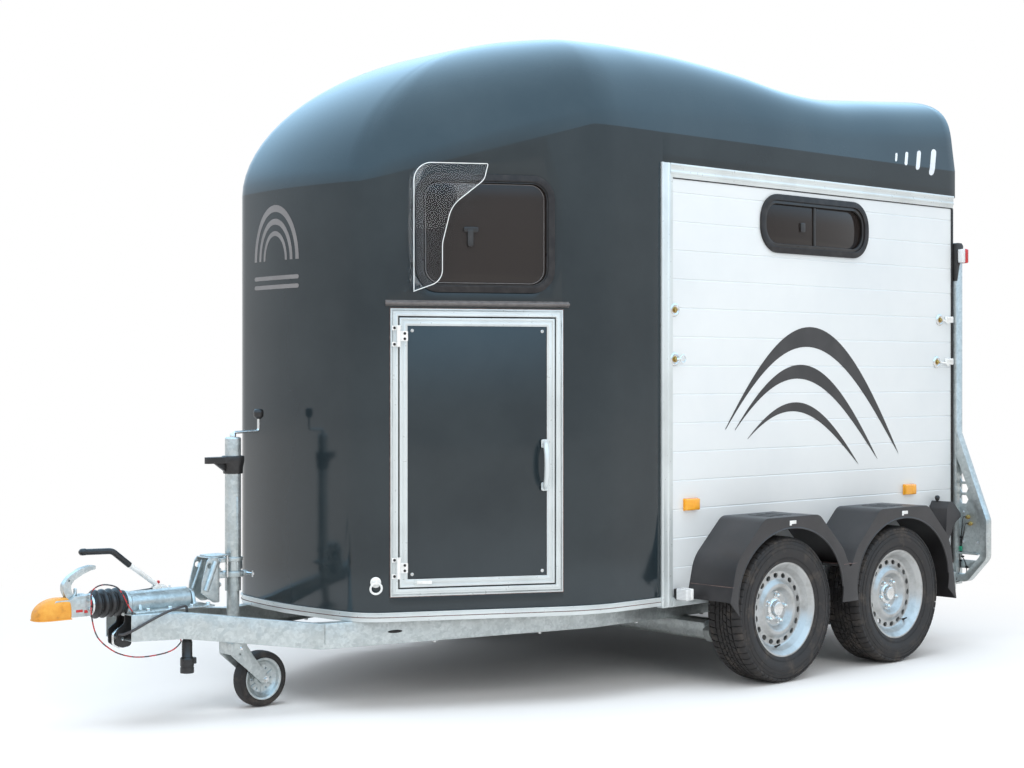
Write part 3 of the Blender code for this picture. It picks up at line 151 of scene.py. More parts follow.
def copied(piece, name, matrix):
    """A copy with its own mesh, moved by a matrix. A mirrored copy gets its faces turned back."""
    twin = piece.copy()
    twin.data = piece.data.copy()
    bpy.context.scene.collection.objects.link(twin)
    twin.name = twin.data.name = name
    twin.data.transform(matrix)
    if matrix.determinant() < 0:
        edited(twin, bpy.ops.mesh.flip_normals)
    return twin


MIRROR = Matrix.Scale(-1, 4, (1, 0, 0))

# %% [markdown]
# ## Shapes from outlines
# Sheet metal and mouldings start as a flat outline that is cut out and given a thickness, so a filled curve is made a
# mesh. Round things start as half a section and are spun about an axis. Bars and hoses follow a path.


# %% Helpers for outlines
FACING = {
    "X": Matrix(((0, 0, 1, 0), (1, 0, 0, 0), (0, 1, 0, 0), (0, 0, 0, 1))),  # outline in Y and Z
    "Y": Matrix(((1, 0, 0, 0), (0, 0, -1, 0), (0, 1, 0, 0), (0, 0, 0, 1))),  # outline in X and Z, spun about -Y
    "Z": Matrix.Identity(4),
}


def mm(table):
    """A list of numbers or points in millimetres, made metres."""
    return [round(item / 1000, 7) if isinstance(item, (int, float)) else tuple(mm(item)) for item in table]


def rounded(points, radii, closed=True, steps=8):
    """The points joined by straight runs, with an arc at each corner that has a radius."""
    path = []
    count = len(points)
    for i, (point, radius) in enumerate(zip(points, radii)):
        here = Vector(point)
        if radius == 0 or (not closed and i in (0, count - 1)):
            path.append(here)
            continue
        before = (Vector(points[i - 1]) - here).normalized()
        after = (Vector(points[(i + 1) % count]) - here).normalized()
        half = before.angle(after) / 2
        middle = here + (before + after).normalized() * radius / sin(half)
        start = here + before * radius / tan(half) - middle
        end = here + after * radius / tan(half) - middle
        turn = start.angle(end)
        for k in range(steps + 1):
            share = k / steps
            arm = (start * sin((1 - share) * turn) + end * sin(share * turn)) / sin(turn)
            path.append(middle + arm)
    return path


def bent(points, radii, steps):
    """An open line with an arc at each corner that has a radius."""
    return rounded(points, radii, closed=False, steps=steps)


def rectangle(left, right, bottom, top, radius=0.0, steps=8):
    corners = [(left, bottom), (right, bottom), (right, top), (left, top)]
    return rounded(corners, [radius] * 4, steps=steps)


def ring_of(count, radius, x=0.0, y=0.0, start=0.0):
    """Points evenly round a circle."""
    turns = [start + 2 * pi * i / count for i in range(count)]
    return [(x + radius * cos(turn), y + radius * sin(turn)) for turn in turns]


def plate(name, outlines, low, high, axis="Z", place=None):
    """A flat outline, and any holes in it, given a thickness from low to high along an axis."""
    curve = bpy.data.curves.new(name, "CURVE")
    curve.dimensions = "2D"
    curve.fill_mode = "BOTH"
    curve.extrude = (high - low) / 2
    for outline in outlines:
        spline = curve.splines.new("POLY")
        spline.points.add(len(outline) - 1)
        for point, spot in zip(spline.points, outline):
            point.co = (spot[0], spot[1], 0, 1)
        spline.use_cyclic_u = True
    piece = bpy.data.objects.new(name, curve)
    bpy.context.scene.collection.objects.link(piece)
    pick(piece)
    bpy.ops.object.convert(target="MESH")
    piece = bpy.context.object
    lift = Matrix.Translation((0, 0, (low + high) / 2))
    piece.matrix_world = (place if place is not None else FACING[axis]) @ lift
    return weld(settle(piece))


def spun(name, profile, centre=(0, 0, 0), axis="Z", steps=48, closed=False):
    """Half a section of (radius, height) points, spun all the way round an axis."""
    mesh = bpy.data.meshes.new(name)
    edges = [(i, i + 1) for i in range(len(profile) - 1)]
    if closed:
        edges.append((len(profile) - 1, 0))
    mesh.from_pydata([(radius, 0, height) for radius, height in profile], edges, [])
    piece = bpy.data.objects.new(name, mesh)
    bpy.context.scene.collection.objects.link(piece)
    edited(piece, bpy.ops.mesh.spin, steps=steps, angle=2 * pi, center=(0, 0, 0), axis=(0, 0, 1))
    piece.matrix_world = Matrix.Translation(centre) @ FACING[axis]
    return weld(settle(piece))


def turned(*spin, **settings):
    """A spun piece, shaded smooth."""
    return soften(spun(*spin, **settings), 0)


def bar(name, points, radius, sides=16, bend=0.0, steps=6):
    """A round bar through the points. A bend rounds the corners between them."""
    if bend:
        inner = [0] + [bend] * (len(points) - 2) + [0]
        points = bent(points, inner, steps)
    curve = bpy.data.curves.new(name, "CURVE")
    curve.dimensions = "3D"
    curve.bevel_depth = radius
    curve.bevel_resolution = sides // 4 - 1
    curve.use_fill_caps = True
    spline = curve.splines.new("POLY")
    spline.points.add(len(points) - 1)
    for point, spot in zip(spline.points, points):
        point.co = (*spot, 1)
    piece = bpy.data.objects.new(name, curve)
    bpy.context.scene.collection.objects.link(piece)
    pick(piece)
    bpy.ops.object.convert(target="MESH")
    return soften(weld(settle(bpy.context.object)), 0)


def block(name, low, high, edge=0.0, segments=2):
    """A cube added at a place and size, its edges rounded."""
    low, high = Vector(low), Vector(high)
    select_nothing()
    bpy.ops.mesh.primitive_cube_add(size=1, location=(low + high) / 2)
    piece = bpy.context.object
    piece.scale = high - low
    piece.name = piece.data.name = name
    return soften(settle(piece), edge, segments)


def grid(name, columns, rows):
    """A flat grid, one metre each way, whose points are then put in place."""
    select_nothing()
    bpy.ops.mesh.primitive_grid_add(x_subdivisions=columns, y_subdivisions=rows, size=1)
    piece = settle(bpy.context.object)
    piece.name = piece.data.name = name
    return piece


def fastener(name, spots, out, radius=0.008, height=0.006, sides=6):
    """Like bolt heads with a washer, one at each spot, pointing outwards."""
    out = Vector(out).normalized()
    turn = Vector((0, 0, 1)).rotation_difference(out).to_matrix().to_4x4()
    select_nothing()
    bpy.ops.mesh.primitive_cylinder_add(
        vertices=sides, radius=radius, depth=height, location=(0, 0, height / 2 + 0.001))
    head = soften(settle(bpy.context.object), radius * 0.14, 1)
    select_nothing()
    bpy.ops.mesh.primitive_cylinder_add(vertices=20, radius=radius * 1.5, depth=0.0014, location=(0, 0, 0.0007))
    washer = soften(settle(bpy.context.object), 0)
    head = joined(name, head, washer)
    copies = [copied(head, name, Matrix.Translation(spot) @ turn) for spot in spots]
    bpy.data.objects.remove(head)
    return joined(name, *copies)


def from_cad(node, name, edge=0.0015, segments=2):
    """A copy of a CAD node, merged, its flat faces whole again, and its edges rounded."""
    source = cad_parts[node]
    piece = source.copy()
    piece.data = source.data.copy()
    piece.parent = None
    for key in list(piece.keys()):
        del piece[key]
    bpy.context.scene.collection.objects.link(piece)
    piece.name = piece.data.name = name
    edited(weld(piece, 0.00005), bpy.ops.mesh.dissolve_limited, angle_limit=radians(2))
    return soften(piece, edge, segments)

# %% [markdown]
# ## Floor and light
# A plain pale floor and soft studio light show the colours about as they are written. The world is white to the eye
# and to glass. Gloss sees it pale near the horizon and a soft blue higher up, as under an open sky, which gives the
# roof its cool sheen; everything else gets a grey light. Three large soft lamps light the top, the side and the
# front.

# %% Floor, world and lamps
def node(tree, kind, inputs, **settings):
    """A shader node, its settings, and its inputs by name or number: each a value, or a socket to link."""
    made = tree.nodes.new("ShaderNode" + kind)
    for key, value in settings.items():
        setattr(made, key, value)
    for key, value in inputs.items():
        if isinstance(value, bpy.types.NodeSocket):
            tree.links.new(value, made.inputs[key])
        else:
            made.inputs[key].default_value = value
    return made.outputs


def pale_floor_finish():
    """A pale floor that catches the shadow, and fades to plain white a few metres away."""
    material = bpy.data.materials.new("studio_floor")
    material.use_nodes = True
    tree = material.node_tree
    principled = tree.nodes["Principled BSDF"]
    for key, value in (("Base Color", (0.93, 0.93, 0.93, 1)), ("Roughness", 0.9), ("Specular IOR Level", 0.1)):
        principled.inputs[key].default_value = value
    noise = node(tree, "TexNoise", {"Scale": 40})
    bump = node(tree, "Bump", {"Strength": 0.05, "Height": noise["Fac"]})
    tree.links.new(bump["Normal"], principled.inputs["Normal"])
    away = node(tree, "VectorMath", {0: node(tree, "TexCoord", {})["Object"]}, operation="LENGTH")
    fade = node(
        tree, "MapRange", {"Value": away["Value"], "From Min": 1.6, "From Max": 4.2}, interpolation_type="SMOOTHSTEP")
    plain = node(tree, "Emission", {"Color": (1, 1, 1, 1)})
    both = node(tree, "MixShader", {"Fac": fade["Result"], 1: principled.outputs["BSDF"], 2: plain["Emission"]})
    tree.links.new(both["Shader"], tree.nodes["Material Output"].inputs["Surface"])
    return material


select_nothing()
bpy.ops.mesh.primitive_plane_add(size=60, location=(0, 0, -0.0005))
studio_floor = settle(bpy.context.object)
studio_floor.name = "studio_floor"
studio_floor.data.materials.append(pale_floor_finish())

world = bpy.data.worlds.new("studio")
bpy.context.scene.world = world
world.use_nodes = True
sky = world.node_tree
for old in list(sky.nodes):
    sky.nodes.remove(old)
paths = node(sky, "LightPath", {})
seen = node(sky, "Math", {0: paths["Is Camera Ray"], 1: paths["Is Glossy Ray"]}, operation="MAXIMUM")
seen_too = node(sky, "Math", {0: seen[0], 1: paths["Is Transmission Ray"]}, operation="MAXIMUM")
height = node(sky, "SeparateXYZ", {"Vector": node(sky, "TexCoord", {})["Generated"]})
climb = node(
    sky, "MapRange", {"Value": height["Z"], "From Min": 0.05, "From Max": 0.45}, interpolation_type="SMOOTHSTEP")
sky_colour = node(
    sky, "Mix", {0: climb["Result"], 6: (0.8, 0.82, 0.84, 1), 7: (1.15, 1.85, 2.5, 1)}, data_type="RGBA")
in_gloss = node(sky, "Mix", {0: paths["Is Glossy Ray"], 6: (1, 1, 1, 1), 7: sky_colour[2]}, data_type="RGBA")
to_object = node(sky, "Background", {"Color": (0.93, 0.96, 1.0, 1), "Strength": 0.62})
to_eye = node(sky, "Background", {"Color": in_gloss[2], "Strength": 1.0})
both = node(sky, "MixShader", {"Fac": seen_too[0], 1: to_object[0], 2: to_eye[0]})
node(sky, "OutputWorld", {"Surface": both[0]})

LAMPS = (
    # name, place, aimed at, size, power, colour
    ("overhead", (0.6, -0.2, 6.5), (0, 0.2, 1.2), 7.0, 420, (0.86, 0.94, 1.0)),
    ("side", (7.0, -1.5, 4.2), (0.5, 0.4, 1.0), 4.0, 165, (1.0, 0.99, 0.97)),
    ("front", (2.2, -7.5, 3.4), (0, -0.6, 0.9), 3.0, 90, (1.0, 1.0, 1.0)),
)
for name, spot, target, size, power, colour in LAMPS:
    turn = (Vector(target) - Vector(spot)).to_track_quat("-Z", "Y").to_euler()
    select_nothing()
    bpy.ops.object.light_add(type="AREA", location=spot, rotation=turn)
    lamp = bpy.context.object
    lamp.name = lamp.data.name = "lamp_" + name
    lamp.data.size = size
    lamp.data.energy = power
    lamp.data.color = colour
    lamp.visible_glossy = False
bpy.context.scene.view_settings.view_transform = "Standard"
print(len(LAMPS), "soft lamps")

# %% [markdown]
# ## Finishes
# Every finish is a node tree on a Principled shader. Large soft noise changes the colour a little, as dirt and age
# do, and fine noise gives the bump and the roughness their grain. The helpers below add those nodes; each finish then
# sets its own numbers. Patterns read Object coordinates, so they are in metres and stay put on the piece.


# %% Helpers for finishes
class Finish:
    """A node-based material under construction."""

    def __init__(self, name, colour, roughness, metallic=0.0, slot=None, **sockets):
        self.material = bpy.data.materials.new(name)
        self.material.use_nodes = True
        self.material["slot"] = slot or name
        self.tree = self.material.node_tree
        self.shader = self.tree.nodes["Principled BSDF"].inputs
        self.height = None
        values = {"Base Color": (*colour, 1), "Roughness": roughness, "Metallic": metallic}
        values.update({key.replace("_", " "): value for key, value in sockets.items()})
        for key, value in values.items():
            self.shader[key].default_value = value
        self.material.diffuse_color = (*colour, 1)
        self.place = self.node("TexCoord", {})["Object"]

    def node(self, kind, inputs, **settings):
        return node(self.tree, kind, inputs, **settings)

    def wire(self, socket, value):
        self.tree.links.new(value, self.shader[socket])

    def stretched(self, x=1.0, y=1.0, z=1.0):
        """Object coordinates, drawn out or squeezed along the axes."""
        return self.node("Mapping", {"Scale": (x, y, z), "Vector": self.place})["Vector"]

    def noise(self, scale, detail=3.0, rough=0.55, vector=None):
        return self.node(
            "TexNoise", {"Scale": scale, "Detail": detail, "Roughness": rough, "Vector": vector or self.place})["Fac"]

    def cells(self, scale, vector=None, output="Color"):
        return self.node("TexVoronoi", {"Scale": scale, "Vector": vector or self.place}, feature="F1")[output]

    def spread(self, value, low, high, start=0.0, end=1.0):
        """A value between low and high made one between start and end."""
        return self.node(
            "MapRange", {"Value": value, "From Min": low, "From Max": high, "To Min": start, "To Max": end})["Result"]

    def colours(self, value, *stops):
        """Colour along a value: (position, colour) stops."""
        ramp = self.tree.nodes.new("ShaderNodeValToRGB")
        elements = ramp.color_ramp.elements
        for i, (position, colour) in enumerate(stops):
            element = elements[i] if i < 2 else elements.new(position)
            element.position = position
            element.color = (*colour, 1)
        self.tree.links.new(value, ramp.inputs["Fac"])
        self.wire("Base Color", ramp.outputs["Color"])

    def blend(self, share, first, second):
        """Two colours mixed by a share. A colour is a socket or three numbers."""
        first, second = [(*colour, 1) if isinstance(colour, tuple) else colour for colour in (first, second)]
        mixed = self.node("Mix", {0: share, 6: first, 7: second}, data_type="RGBA")[2]
        self.wire("Base Color", mixed)
        return mixed

    def worn(self, first, second, low, high, *noise):
        """One colour that turns into another in patches."""
        self.blend(self.spread(self.noise(*noise), low, high), first, second)

    def rough(self, value, low, high, start, end):
        self.wire("Roughness", self.spread(value, low, high, start, end))

    def relief(self, value, strength, distance=0.001):
        """Bumps from a height. Each further relief lies on the ones before."""
        inputs = {"Strength": strength, "Distance": distance, "Height": value}
        if self.height:
            inputs["Normal"] = self.height
        self.height = self.node("Bump", inputs)["Normal"]
        self.wire("Normal", self.height)


def finished(piece, finish, body="trailer", replaces=()):
    """Give a piece its finish, the body that it rides on, and the CAD nodes that it stands for."""
    piece.data.materials.clear()
    piece.data.materials.append(finish.material)
    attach(piece, body)
    if replaces:
        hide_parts(*([replaces] if isinstance(replaces, str) else replaces))
    return piece


def both_sides(piece, finish, body="trailer", replaces=()):
    """A left piece and its mirror image. A name in body or replaces that ends in _left has its twin in _right."""
    name = piece.name
    names = [replaces] if isinstance(replaces, str) else list(replaces)
    twin = copied(piece, name + "_right", MIRROR)
    piece.name = piece.data.name = name + "_left"
    finished(piece, finish, body, names)
    finished(twin, finish, body.replace("_left", "_right"), [other.replace("_left", "_right") for other in names])
    return piece, twin

# %% [markdown]
# ### Moulding, planks and profiles
# The nose and roof are one glass-fibre moulding in glossy slate gelcoat, with a faint waviness and a little dust. The
# planks are coated aluminium, rolled lengthwise. The profiles round them are the same metal, brighter.

# %% Finishes of the body
slate = Finish("slate_gelcoat", (0.016, 0.025, 0.03), 0.1, slot="gloss_slate", Specular_IOR_Level=0.5)
dust = slate.noise(2.2, 6.0, 0.6)
slate.blend(slate.spread(dust, 0.35, 0.8), (0.013, 0.021, 0.026), (0.024, 0.034, 0.039))
slate.rough(dust, 0.3, 0.8, 0.07, 0.17)
slate.relief(slate.noise(5.0, 2.0), 0.1, 0.0012)
slate.relief(slate.noise(180.0, 2.0), 0.03, 0.0002)

plank = Finish("coated_planks", (0.74, 0.77, 0.78), 0.34, 0.1, slot="white_aluminium")
rolled = plank.noise(60.0, 4.0, 0.6, plank.stretched(1.0, 0.02, 1.0))
stain = plank.noise(1.6, 5.0, 0.6)
plank.blend(plank.spread(stain, 0.35, 0.75), (0.75, 0.78, 0.79), (0.68, 0.72, 0.74))
plank.rough(rolled, 0.3, 0.7, 0.3, 0.4)
plank.relief(rolled, 0.05, 0.0002)

profile_metal = Finish("white_profile", (0.62, 0.66, 0.66), 0.32, 0.25, slot="white_aluminium")
grime = profile_metal.noise(5.0, 4.0, 0.55)
profile_metal.blend(profile_metal.spread(grime, 0.45, 0.85), (0.64, 0.68, 0.68), (0.5, 0.53, 0.53))
profile_metal.rough(profile_metal.noise(70.0, 3.0), 0.3, 0.7, 0.27, 0.37)
profile_metal.relief(profile_metal.noise(300.0, 2.0), 0.03, 0.0001)

weathered = Finish("weathered_profile", (0.17, 0.155, 0.15), 0.45, 0.3, slot="black_plastic")
weathered.worn((0.18, 0.165, 0.16), (0.11, 0.1, 0.1), 0.4, 0.75, 40.0, 4.0)

seal_rubber = Finish("seal_rubber", (0.014, 0.012, 0.012), 0.5, slot="black_plastic", Specular_IOR_Level=0.35)
chalk = seal_rubber.noise(30.0, 5.0)
seal_rubber.blend(seal_rubber.spread(chalk, 0.4, 0.8), (0.013, 0.011, 0.011), (0.034, 0.03, 0.029))
seal_rubber.relief(seal_rubber.noise(500.0, 2.0), 0.2, 0.0002)

brown_line = Finish("brown_sealant", (0.16, 0.1, 0.09), 0.6, slot="black_plastic")
brown_line.worn((0.1, 0.065, 0.06), (0.24, 0.16, 0.14), 0.4, 0.7, 60.0, 4.0)

# %% [markdown]
# ### Metals
# Hot-dip galvanised steel shows its spangle: patches of zinc crystal, each with its own brightness and its own gloss.
# A Voronoi texture gives those patches. The plated fittings are brighter, and the rims are sprayed silver.

# %% Finishes of the metal parts
galvanised = Finish("galvanised_steel", (0.56, 0.61, 0.61), 0.4, 0.75, slot="galvanised")
spangle = galvanised.cells(105.0)
coarse = galvanised.cells(42.0, galvanised.stretched(1.0, 0.8, 1.2))
streak = galvanised.noise(7.0, 6.0, 0.65)
tone = galvanised.blend(0.5, spangle, coarse)
separate = galvanised.node("SeparateColor", {"Color": tone})
bright = galvanised.spread(separate["Red"], 0.15, 0.85)
zinc = galvanised.blend(bright, (0.44, 0.47, 0.465), (0.58, 0.61, 0.6))
galvanised.blend(galvanised.spread(streak, 0.52, 0.9), zinc, (0.36, 0.38, 0.36))
galvanised.rough(separate["Green"], 0.1, 0.9, 0.28, 0.48)
galvanised.relief(galvanised.noise(260.0, 3.0), 0.1, 0.0003)

plated = Finish("plated_steel", (0.7, 0.7, 0.69), 0.22, 0.95, slot="galvanised")
tarnish = plated.noise(45.0, 5.0, 0.6)
plated.blend(plated.spread(tarnish, 0.5, 0.85), (0.74, 0.74, 0.73), (0.42, 0.4, 0.36))
plated.rough(tarnish, 0.4, 0.8, 0.16, 0.42)

rim_paint = Finish("rim_silver", (0.47, 0.47, 0.46), 0.36, 0.55, slot="silver_paint", Coat_Weight=0.15)
flake = rim_paint.noise(1400.0, 1.0)
road = rim_paint.noise(14.0, 6.0, 0.7)
rim_paint.blend(rim_paint.spread(road, 0.45, 0.8), (0.47, 0.47, 0.46), (0.26, 0.25, 0.23))
rim_paint.rough(flake, 0.3, 0.7, 0.3, 0.44)
rim_paint.relief(flake, 0.05, 0.0001)

brass = Finish("brass_holder", (0.55, 0.38, 0.12), 0.35, 0.9, slot="galvanised")
brass.worn((0.55, 0.38, 0.12), (0.32, 0.2, 0.08), 0.4, 0.7, 120.0, 4.0)

# %% [markdown]
# ### Rubber, plastics, lenses and glass
# Tyres pick up pale dust in their grooves and on the shoulder. The fenders are a dark, faintly brown plastic with a
# moulded grain. Lenses are clear plastic over a coloured body, and the windows are tinted dark.

# %% Finishes of rubber and plastic
tyre_rubber = Finish("tyre_rubber", (0.03, 0.026, 0.025), 0.72, slot="tyre_rubber", Specular_IOR_Level=0.35)
mud = tyre_rubber.noise(16.0, 8.0, 0.72)
tyre_rubber.blend(tyre_rubber.spread(mud, 0.5, 0.8), (0.028, 0.025, 0.024), (0.115, 0.095, 0.08))
tyre_rubber.rough(mud, 0.4, 0.8, 0.62, 0.92)
tyre_rubber.relief(tyre_rubber.noise(420.0, 4.0), 0.18, 0.0004)

grained = Finish("grained_plastic", (0.034, 0.031, 0.032), 0.42, slot="black_plastic")
skin_grain = grained.cells(900.0, output="Distance")
wear = grained.noise(6.0, 6.0, 0.6)
grained.blend(grained.spread(wear, 0.45, 0.8), (0.026, 0.0235, 0.024), (0.05, 0.045, 0.045))
grained.rough(wear, 0.3, 0.8, 0.36, 0.52)
grained.relief(skin_grain, 0.22, 0.0004)

smooth_black = Finish("moulded_black", (0.018, 0.017, 0.017), 0.3, slot="black_plastic")
scuff = smooth_black.noise(25.0, 6.0, 0.6)
smooth_black.blend(smooth_black.spread(scuff, 0.5, 0.85), (0.016, 0.015, 0.015), (0.05, 0.045, 0.043))
smooth_black.rough(scuff, 0.3, 0.8, 0.24, 0.5)
smooth_black.relief(smooth_black.noise(300.0, 2.0), 0.06, 0.0003)

orange_rubber = Finish("orange_rubber", (0.74, 0.34, 0.045), 0.48, slot="orange_rubber")
patina = orange_rubber.noise(19.0, 6.0, 0.65)
orange_rubber.colours(patina, (0.3, (0.8, 0.42, 0.07)), (0.58, (0.7, 0.3, 0.035)), (0.74, (0.3, 0.12, 0.03)))
orange_rubber.relief(orange_rubber.noise(120.0, 4.0), 0.2, 0.0006)

white_plastic = Finish("white_plastic", (0.8, 0.81, 0.8), 0.32, slot="white_lens")
white_plastic.worn((0.82, 0.83, 0.82), (0.62, 0.61, 0.58), 0.5, 0.8, 30.0, 5.0)
red_plastic = Finish("red_plastic", (0.5, 0.03, 0.03), 0.35, slot="red_lens")
red_plastic.worn((0.5, 0.03, 0.03), (0.26, 0.02, 0.02), 0.5, 0.8, 60.0, 4.0)
green_plastic = Finish("green_plastic", (0.02, 0.3, 0.17), 0.4, slot="black_plastic")
green_plastic.worn((0.02, 0.3, 0.17), (0.01, 0.14, 0.08), 0.5, 0.8, 80.0, 3.0)


def lens_finish(name, colour, deep, slot):
    """Coloured plastic with the ribs that spread a lamp's light."""
    lens = Finish(name, colour, 0.12, slot=slot, Coat_Weight=0.5)
    ribs = lens.node("TexWave", {"Scale": 60, "Vector": lens.place}, bands_direction="Z")["Fac"]
    lens.blend(lens.spread(ribs, 0.2, 0.9), deep, colour)
    lens.relief(ribs, 0.35, 0.0008)
    return lens


red_lens = lens_finish("red_lens", (0.62, 0.02, 0.02), (0.34, 0.008, 0.008), "red_lens")
amber_lens = lens_finish("amber_lens", (0.95, 0.5, 0.02), (0.85, 0.3, 0.006), "orange_rubber")
white_lens = lens_finish("white_lens", (0.82, 0.83, 0.83), (0.58, 0.6, 0.61), "white_lens")

tinted_glass = Finish(
    "tinted_glass", (0.042, 0.034, 0.031), 0.03, slot="dark_glass", Transmission_Weight=0.45, IOR=1.4)
smear = tinted_glass.noise(12.0, 5.0)
tinted_glass.rough(smear, 0.4, 0.8, 0.02, 0.07)
acrylic = Finish("clear_acrylic", (0.97, 0.985, 1.0), 0.02, slot="clear_acrylic", Transmission_Weight=1.0, IOR=1.18)
acrylic.rough(acrylic.noise(20.0, 6.0), 0.5, 0.85, 0.01, 0.06)

# %% [markdown]
# ### Inside, and the printed shapes
# The floor is ply under a studded rubber mat, the bars and the partition are covered with soft black vinyl, and the
# rear curtain is a coated cloth whose weave follows its own UV map. The printed shapes are plain film.

# %% Finishes of the inside and the film
mat_rubber = Finish("rubber_mat", (0.045, 0.042, 0.04), 0.7, slot="floor_board")
studs = mat_rubber.cells(38.0, output="Distance")
mat_rubber.relief(studs, 0.6, 0.002)
mat_rubber.worn((0.04, 0.037, 0.035), (0.1, 0.08, 0.06), 0.45, 0.8, 5.0, 6.0)

vinyl = Finish("padded_vinyl", (0.035, 0.035, 0.038), 0.48, slot="padding", Sheen_Weight=0.15)
leather_grain = vinyl.cells(420.0, output="Distance")
vinyl.relief(leather_grain, 0.35, 0.0006)
vinyl.relief(vinyl.noise(18.0, 3.0), 0.12, 0.002)
vinyl.worn((0.032, 0.032, 0.035), (0.07, 0.068, 0.068), 0.4, 0.8, 7.0, 5.0)

curtain_cloth = Finish("curtain_cloth", (0.045, 0.052, 0.056), 0.7, slot="curtain_cloth", Sheen_Weight=0.25)
threads = curtain_cloth.node("UVMap", {})["UV"]
weave = [
    curtain_cloth.node("TexWave", {"Scale": 190, "Vector": threads}, bands_direction=direction)["Fac"]
    for direction in ("X", "Y")]
for threads_across in weave:
    curtain_cloth.relief(threads_across, 0.3, 0.0004)
curtain_cloth.blend(curtain_cloth.spread(weave[0], 0.2, 0.9), (0.036, 0.042, 0.046), (0.056, 0.064, 0.068))

dark_film = Finish("dark_film", (0.03, 0.028, 0.028), 0.38, slot="black_plastic")
dark_film.worn((0.028, 0.026, 0.026), (0.048, 0.045, 0.045), 0.4, 0.8, 8.0, 4.0)
white_film = Finish("white_film", (0.74, 0.79, 0.83), 0.35, slot="white_lens")
white_film.worn((0.75, 0.8, 0.84), (0.66, 0.7, 0.74), 0.4, 0.8, 8.0, 4.0)
grey_film = Finish("grey_film", (0.2, 0.19, 0.19), 0.4, slot="black_plastic")
grey_film.worn((0.21, 0.2, 0.2), (0.16, 0.15, 0.15), 0.4, 0.8, 8.0, 4.0)

cable_red = Finish("red_sheath", (0.42, 0.025, 0.025), 0.38, slot="red_lens")
cable_red.worn((0.45, 0.03, 0.03), (0.03, 0.022, 0.022), 0.47, 0.53, 38.0, 2.0)
braid = Finish("braided_sheath", (0.035, 0.033, 0.034), 0.5, slot="black_plastic")
strands = braid.cells(520.0, output="Distance")
braid.relief(strands, 0.5, 0.0008)
braid.blend(braid.spread(strands, 0.2, 0.8), (0.03, 0.028, 0.029), (0.075, 0.07, 0.07))
print(len(bpy.data.materials), "materials so far")

# %% [markdown]
# ## The two free cables
# A thin steel cable in a plastic sheath pulls the brake on if the trailer breaks loose: it leaves a hole in the left
# drawbar rail, loops over the bellows and hangs back under the rail. The seven-core lead leaves the foot of the
# overrun housing and runs over the rail to its parked plug. Both follow the routes of their CAD solids, on one smooth
# curve, and keep one thickness, so each is a tube along a path.

# %% Breakaway cable and trailer lead
BREAKAWAY_ROUTE = mm([
    (80, -1861, 407.3), (80, -1861, 419), (83, -1876, 438), (70, -1892, 479), (45, -1905, 506), (12, -1941, 513),
    (34, -1993, 498), (50, -2005, 460), (52, -2005, 410), (46, -1979, 336), (52, -1924, 284), (62, -1870, 260),
    (80, -1819, 253), (110, -1760, 261), (128, -1722, 275), (135, -1697, 298), (135, -1697, 311.7)])
# the lead's last point is inside the plug
LEAD_ROUTE = mm([
    (35.3, -1887, 335), (49, -1887, 335), (75, -1888, 340), (105, -1870, 355), (128, -1820, 385), (145, -1765, 412),
    (148, -1715, 425), (130, -1672, 425), (105, -1652, 400), (100, -1648, 365), (100, -1648, 335.3), (100, -1648, 318)
])


def smooth_route(points, steps=5):
    """A curve through every point, its tangent at each taken from the two neighbours."""
    path = [Vector(point) for point in points]
    ends = [2 * path[0] - path[1]] + path + [2 * path[-1] - path[-2]]
    places = []
    for before, start, end, after in zip(ends, ends[1:], ends[2:], ends[3:]):
        for k in range(steps):
            t = k / steps
            places.append(
                (
                    2 * start + (end - before) * t + (
                        2 * before - 5 * start + 4 * end - after
                    ) * t * t + (3 * start - before - 3 * end + after) * t * t * t) / 2)
    return places + [path[-1]]


def route_length(path):
    return sum((b - a).length for a, b in zip(path, path[1:]))


breakaway_path = smooth_route(BREAKAWAY_ROUTE)
breakaway_cable = finished(
    bar("red_breakaway_cable", breakaway_path, 0.0025, 12), cable_red, replaces="breakaway_cable")

PLUG_PLACE = Vector((0.1, -1.648, 0))
plug_section = mm([
    (0, 335), (8.5, 335), (10, 332), (11, 320), (13.5, 302), (16.5, 299), (18.5, 292), (19, 288), (19, 240),
    (20.5, 238), (24.5, 233), (25, 230), (25, 206), (23.5, 205), (23.5, 201), (25, 200), (25, 183), (24, 180),
    (20.5, 180), (20.5, 186), (0, 186)])
plug_body = turned("plug_body", plug_section, PLUG_PLACE, steps=40)
plug_lug = block("plug_lug", (0.092, -1.633, 0.21), (0.108, -1.612, 0.234), 0.003)
ribs = [block("rib", (0.0975, -1.669, z), (0.1025, -1.666, z + 0.004), 0.0006) for z in (0.245, 0.255, 0.265, 0.275)]
trailer_plug = finished(joined("parked_plug", plug_body, plug_lug, *ribs), smooth_black, replaces="plug")
lead_path = smooth_route(LEAD_ROUTE)
trailer_lead = finished(bar("trailer_lead", lead_path, 0.005, 16), braid, replaces="plug_cable")
print("cable %.2f m, lead %.2f m" % (route_length(breakaway_path), route_length(lead_path)))

# %% [markdown]
# ## The moulding
# Nose and roof are one skin of glass fibre. Seen from above, the front is a shallow arc, then a round corner, a flat
# facet that carries the tack door, and a second, wider corner into the side. Each column of the skin climbs from the
# skirt to a crease and then over to the ridge. A grid is added, and its points are put on those columns; a Mirror and
# a Solidify modifier make the rest. The crease is a marked sharp edge, because the light breaks there.

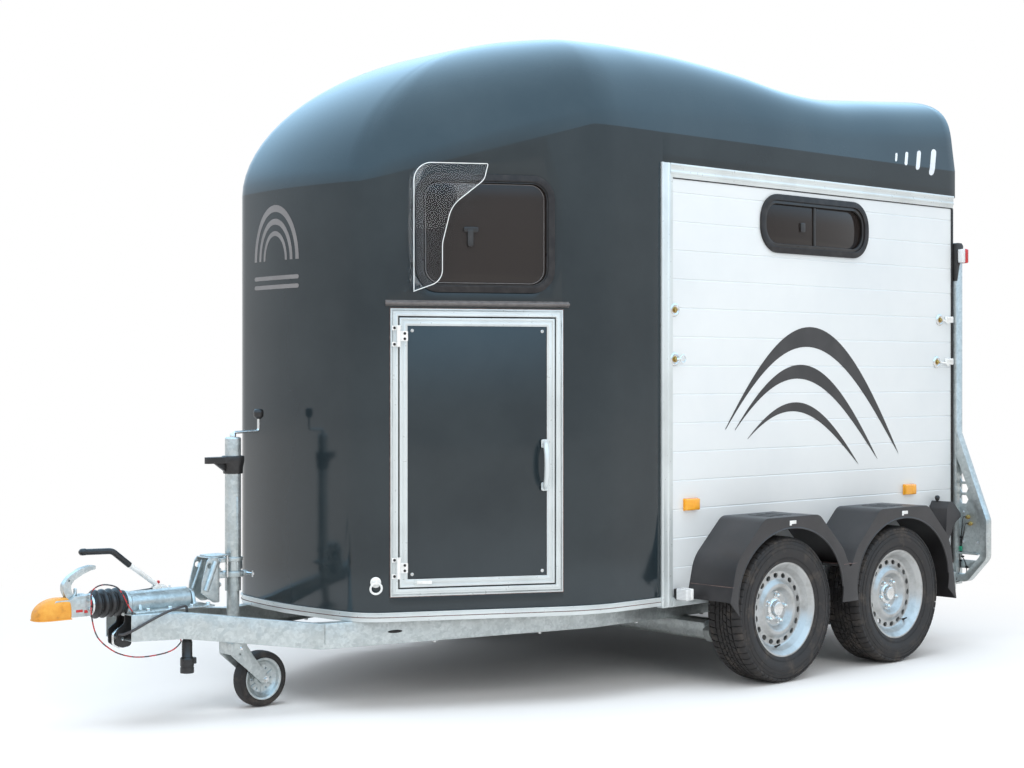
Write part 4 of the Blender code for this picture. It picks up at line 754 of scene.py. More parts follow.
# %% Plan of the nose and sections of the roof
SIDE_X = 0.83
NOSE_Y = -1.14
NOSE_ARC = 1.67
FACET_FRONT = Vector((0.4208, -1.087))
FACET_REAR = Vector((SIDE_X, -0.2895))
SIDE_FRONT_Y, SIDE_REAR_Y = 0.0835, 2.0905
SIDE_BOTTOM, SIDE_TOP = 0.331, 2.093
CREASE_FRONT, CREASE_SIDE = 1.975, 2.22
SHELL_BOTTOM = 0.3753
RIDGE = ((0.0835, 2.655), (0.4, 2.644), (0.75, 2.605), (1.05, 2.555), (1.35, 2.5365), (1.7, 2.5615), (2.1105, 2.596))
FULLNESS = ((-1.14, 1.8), (0.5, 3.12), (2.1105, 4.32))
SHELL = 0.022

facet_along = (FACET_REAR - FACET_FRONT).normalized()
facet_out = Vector((facet_along.y, -facet_along.x))
FACET = Matrix((
    (facet_along.x, 0, facet_out.x, FACET_FRONT.x), (facet_along.y, 0, facet_out.y, FACET_FRONT.y), (0, 1, 0, 0),
    (0, 0, 0, 1)))


def on_facet(along, up, out):
    """World point from distances along the facet, up, and outwards from it."""
    return FACET @ Vector((along, up, out))


def even(points, longest):
    """The same line with no run longer than given."""
    path = [points[0]]
    for a, b in zip(points, points[1:]):
        count = max(1, ceil((b - a).length / longest))
        path += [a.lerp(b, k / count) for k in range(1, count + 1)]
    return path


def through(table, y):
    """A smooth curve through a table's rows, level with them at the ends."""
    rows = [table[0]] + list(table) + [table[-1]]
    y = min(max(y, table[0][0]), table[-1][0])
    for (ya, a), (y0, z0), (y1, z1), (yb, b) in zip(rows, rows[1:], rows[2:], rows[3:]):
        if y <= y1:
            run = y1 - y0
            start = (z1 - a) / (y1 - ya) * run if y1 > ya else 0
            end = (b - z0) / (yb - y0) * run if yb > y0 else 0
            t = (y - y0) / run
            return (
                z0 * (
                    2 * t**3 - 3 * t**2 + 1
                ) + start * (t**3 - 2 * t**2 + t) + z1 * (3 * t**2 - 2 * t**3) + end * (t**3 - t**2))
    return table[-1][1]


arc = [(x, NOSE_Y + x * x / (2 * NOSE_ARC)) for x in (0, 0.06, 0.12, 0.18, 0.24, 0.29, 0.33)]
corners = arc + [tuple(FACET_FRONT), tuple(FACET_REAR), (SIDE_X, SIDE_FRONT_Y - 0.0003)]
plan = even(bent(corners, [0] * len(arc) + [0.18, 0.53, 0], 12), 0.07)


def crease_height(point):
    share = (point.y - FACET_FRONT.y) / (FACET_REAR.y - FACET_FRONT.y)
    return CREASE_FRONT + (CREASE_SIDE - CREASE_FRONT) * min(1.0, max(0.0, share))


ROOF_ROWS = 22
SIDE_LEAN = 0.017  # how far the roof's flank leans in at its fullest, so that the light breaks at the crease


def roof_column(foot, eave, ridge_y, fullness, lean):
    """Points from the crease up to the ridge, along a superellipse."""
    top = through(RIDGE, ridge_y)
    column = []
    for k in range(ROOF_ROWS + 1):
        angle = pi / 2 * k / ROOF_ROWS
        inward = 1 - max(0.0, cos(angle)) ** (2 / fullness)
        rise = sin(angle) ** (2 / fullness)
        flat = foot.lerp(Vector((0, ridge_y)), inward)
        leaned = max(0.0, flat.x - lean * 4 * rise * (1 - rise)) if flat.x > 0 else 0.0
        column.append(Vector((leaned, flat.y, eave + (top - eave) * rise)))
    return column


def nose_fullness(y):
    return through(FULLNESS, y)


roof_columns = []
for point in plan:
    lean = SIDE_LEAN * min(1.0, max(0.0, (point.y + 0.6) / 0.6))
    roof_columns.append(roof_column(point, crease_height(point), SIDE_FRONT_Y, nose_fullness(point.y), lean))
rear_ys = [SIDE_FRONT_Y + (2.1105 - SIDE_FRONT_Y) * k / 40 for k in range(1, 41)]
for y in rear_ys:
    roof_columns.append(roof_column(Vector((SIDE_X, y)), CREASE_SIDE, y, nose_fullness(y), SIDE_LEAN))
wall_columns = []
for point in plan:
    high = crease_height(point)
    wall_columns.append([Vector((point.x, point.y, SHELL_BOTTOM + (high - SHELL_BOTTOM) * k / 8)) for k in range(9)])
band_columns = []
for y in [plan[-1].y] + rear_ys:
    band_columns.append([
        Vector((SIDE_X, y, SIDE_TOP + 0.0003 + (CREASE_SIDE - SIDE_TOP - 0.0003) * k / 3)) for k in range(4)])
print(len(roof_columns), "columns of", ROOF_ROWS, "rows in half the roof")


# %% Moulding
def skin_from(name, columns):
    """A grid whose points are put on the given columns."""
    across, up = len(columns) - 1, len(columns[0]) - 1
    skin = grid(name, across, up)
    for vertex in skin.data.vertices:
        i = round((vertex.co.x + 0.5) * across)
        k = round((vertex.co.y + 0.5) * up)
        vertex.co = columns[i][k]
    return skin


half_skin = joined(
    "moulding", skin_from("wall", wall_columns), skin_from("band", band_columns), skin_from("roof", roof_columns))
weld(half_skin, 0.0005)
modify(half_skin, "MIRROR", use_axis=(True, False, False), use_clip=True, merge_threshold=0.0006)
weld(half_skin, 0.0002)
front_face = min(half_skin.data.polygons, key=lambda face: face.center.y)
if front_face.normal.y > 0:
    edited(half_skin, bpy.ops.mesh.flip_normals)
moulding = modify(half_skin, "SOLIDIFY", thickness=SHELL, offset=-1, use_even_offset=True, use_quality_normals=True)

DOOR_START, DOOR_WIDTH, DOOR_BOTTOM, DOOR_TOP = 0.0985, 0.661, 0.436, 1.5
NOSE_WINDOW = (0.1984, 0.7197, 1.575, 2.0)
for side in (Matrix.Identity(4), MIRROR):
    for outline in (
        rectangle(DOOR_START, DOOR_START + DOOR_WIDTH, DOOR_BOTTOM, DOOR_TOP), rectangle(*NOSE_WINDOW, 0.08)):
        hole = plate("hole", [outline], -0.08, 0.08, place=side @ FACET)
        cut_with(moulding, weld(hole))
soften(moulding, 0.0025, 2, angle=50, smooth=24)


def on_crease(edge):
    """Whether an edge lies on the crease of the outer skin."""
    for index in edge.vertices:
        spot = moulding.data.vertices[index].co
        target = crease_height(Vector((abs(spot.x), spot.y)))
        outer = abs(abs(spot.x) - SIDE_X) < 0.001 if spot.y > -0.1 else True
        if abs(spot.z - target) > 0.0015 or not outer:
            return False
    return True


for edge in filter(on_crease, moulding.data.edges):
    edge.use_edge_sharp = True
finished(moulding, slate, replaces=("nose_shell", "roof_shell"))
print("moulding", len(moulding.data.polygons), "faces")

# %% [markdown]
# ## Skirt, plank sides and their profiles
# An aluminium skirt hides the joint of moulding and floor. The sides are stacks of hollow planks with a V groove at
# each joint, so one section with all its grooves is drawn and extruded along the trailer; the window is cut out
# afterwards. A folded white profile frames each side, and a dark rubber strip closes it at the rear post.

# %% Skirt and plank sides
finished(from_cad("nose_skirt", "skirt_profile", 0.0012), profile_metal, replaces="nose_skirt")


def band_round_nose(name, low, high, inner, outer):
    """A band round the nose between two distances from its plan, out to both sides."""
    left = [Vector(point) for point in plan]
    path = [Vector((-p.x, p.y)) for p in reversed(left[1:])] + left
    rows = []
    for i, p in enumerate(path):
        a, b = path[max(0, i - 1)], path[min(len(path) - 1, i + 1)]
        out = Vector(((b - a).y, -(b - a).x)).normalized()
        rows.append((p + out * outer, p + out * inner))
    outline = [row[0] for row in rows] + [row[1] for row in reversed(rows)]
    return soften(plate(name, [outline], low, high), 0.0006, 1)


skirt_line = finished(band_round_nose("skirt_brown_line", 0.3555, 0.3585, 0.0015, 0.0048), brown_line)
skirt_lip = finished(band_round_nose("skirt_lip", 0.371, 0.3752, 0.0015, 0.0066), profile_metal)

PLANK_PITCH = 0.1152
PLANK_LINE = 1.294  # one of the grooves
SIDE_WINDOW = (0.6905, 1.4105, 1.785, 2.01)


def plank_section():
    """Section of a side wall in X and Z, a groove in its outer face at each joint."""
    section = [(SIDE_X - 0.03, SIDE_BOTTOM), (SIDE_X, SIDE_BOTTOM)]
    joints = [PLANK_LINE + PLANK_PITCH * k for k in range(-9, 8)]
    for z in joints:
        if SIDE_BOTTOM + 0.01 < z < SIDE_TOP - 0.01:
            section += [
                (SIDE_X, z - 0.0032), (SIDE_X - 0.0022, z - 0.0008), (SIDE_X - 0.0022, z + 0.0008),
                (SIDE_X, z + 0.0032)]
    return section + [(SIDE_X, SIDE_TOP), (SIDE_X - 0.03, SIDE_TOP)]


# FACING["Y"] lays an outline in X and Z and counts its thickness towards -Y
planks = plate("planks", [plank_section()], -SIDE_REAR_Y, -SIDE_FRONT_Y, "Y")
window_hole = plate("hole", [rectangle(*SIDE_WINDOW, 0.1, 12)], 0.7, 0.95, "X")
cut_with(planks, window_hole)
soften(planks, 0.0006, 1, smooth=20)
both_sides(planks, plank, replaces="side_left")


def along_y(name, section, y0, y1, edge=0.0008):
    """A profile with a section in X and Z, drawn along Y."""
    return soften(plate(name, [section], -y1, -y0, "Y"), edge, 2)


def upright(name, section, z0, z1, edge=0.0008):
    """A profile with a section in X and Y, standing from z0 to z1."""
    return soften(plate(name, [section], z0, z1, "Z"), edge, 2)


def beside(points):
    """Points of a section, their first number counted outwards from the side's face."""
    return [(SIDE_X + out, other) for out, other in points]


jamb_section = beside(mm([
    (0.3, 70), (10, 70), (11, 79), (7, 88), (7, 106), (9, 109), (9, 117), (5, 121), (4, 138), (0.3, 138)]))
head_section = beside(mm([
    (0.3, 2100), (10, 2100), (11, 2093), (7, 2085), (7, 2071), (9, 2068), (9, 2061), (5, 2057), (4, 2044), (0.3, 2044)
]))
front_jamb = upright("front_jamb", jamb_section, 0.336, 2.1)
head_profile = along_y("head_profile", head_section, 0.1215, 2.088)
foot_section = beside(mm([(0.3, 334), (6, 334), (7, 340), (7, 366), (5, 370), (0.3, 370)]))
foot_profile = along_y("foot_profile", foot_section, 0.1385, 2.088)
both_sides(joined("side_frame", front_jamb, head_profile, foot_profile), profile_metal)
line_section = beside(mm([(0.3, 2044), (2.6, 2044), (2.6, 2039.5), (0.3, 2039.5)]))
both_sides(along_y("head_seal", line_section, 0.139, 2.088, 0.0003), seal_rubber)
strip_section = beside(mm([(0.3, 2074), (5, 2075), (6, 2082), (4, 2090), (0.3, 2090.5)]))
both_sides(upright("rear_strip", strip_section, 0.372, 2.04), seal_rubber)
print("planks, frames and strips made")

# %% [markdown]
# ## Windows
# Each pane sits in a soft black rubber seal that overlaps the hole on both sides. The seal is a ring cut from a
# rounded rectangle, its edges well rounded. The nose windows open, so they have a latch near their middle. A thin
# black bead lies inside each seal, and a thin grey bead on each nose pane.

# %% Seals and panes
def seal_ring(name, box, radius, grow, shrink, low, high, place, edge, steps=12):
    """A ring round a rounded window."""
    left, right, bottom, top = box
    outer = rectangle(left - grow, right + grow, bottom - grow, top + grow, radius + grow, steps)
    inner = rectangle(left + shrink, right - shrink, bottom + shrink, top - shrink, radius - shrink, steps)
    return soften(plate(name, [outer, inner], low, high, place=place), edge, 3)


ACROSS_X = FACING["X"]
nose_seal = seal_ring("nose_window_seal", NOSE_WINDOW, 0.08, 0.01, 0.016, 0.0006, 0.008, FACET, 0.003)
nose_bead = seal_ring("nose_window_bead", NOSE_WINDOW, 0.08, -0.016, 0.021, -0.006, 0.0025, FACET, 0.001)
both_sides(nose_seal, seal_rubber)
both_sides(nose_bead, smooth_black)
side_seal = seal_ring(
    "side_window_seal", SIDE_WINDOW, 0.1, 0.012, 0.014, SIDE_X + 0.0006, SIDE_X + 0.01, ACROSS_X, 0.004)
side_bead = seal_ring(
    "side_window_bead", SIDE_WINDOW, 0.1, -0.014, 0.028, SIDE_X - 0.006, SIDE_X + 0.004, ACROSS_X, 0.002)
both_sides(side_seal, seal_rubber)
both_sides(side_bead, smooth_black)


def glass_pane(name, outline, low, high, place):
    return soften(plate(name, [outline], low, high, place=place), 0.0015)


start, end, sill, head = NOSE_WINDOW
pane_edge = rectangle(start + 0.0006, end - 0.0006, sill + 0.0006, head - 0.0006, 0.0794, 12)
both_sides(glass_pane("nose_pane", pane_edge, -0.021, -0.007, FACET), tinted_glass, replaces="nose_window_left")
front, rear, low, high = SIDE_WINDOW
pane_edge = rectangle(front + 0.0006, rear - 0.0006, low + 0.0006, high - 0.0006, 0.0994, 12)
both_sides(
    glass_pane("side_pane", pane_edge, SIDE_X - 0.023, SIDE_X - 0.009, ACROSS_X), tinted_glass,
    replaces="side_window_left")

middle = (start + end) / 2
catch_x, catch_z = middle - 0.055, (sill + head) / 2 - 0.01
latch_foot = soften(
    plate(
        "latch_foot", [rectangle(catch_x - 0.028, catch_x + 0.028, catch_z + 0.014, catch_z + 0.034, 0.006)], -0.0065,
        0.0005, place=FACET), 0.0015)
latch_stem = soften(
    plate(
        "latch_stem", [rectangle(catch_x - 0.014, catch_x + 0.008, catch_z - 0.04, catch_z + 0.024, 0.008)], -0.0068,
        0.0045, place=FACET), 0.002)
both_sides(joined("window_latch", latch_foot, latch_stem), smooth_black)
pane_bead = [
    on_facet(x, z, -0.0062) for x, z in rectangle(start + 0.03, end - 0.03, sill + 0.026, head - 0.026, 0.055, 10)]
both_sides(bar("pane_bead", pane_bead + pane_bead[:1], 0.001, 8), grey_film)
slider = soften(
    plate("slider", [rectangle(1.045, 1.06, low + 0.03, high - 0.03, 0.002)], SIDE_X - 0.0085, SIDE_X - 0.004, "X"),
    0.001)
knob = soften(
    plate(
        "slider_knob", [rectangle(0.955, 0.985, low + 0.085, low + 0.125, 0.006)], SIDE_X - 0.0086, SIDE_X - 0.001,
        "X"), 0.002)
both_sides(joined("window_slider", slider, knob), smooth_black)

# %% [markdown]
# ### Wind deflector
# A clear acrylic shield with a curved free edge keeps the draught off the open window. It is a flat face with a
# folded rim, and a thin white bead along its edges is a painted highlight where the cut acrylic edge catches the
# light.

# %% Wind deflector
shield_front, shield_top, shield_depth, shield_skin = start - 0.025, head + 0.045, 0.045, 0.004
shield_low = sill - 0.01
shield_end = start + 0.26
free_edge = [
    (shield_end, shield_top), (shield_end - 0.015, shield_top - 0.06), (start + 0.12, shield_top - 0.16),
    (start + 0.085, shield_top - 0.3), (start + 0.085, sill + 0.03), (shield_front, shield_low)]
lens = rounded([(shield_front, shield_top)] + free_edge, [0.07, 0, 0.045, 0.12, 0.12, 0.06, 0], steps=12)
shield_face = plate("acrylic_deflector", [lens], shield_depth - shield_skin, shield_depth, place=FACET)
outer = bent([(shield_front, shield_low), (shield_front, shield_top), (shield_end, shield_top)], [0, 0.07, 0], 12)
inner = bent(
    [
        (shield_front + shield_skin, shield_low), (shield_front + shield_skin, shield_top - shield_skin),
        (shield_end, shield_top - shield_skin)], [0, 0.066, 0], 12)
shield_rim = plate("shield_rim", [outer + inner[::-1]], 0.0006, shield_depth - shield_skin / 2, place=FACET)
cut_with(shield_face, shield_rim, operation="UNION")
both_sides(soften(weld(shield_face), 0.0012, 2), acrylic, replaces="wind_deflector_left")
# A thin white bar along the shield's edges: a painted highlight of the bright cut acrylic edge.
edge_highlight_line = bent(
    [(shield_front + 0.002, shield_low + 0.004), (shield_front + 0.002, shield_top - 0.002)] + free_edge,
    mm([0, 68, 4, 45, 120, 120, 60, 0]), 10)
edge_highlight_path = [on_facet(x, z, shield_depth - 0.001) for x, z in edge_highlight_line]
both_sides(bar("deflector_edge_highlight", edge_highlight_path, 0.0017, 8), white_plastic)
foot_tabs = [
    soften(
        plate("tab", [rectangle(x - 0.012, x + 0.012, z - 0.012, z + 0.012, 0.004)], 0.0003, 0.0045, place=FACET),
        0.0012) for x, z in ((shield_front + 0.016, shield_low + 0.1), (shield_front + 0.016, shield_top - 0.16))]
both_sides(joined("deflector_tabs", *foot_tabs), smooth_black)
print("windows glazed")

# %% [markdown]
# ## Tack doors
# A door frame of two-step aluminium profile is screwed into the moulding, and the leaf is a slate panel in a rim of
# the same profile. The rings are cut from rectangles; a bevel rounds their edges, and a rubber seal fills the gap.
# The leaf, its hinge leaves, handle and latch ride on the door, so they swing with it.

# %% Door frame and leaf
DOOR_FRAME, DOOR_PROUD, LEAF_RIM, LEAF_THICKNESS, DOOR_GAP = 0.025, 0.008, 0.026, 0.026, 0.006
door_left_edge, door_right_edge = DOOR_START, DOOR_START + DOOR_WIDTH
opening = (door_left_edge + DOOR_FRAME, door_right_edge - DOOR_FRAME, DOOR_BOTTOM + DOOR_FRAME, DOOR_TOP - DOOR_FRAME)


def grown(box, by):
    return (box[0] - by, box[1] + by, box[2] - by, box[3] + by)


def facet_ring(name, outer, inner, low, high, edge=0.001, radius=0.0):
    rings = [rectangle(*outer, radius), rectangle(*inner, 0.0)]
    return soften(plate(name, rings, low, high, place=FACET), edge, 2)


door_box = (door_left_edge, door_right_edge, DOOR_BOTTOM, DOOR_TOP)
casing = facet_ring("casing", grown(door_box, -0.0002), opening, -0.022, 0.0048, 0.0008)
flange = facet_ring("flange", grown(door_box, 0.003), grown(door_box, -0.008), 0.0004, 0.0048, 0.0012)
step = facet_ring("step", grown(opening, 0.011), opening, 0.003, DOOR_PROUD, 0.0014)
both_sides(joined("door_casing", casing, flange, step), profile_metal, replaces="door_frame_left")
bead = facet_ring("casing_sealant", grown(door_box, 0.0055), grown(door_box, 0.0025), 0.0002, 0.0032, 0.0006)
both_sides(bead, brown_line)
gap_seal = facet_ring(
    "door_seal", grown(opening, -0.0003), grown(opening, -DOOR_GAP + 0.0007), -0.012, 0.0005, 0.0015)
both_sides(gap_seal, seal_rubber)

leaf_box = grown(opening, -DOOR_GAP)
leaf_inner = grown(leaf_box, -LEAF_RIM)
leaf_base = facet_ring("leaf_base", leaf_box, grown(leaf_inner, -0.004), DOOR_PROUD - LEAF_THICKNESS, 0.0052, 0.001)
leaf_outer_step = facet_ring("leaf_outer_step", leaf_box, grown(leaf_box, -0.009), 0.004, DOOR_PROUD, 0.0014)
leaf_inner_step = facet_ring(
    "leaf_inner_step", grown(leaf_inner, 0.01), leaf_inner, 0.004, DOOR_PROUD - 0.0004, 0.0014)
door_rim = joined("door_rim", leaf_base, leaf_outer_step, leaf_inner_step)
both_sides(door_rim, profile_metal, "door_left", replaces="door_left")
panel_face = plate("door_panel", [rectangle(*grown(leaf_inner, 0.004))], -0.012, 0.002, place=FACET)
both_sides(soften(panel_face, 0.0008), slate, "door_left")
panel_line = facet_ring("panel_seal", grown(leaf_inner, 0.0005), grown(leaf_inner, -0.0045), 0.002, 0.0036, 0.0006)
both_sides(panel_line, brown_line, "door_left")

screws = []
left, right, bottom, top = leaf_inner
for x in (left + 0.022, right - 0.022):
    for z in (bottom + 0.022, top - 0.022):
        screws.append(on_facet(x, z, 0.002))
both_sides(fastener("panel_screws", screws, facet_out.to_3d(), 0.0042, 0.0024, 12), plated, "door_left")

# %% [markdown]
# ### Hinges, handle and latches of the door
# The hinges have folded white leaves with dark screws round a pin. The handle is a white bow, thicker in its middle
# on the real one; here it is a round bar of one thickness along a path. A flat over-centre latch holds the leaf at its
# bottom corner.

# %% Door fittings
HINGE_HEIGHTS = (0.54, 1.4)
hinge_line, hinge_out, knuckle = opening[0], DOOR_PROUD + 0.009, 0.008
outward = facet_out.to_3d()
moving, fixed, moving_screws, fixed_screws = [], [], [], []
for height in HINGE_HEIGHTS:
    low, high = height - 0.02, height + 0.02
    spot = on_facet(hinge_line, 0, hinge_out)
    moving.append(turned(
        "knuckle",
        [(0, low), (0.0072, low), (knuckle, low + 0.001), (knuckle, high - 0.001), (0.0072, high), (0, high)], spot,
        steps=24))
    moving.append(soften(
        plate(
            "hinge_leaf", [rectangle(hinge_line + 0.002, hinge_line + 0.036, low + 0.001, high - 0.001, 0.003)],
            0.006, 0.0125, place=FACET), 0.001))
    moving_screws += [on_facet(hinge_line + 0.024, z, 0.0125) for z in (low + 0.01, high - 0.01)]
    for z0, z1 in ((low - 0.02, low - 0.0004), (high + 0.0004, high + 0.02)):
        fixed.append(turned(
            "knuckle", [(0, z0), (0.0072, z0), (knuckle, z0 + 0.001), (knuckle, z1 - 0.001), (0.0072, z1), (0, z1)],
            spot, steps=24))
        fixed.append(soften(
            plate(
                "hinge_leaf", [rectangle(hinge_line - 0.024, hinge_line - 0.002, z0 + 0.001, z1 - 0.001, 0.002)],
                0.006, 0.0122, place=FACET), 0.001))
        fixed_screws.append(on_facet(hinge_line - 0.015, (z0 + z1) / 2, 0.0122))
both_sides(joined("hinge_moving", *moving), white_plastic, "door_left")
both_sides(joined("hinge_fixed", *fixed), white_plastic)
both_sides(fastener("hinge_screws", moving_screws, outward, 0.0034, 0.0016, 12), seal_rubber, "door_left")
both_sides(fastener("hinge_fixed_screws", fixed_screws, outward, 0.0034, 0.0016, 12), seal_rubber)

grip_x = leaf_inner[1] - 0.014
grip_points = [
    on_facet(grip_x, z, out) for z,
    out in (
        (0.83, 0.008), (0.842, 0.026), (0.87, 0.038), (0.915, 0.0425), (0.96, 0.038), (0.988, 0.026), (1.0, 0.008))]
grip = bar("door_grip", smooth_route(grip_points, 6), 0.0105, 20)
feet = [
    soften(
        plate(
            "grip_foot", [rectangle(grip_x - 0.014, grip_x + 0.014, z - 0.016, z + 0.016, 0.006)], 0.0075, 0.0125,
            place=FACET), 0.0015) for z in (0.834, 0.996)]
both_sides(joined("door_handle", grip, *feet), profile_metal, "door_left")

catch_x, catch_z = leaf_box[0] + 0.085, leaf_box[2] + 0.018
catch_plate = soften(
    plate(
        "door_catch", [rectangle(catch_x - 0.03, catch_x + 0.03, catch_z - 0.012, catch_z + 0.012, 0.004)], 0.0075,
        0.0105, place=FACET), 0.0008)
catch_tongue = soften(
    plate(
        "door_catch_tongue", [rectangle(catch_x - 0.022, catch_x + 0.036, catch_z - 0.006, catch_z + 0.006, 0.004)],
        0.01, 0.0165, place=FACET), 0.0015)
both_sides(catch_plate, profile_metal, "door_left")
both_sides(catch_tongue, white_plastic, "door_left")
facet_turn = FACET.to_3x3().to_4x4()


def on_facet_spun(name, profile, x, z, out, steps=32):
    """A small turned piece whose axis stands out from the facet."""
    piece = spun(name, profile, steps=steps)
    piece.data.transform(Matrix.Translation(on_facet(x, z, out)) @ facet_turn)
    return soften(piece, 0)

# %% [markdown]
# ### Gutter and tie ring
# A rain gutter runs over the door, a little wider than the frame. A tie ring on a small plate sits low on the front
# corner.

# %% Gutter and tie ring
gutter_section = mm([
    (0.4, 1512), (4, 1512), (18, 1519), (20, 1526), (17.5, 1528), (15.5, 1521.5), (4, 1517), (4, 1534), (0.4, 1534)])
gutter_reach = (door_left_edge - 0.022, door_right_edge + 0.026)
gutter_turn = FACET @ Matrix(((0, 0, 1, 0), (0, 1, 0, 0), (1, 0, 0, 0), (0, 0, 0, 1)))
gutter = soften(weld(plate("rain_gutter", [gutter_section], *gutter_reach, place=gutter_turn)), 0.0006, 1)
both_sides(gutter, weathered)
ring_x, ring_z = 0.04, 0.485
select_nothing()
bpy.ops.mesh.primitive_torus_add(major_radius=0.021, minor_radius=0.0042, major_segments=40, minor_segments=12)
tie_ring = bpy.context.object
tie_ring.data.transform(
    FACET @ Matrix.Translation((ring_x, ring_z - 0.018, 0.0105)) @ Matrix.Rotation(radians(14), 4, "X"))
tie_ring = soften(settle(tie_ring), 0)
tie_base = on_facet_spun(
    "tie_base", mm([(0, 0), (20, 0), (20, 3), (13, 7), (9, 13), (7, 20), (0, 21)]), ring_x, ring_z + 0.004, 0.0004)
both_sides(joined("tie_ring", tie_ring, tie_base), white_plastic)
print("doors, gutter and tie rings made")

# %% [markdown]
# ## Wheels
# A pressed steel rim is a turned section with a ring of oval vents, five bolts and a dust cap. The tyre is a turned
# carcass with separate tread blocks: one pitch of the tread is laid out flat, repeated by an Array modifier along the
# road, and then wrapped round the carcass. Both are made once, and each wheel gets its own copy.

# %% Rim
WHEEL_X, AXLE_Z = 0.9425, 0.298
AXLES = {"front": 0.6105, "rear": 1.3815}
TYRE_RADIUS = 0.298
face_line = bent(
    mm([(37, 22), (71, 22), (89, 49), (104, 50), (121, 37), (153, 34), (169, 61), (186, 78), (194.5, 78), (195, 74)]),
    mm([0, 10, 12, 12, 12, 10, 20, 6, 2, 0]), 5)
back_line = bent(
    mm([
        (179, 66), (164, 48), (164, -30), (179, -66), (194.5, -72), (193, -79), (186, -78), (172, -62), (158, -32),
        (155, 24), (120, 27), (101, 40), (89, 38), (66, 13), (45, 4), (45, -30), (24.5, -30), (24.5, 14)]),
    mm([0, 10, 10, 6, 2, 2, 4, 20, 20, 6, 10, 10, 6, 10, 0, 0, 0, 0]), 3)
rim_section = face_line + back_line
rim = spun("rim", rim_section + [(0.037, 0.014)], steps=96, closed=True)
RIM_VENTS, VENT_RADIUS, WHEEL_BOLTS, BOLT_RADIUS = 18, 0.1372, 5, 0.056
oval = [(0.0135 * cos(t), 0.0102 * sin(t)) for t in [2 * pi * k / 20 for k in range(20)]]
vents = []
for i in range(RIM_VENTS):
    vent = plate("vent", [oval], -0.01, 0.06)
    vent.data.transform(
        Matrix.Rotation(
            2 * pi * (i + 0.5) / RIM_VENTS, 4, "Z"
        ) @ Matrix.Translation((VENT_RADIUS, 0, 0)) @ Matrix.Rotation(pi / 2, 4, "Z"))
    vents.append(vent)
cut_with(rim, joined("vents", *vents))
soften(rim, 0.0006, 2, angle=40, smooth=32)

hub = turned(
    "hub", mm([(0, 48), (20, 47.5), (28, 45), (31, 39), (31.5, 28), (36, 24.5), (44.5, 24.2), (44.5, 21), (0, 21)]))
wheel_bolts = [(x, y, 0.022) for x, y in ring_of(WHEEL_BOLTS, BOLT_RADIUS, start=0.3)]
bolt_heads = fastener("wheel_bolts", wheel_bolts, (0, 0, 1), 0.0098, 0.015)
cones = [
    turned("bolt_top", mm([(0, 44.5), (4.5, 44), (6.5, 41), (8.5, 38), (0, 38)]), (x, y, -0.001), steps=20) for x, y,
    _ in wheel_bolts]
hub_parts = joined("hub_and_bolts", hub, bolt_heads, *cones)
valve = turned("valve", mm([(0, 34), (3.2, 34), (3.6, 18), (5.5, 6), (6.8, -2), (0, -2)]), steps=16)
valve.data.transform(
    Matrix.Rotation(radians(200), 4, "Z") @ Matrix.Translation((0.16, 0, 0.034)) @ Matrix.Rotation(
        radians(-28), 4, "Y"))
print("rim", len(rim.data.polygons), "faces")

# %% Tyre
carcass_line = bent(
    mm([
        (193, 80), (203, 83.5), (236, 91.5), (258, 90.5), (279.5, 85.5), (289, 70), (290.5, 30), (290.5, -30),
        (289, -70), (279.5, -85.5), (258, -90.5), (236, -91.5), (203, -83.5), (193, -80)]),
    mm([0, 10, 50, 40, 12, 20, 20, 20, 20, 12, 40, 50, 10, 0]), 5)
bead_line = mm([(195.5, -74.3), (179.5, -66.3), (179.5, 66.3), (195.5, 74.3)])
carcass = spun("carcass", carcass_line + bead_line, steps=96, closed=True)
rings = []
for radius, across in ((0.2075, 0.0848), (0.2115, 0.0862), (0.25, 0.0915), (0.2665, 0.0895)):
    for side in (1, -1):
        section = [
            (radius - 0.0011, side * (across - 0.0015)), (radius - 0.0004, side * (across + 0.0008)),
            (radius + 0.0004, side * (across + 0.0008)), (radius + 0.0011, side * (across - 0.0015))]
        rings.append(spun("sidewall_ring", section, steps=96, closed=True))

PITCHES = 62
PITCH = 2 * pi * TYRE_RADIUS / PITCHES
TREAD_BASE, SHOULDER_START, SHOULDER_FALL = 0.2902, 0.062, 16.0  # radius, and how the shoulder drops from there
gap = 0.0042
blocks = []
for side in (1, -1):
    for x0, x1, skew0, skew1, shift in (
        (0.002, 0.0155, 0.0, 0.007, 0.0), (0.0205, 0.038, 0.008, 0.015, 0.01), (0.043, 0.086, 0.016, 0.012, 0.003)):
        corners = [
            (side * x0, skew0 + shift), (side * x1, skew1 + shift), (side * x1, skew1 + shift + PITCH - gap),
            (side * x0, skew0 + shift + PITCH - gap)]
        if side < 0:
            corners = [(x, y + PITCH / 2) for x, y in corners]
        blocks.append(plate("tread_block", [corners], 0, 0.0078))
    blocks.append(plate(
        "sipe_rib", [[(side * 0.056, 0.015), (side * 0.086, 0.012), (side * 0.086, 0.0135), (side * 0.056, 0.0165)]],
        0, 0.007))
tread = joined("tread", *blocks)
for place in (0.066, 0.078, -0.066, -0.078):
    edited(tread, bpy.ops.mesh.bisect, plane_co=(place, 0, 0), plane_no=(1, 0, 0))
modify(tread, "BEVEL", width=0.0008, segments=1, limit_method="ANGLE", angle_limit=radians(50))
modify(
    tread, "ARRAY", count=PITCHES, use_relative_offset=False, use_constant_offset=True,
    constant_offset_displace=(0, PITCH, 0))
for vertex in tread.data.vertices:
    across, along, up = vertex.co
    beyond = max(0.0, abs(across) - SHOULDER_START)
    radius = TREAD_BASE + up - 0.0004 * abs(across) / 0.06 - SHOULDER_FALL * beyond * beyond
    turn = along / TYRE_RADIUS
    vertex.co = (radius * cos(turn), radius * sin(turn), across)
tread = soften(weld(tread, 0.00001), 0, smooth=30)
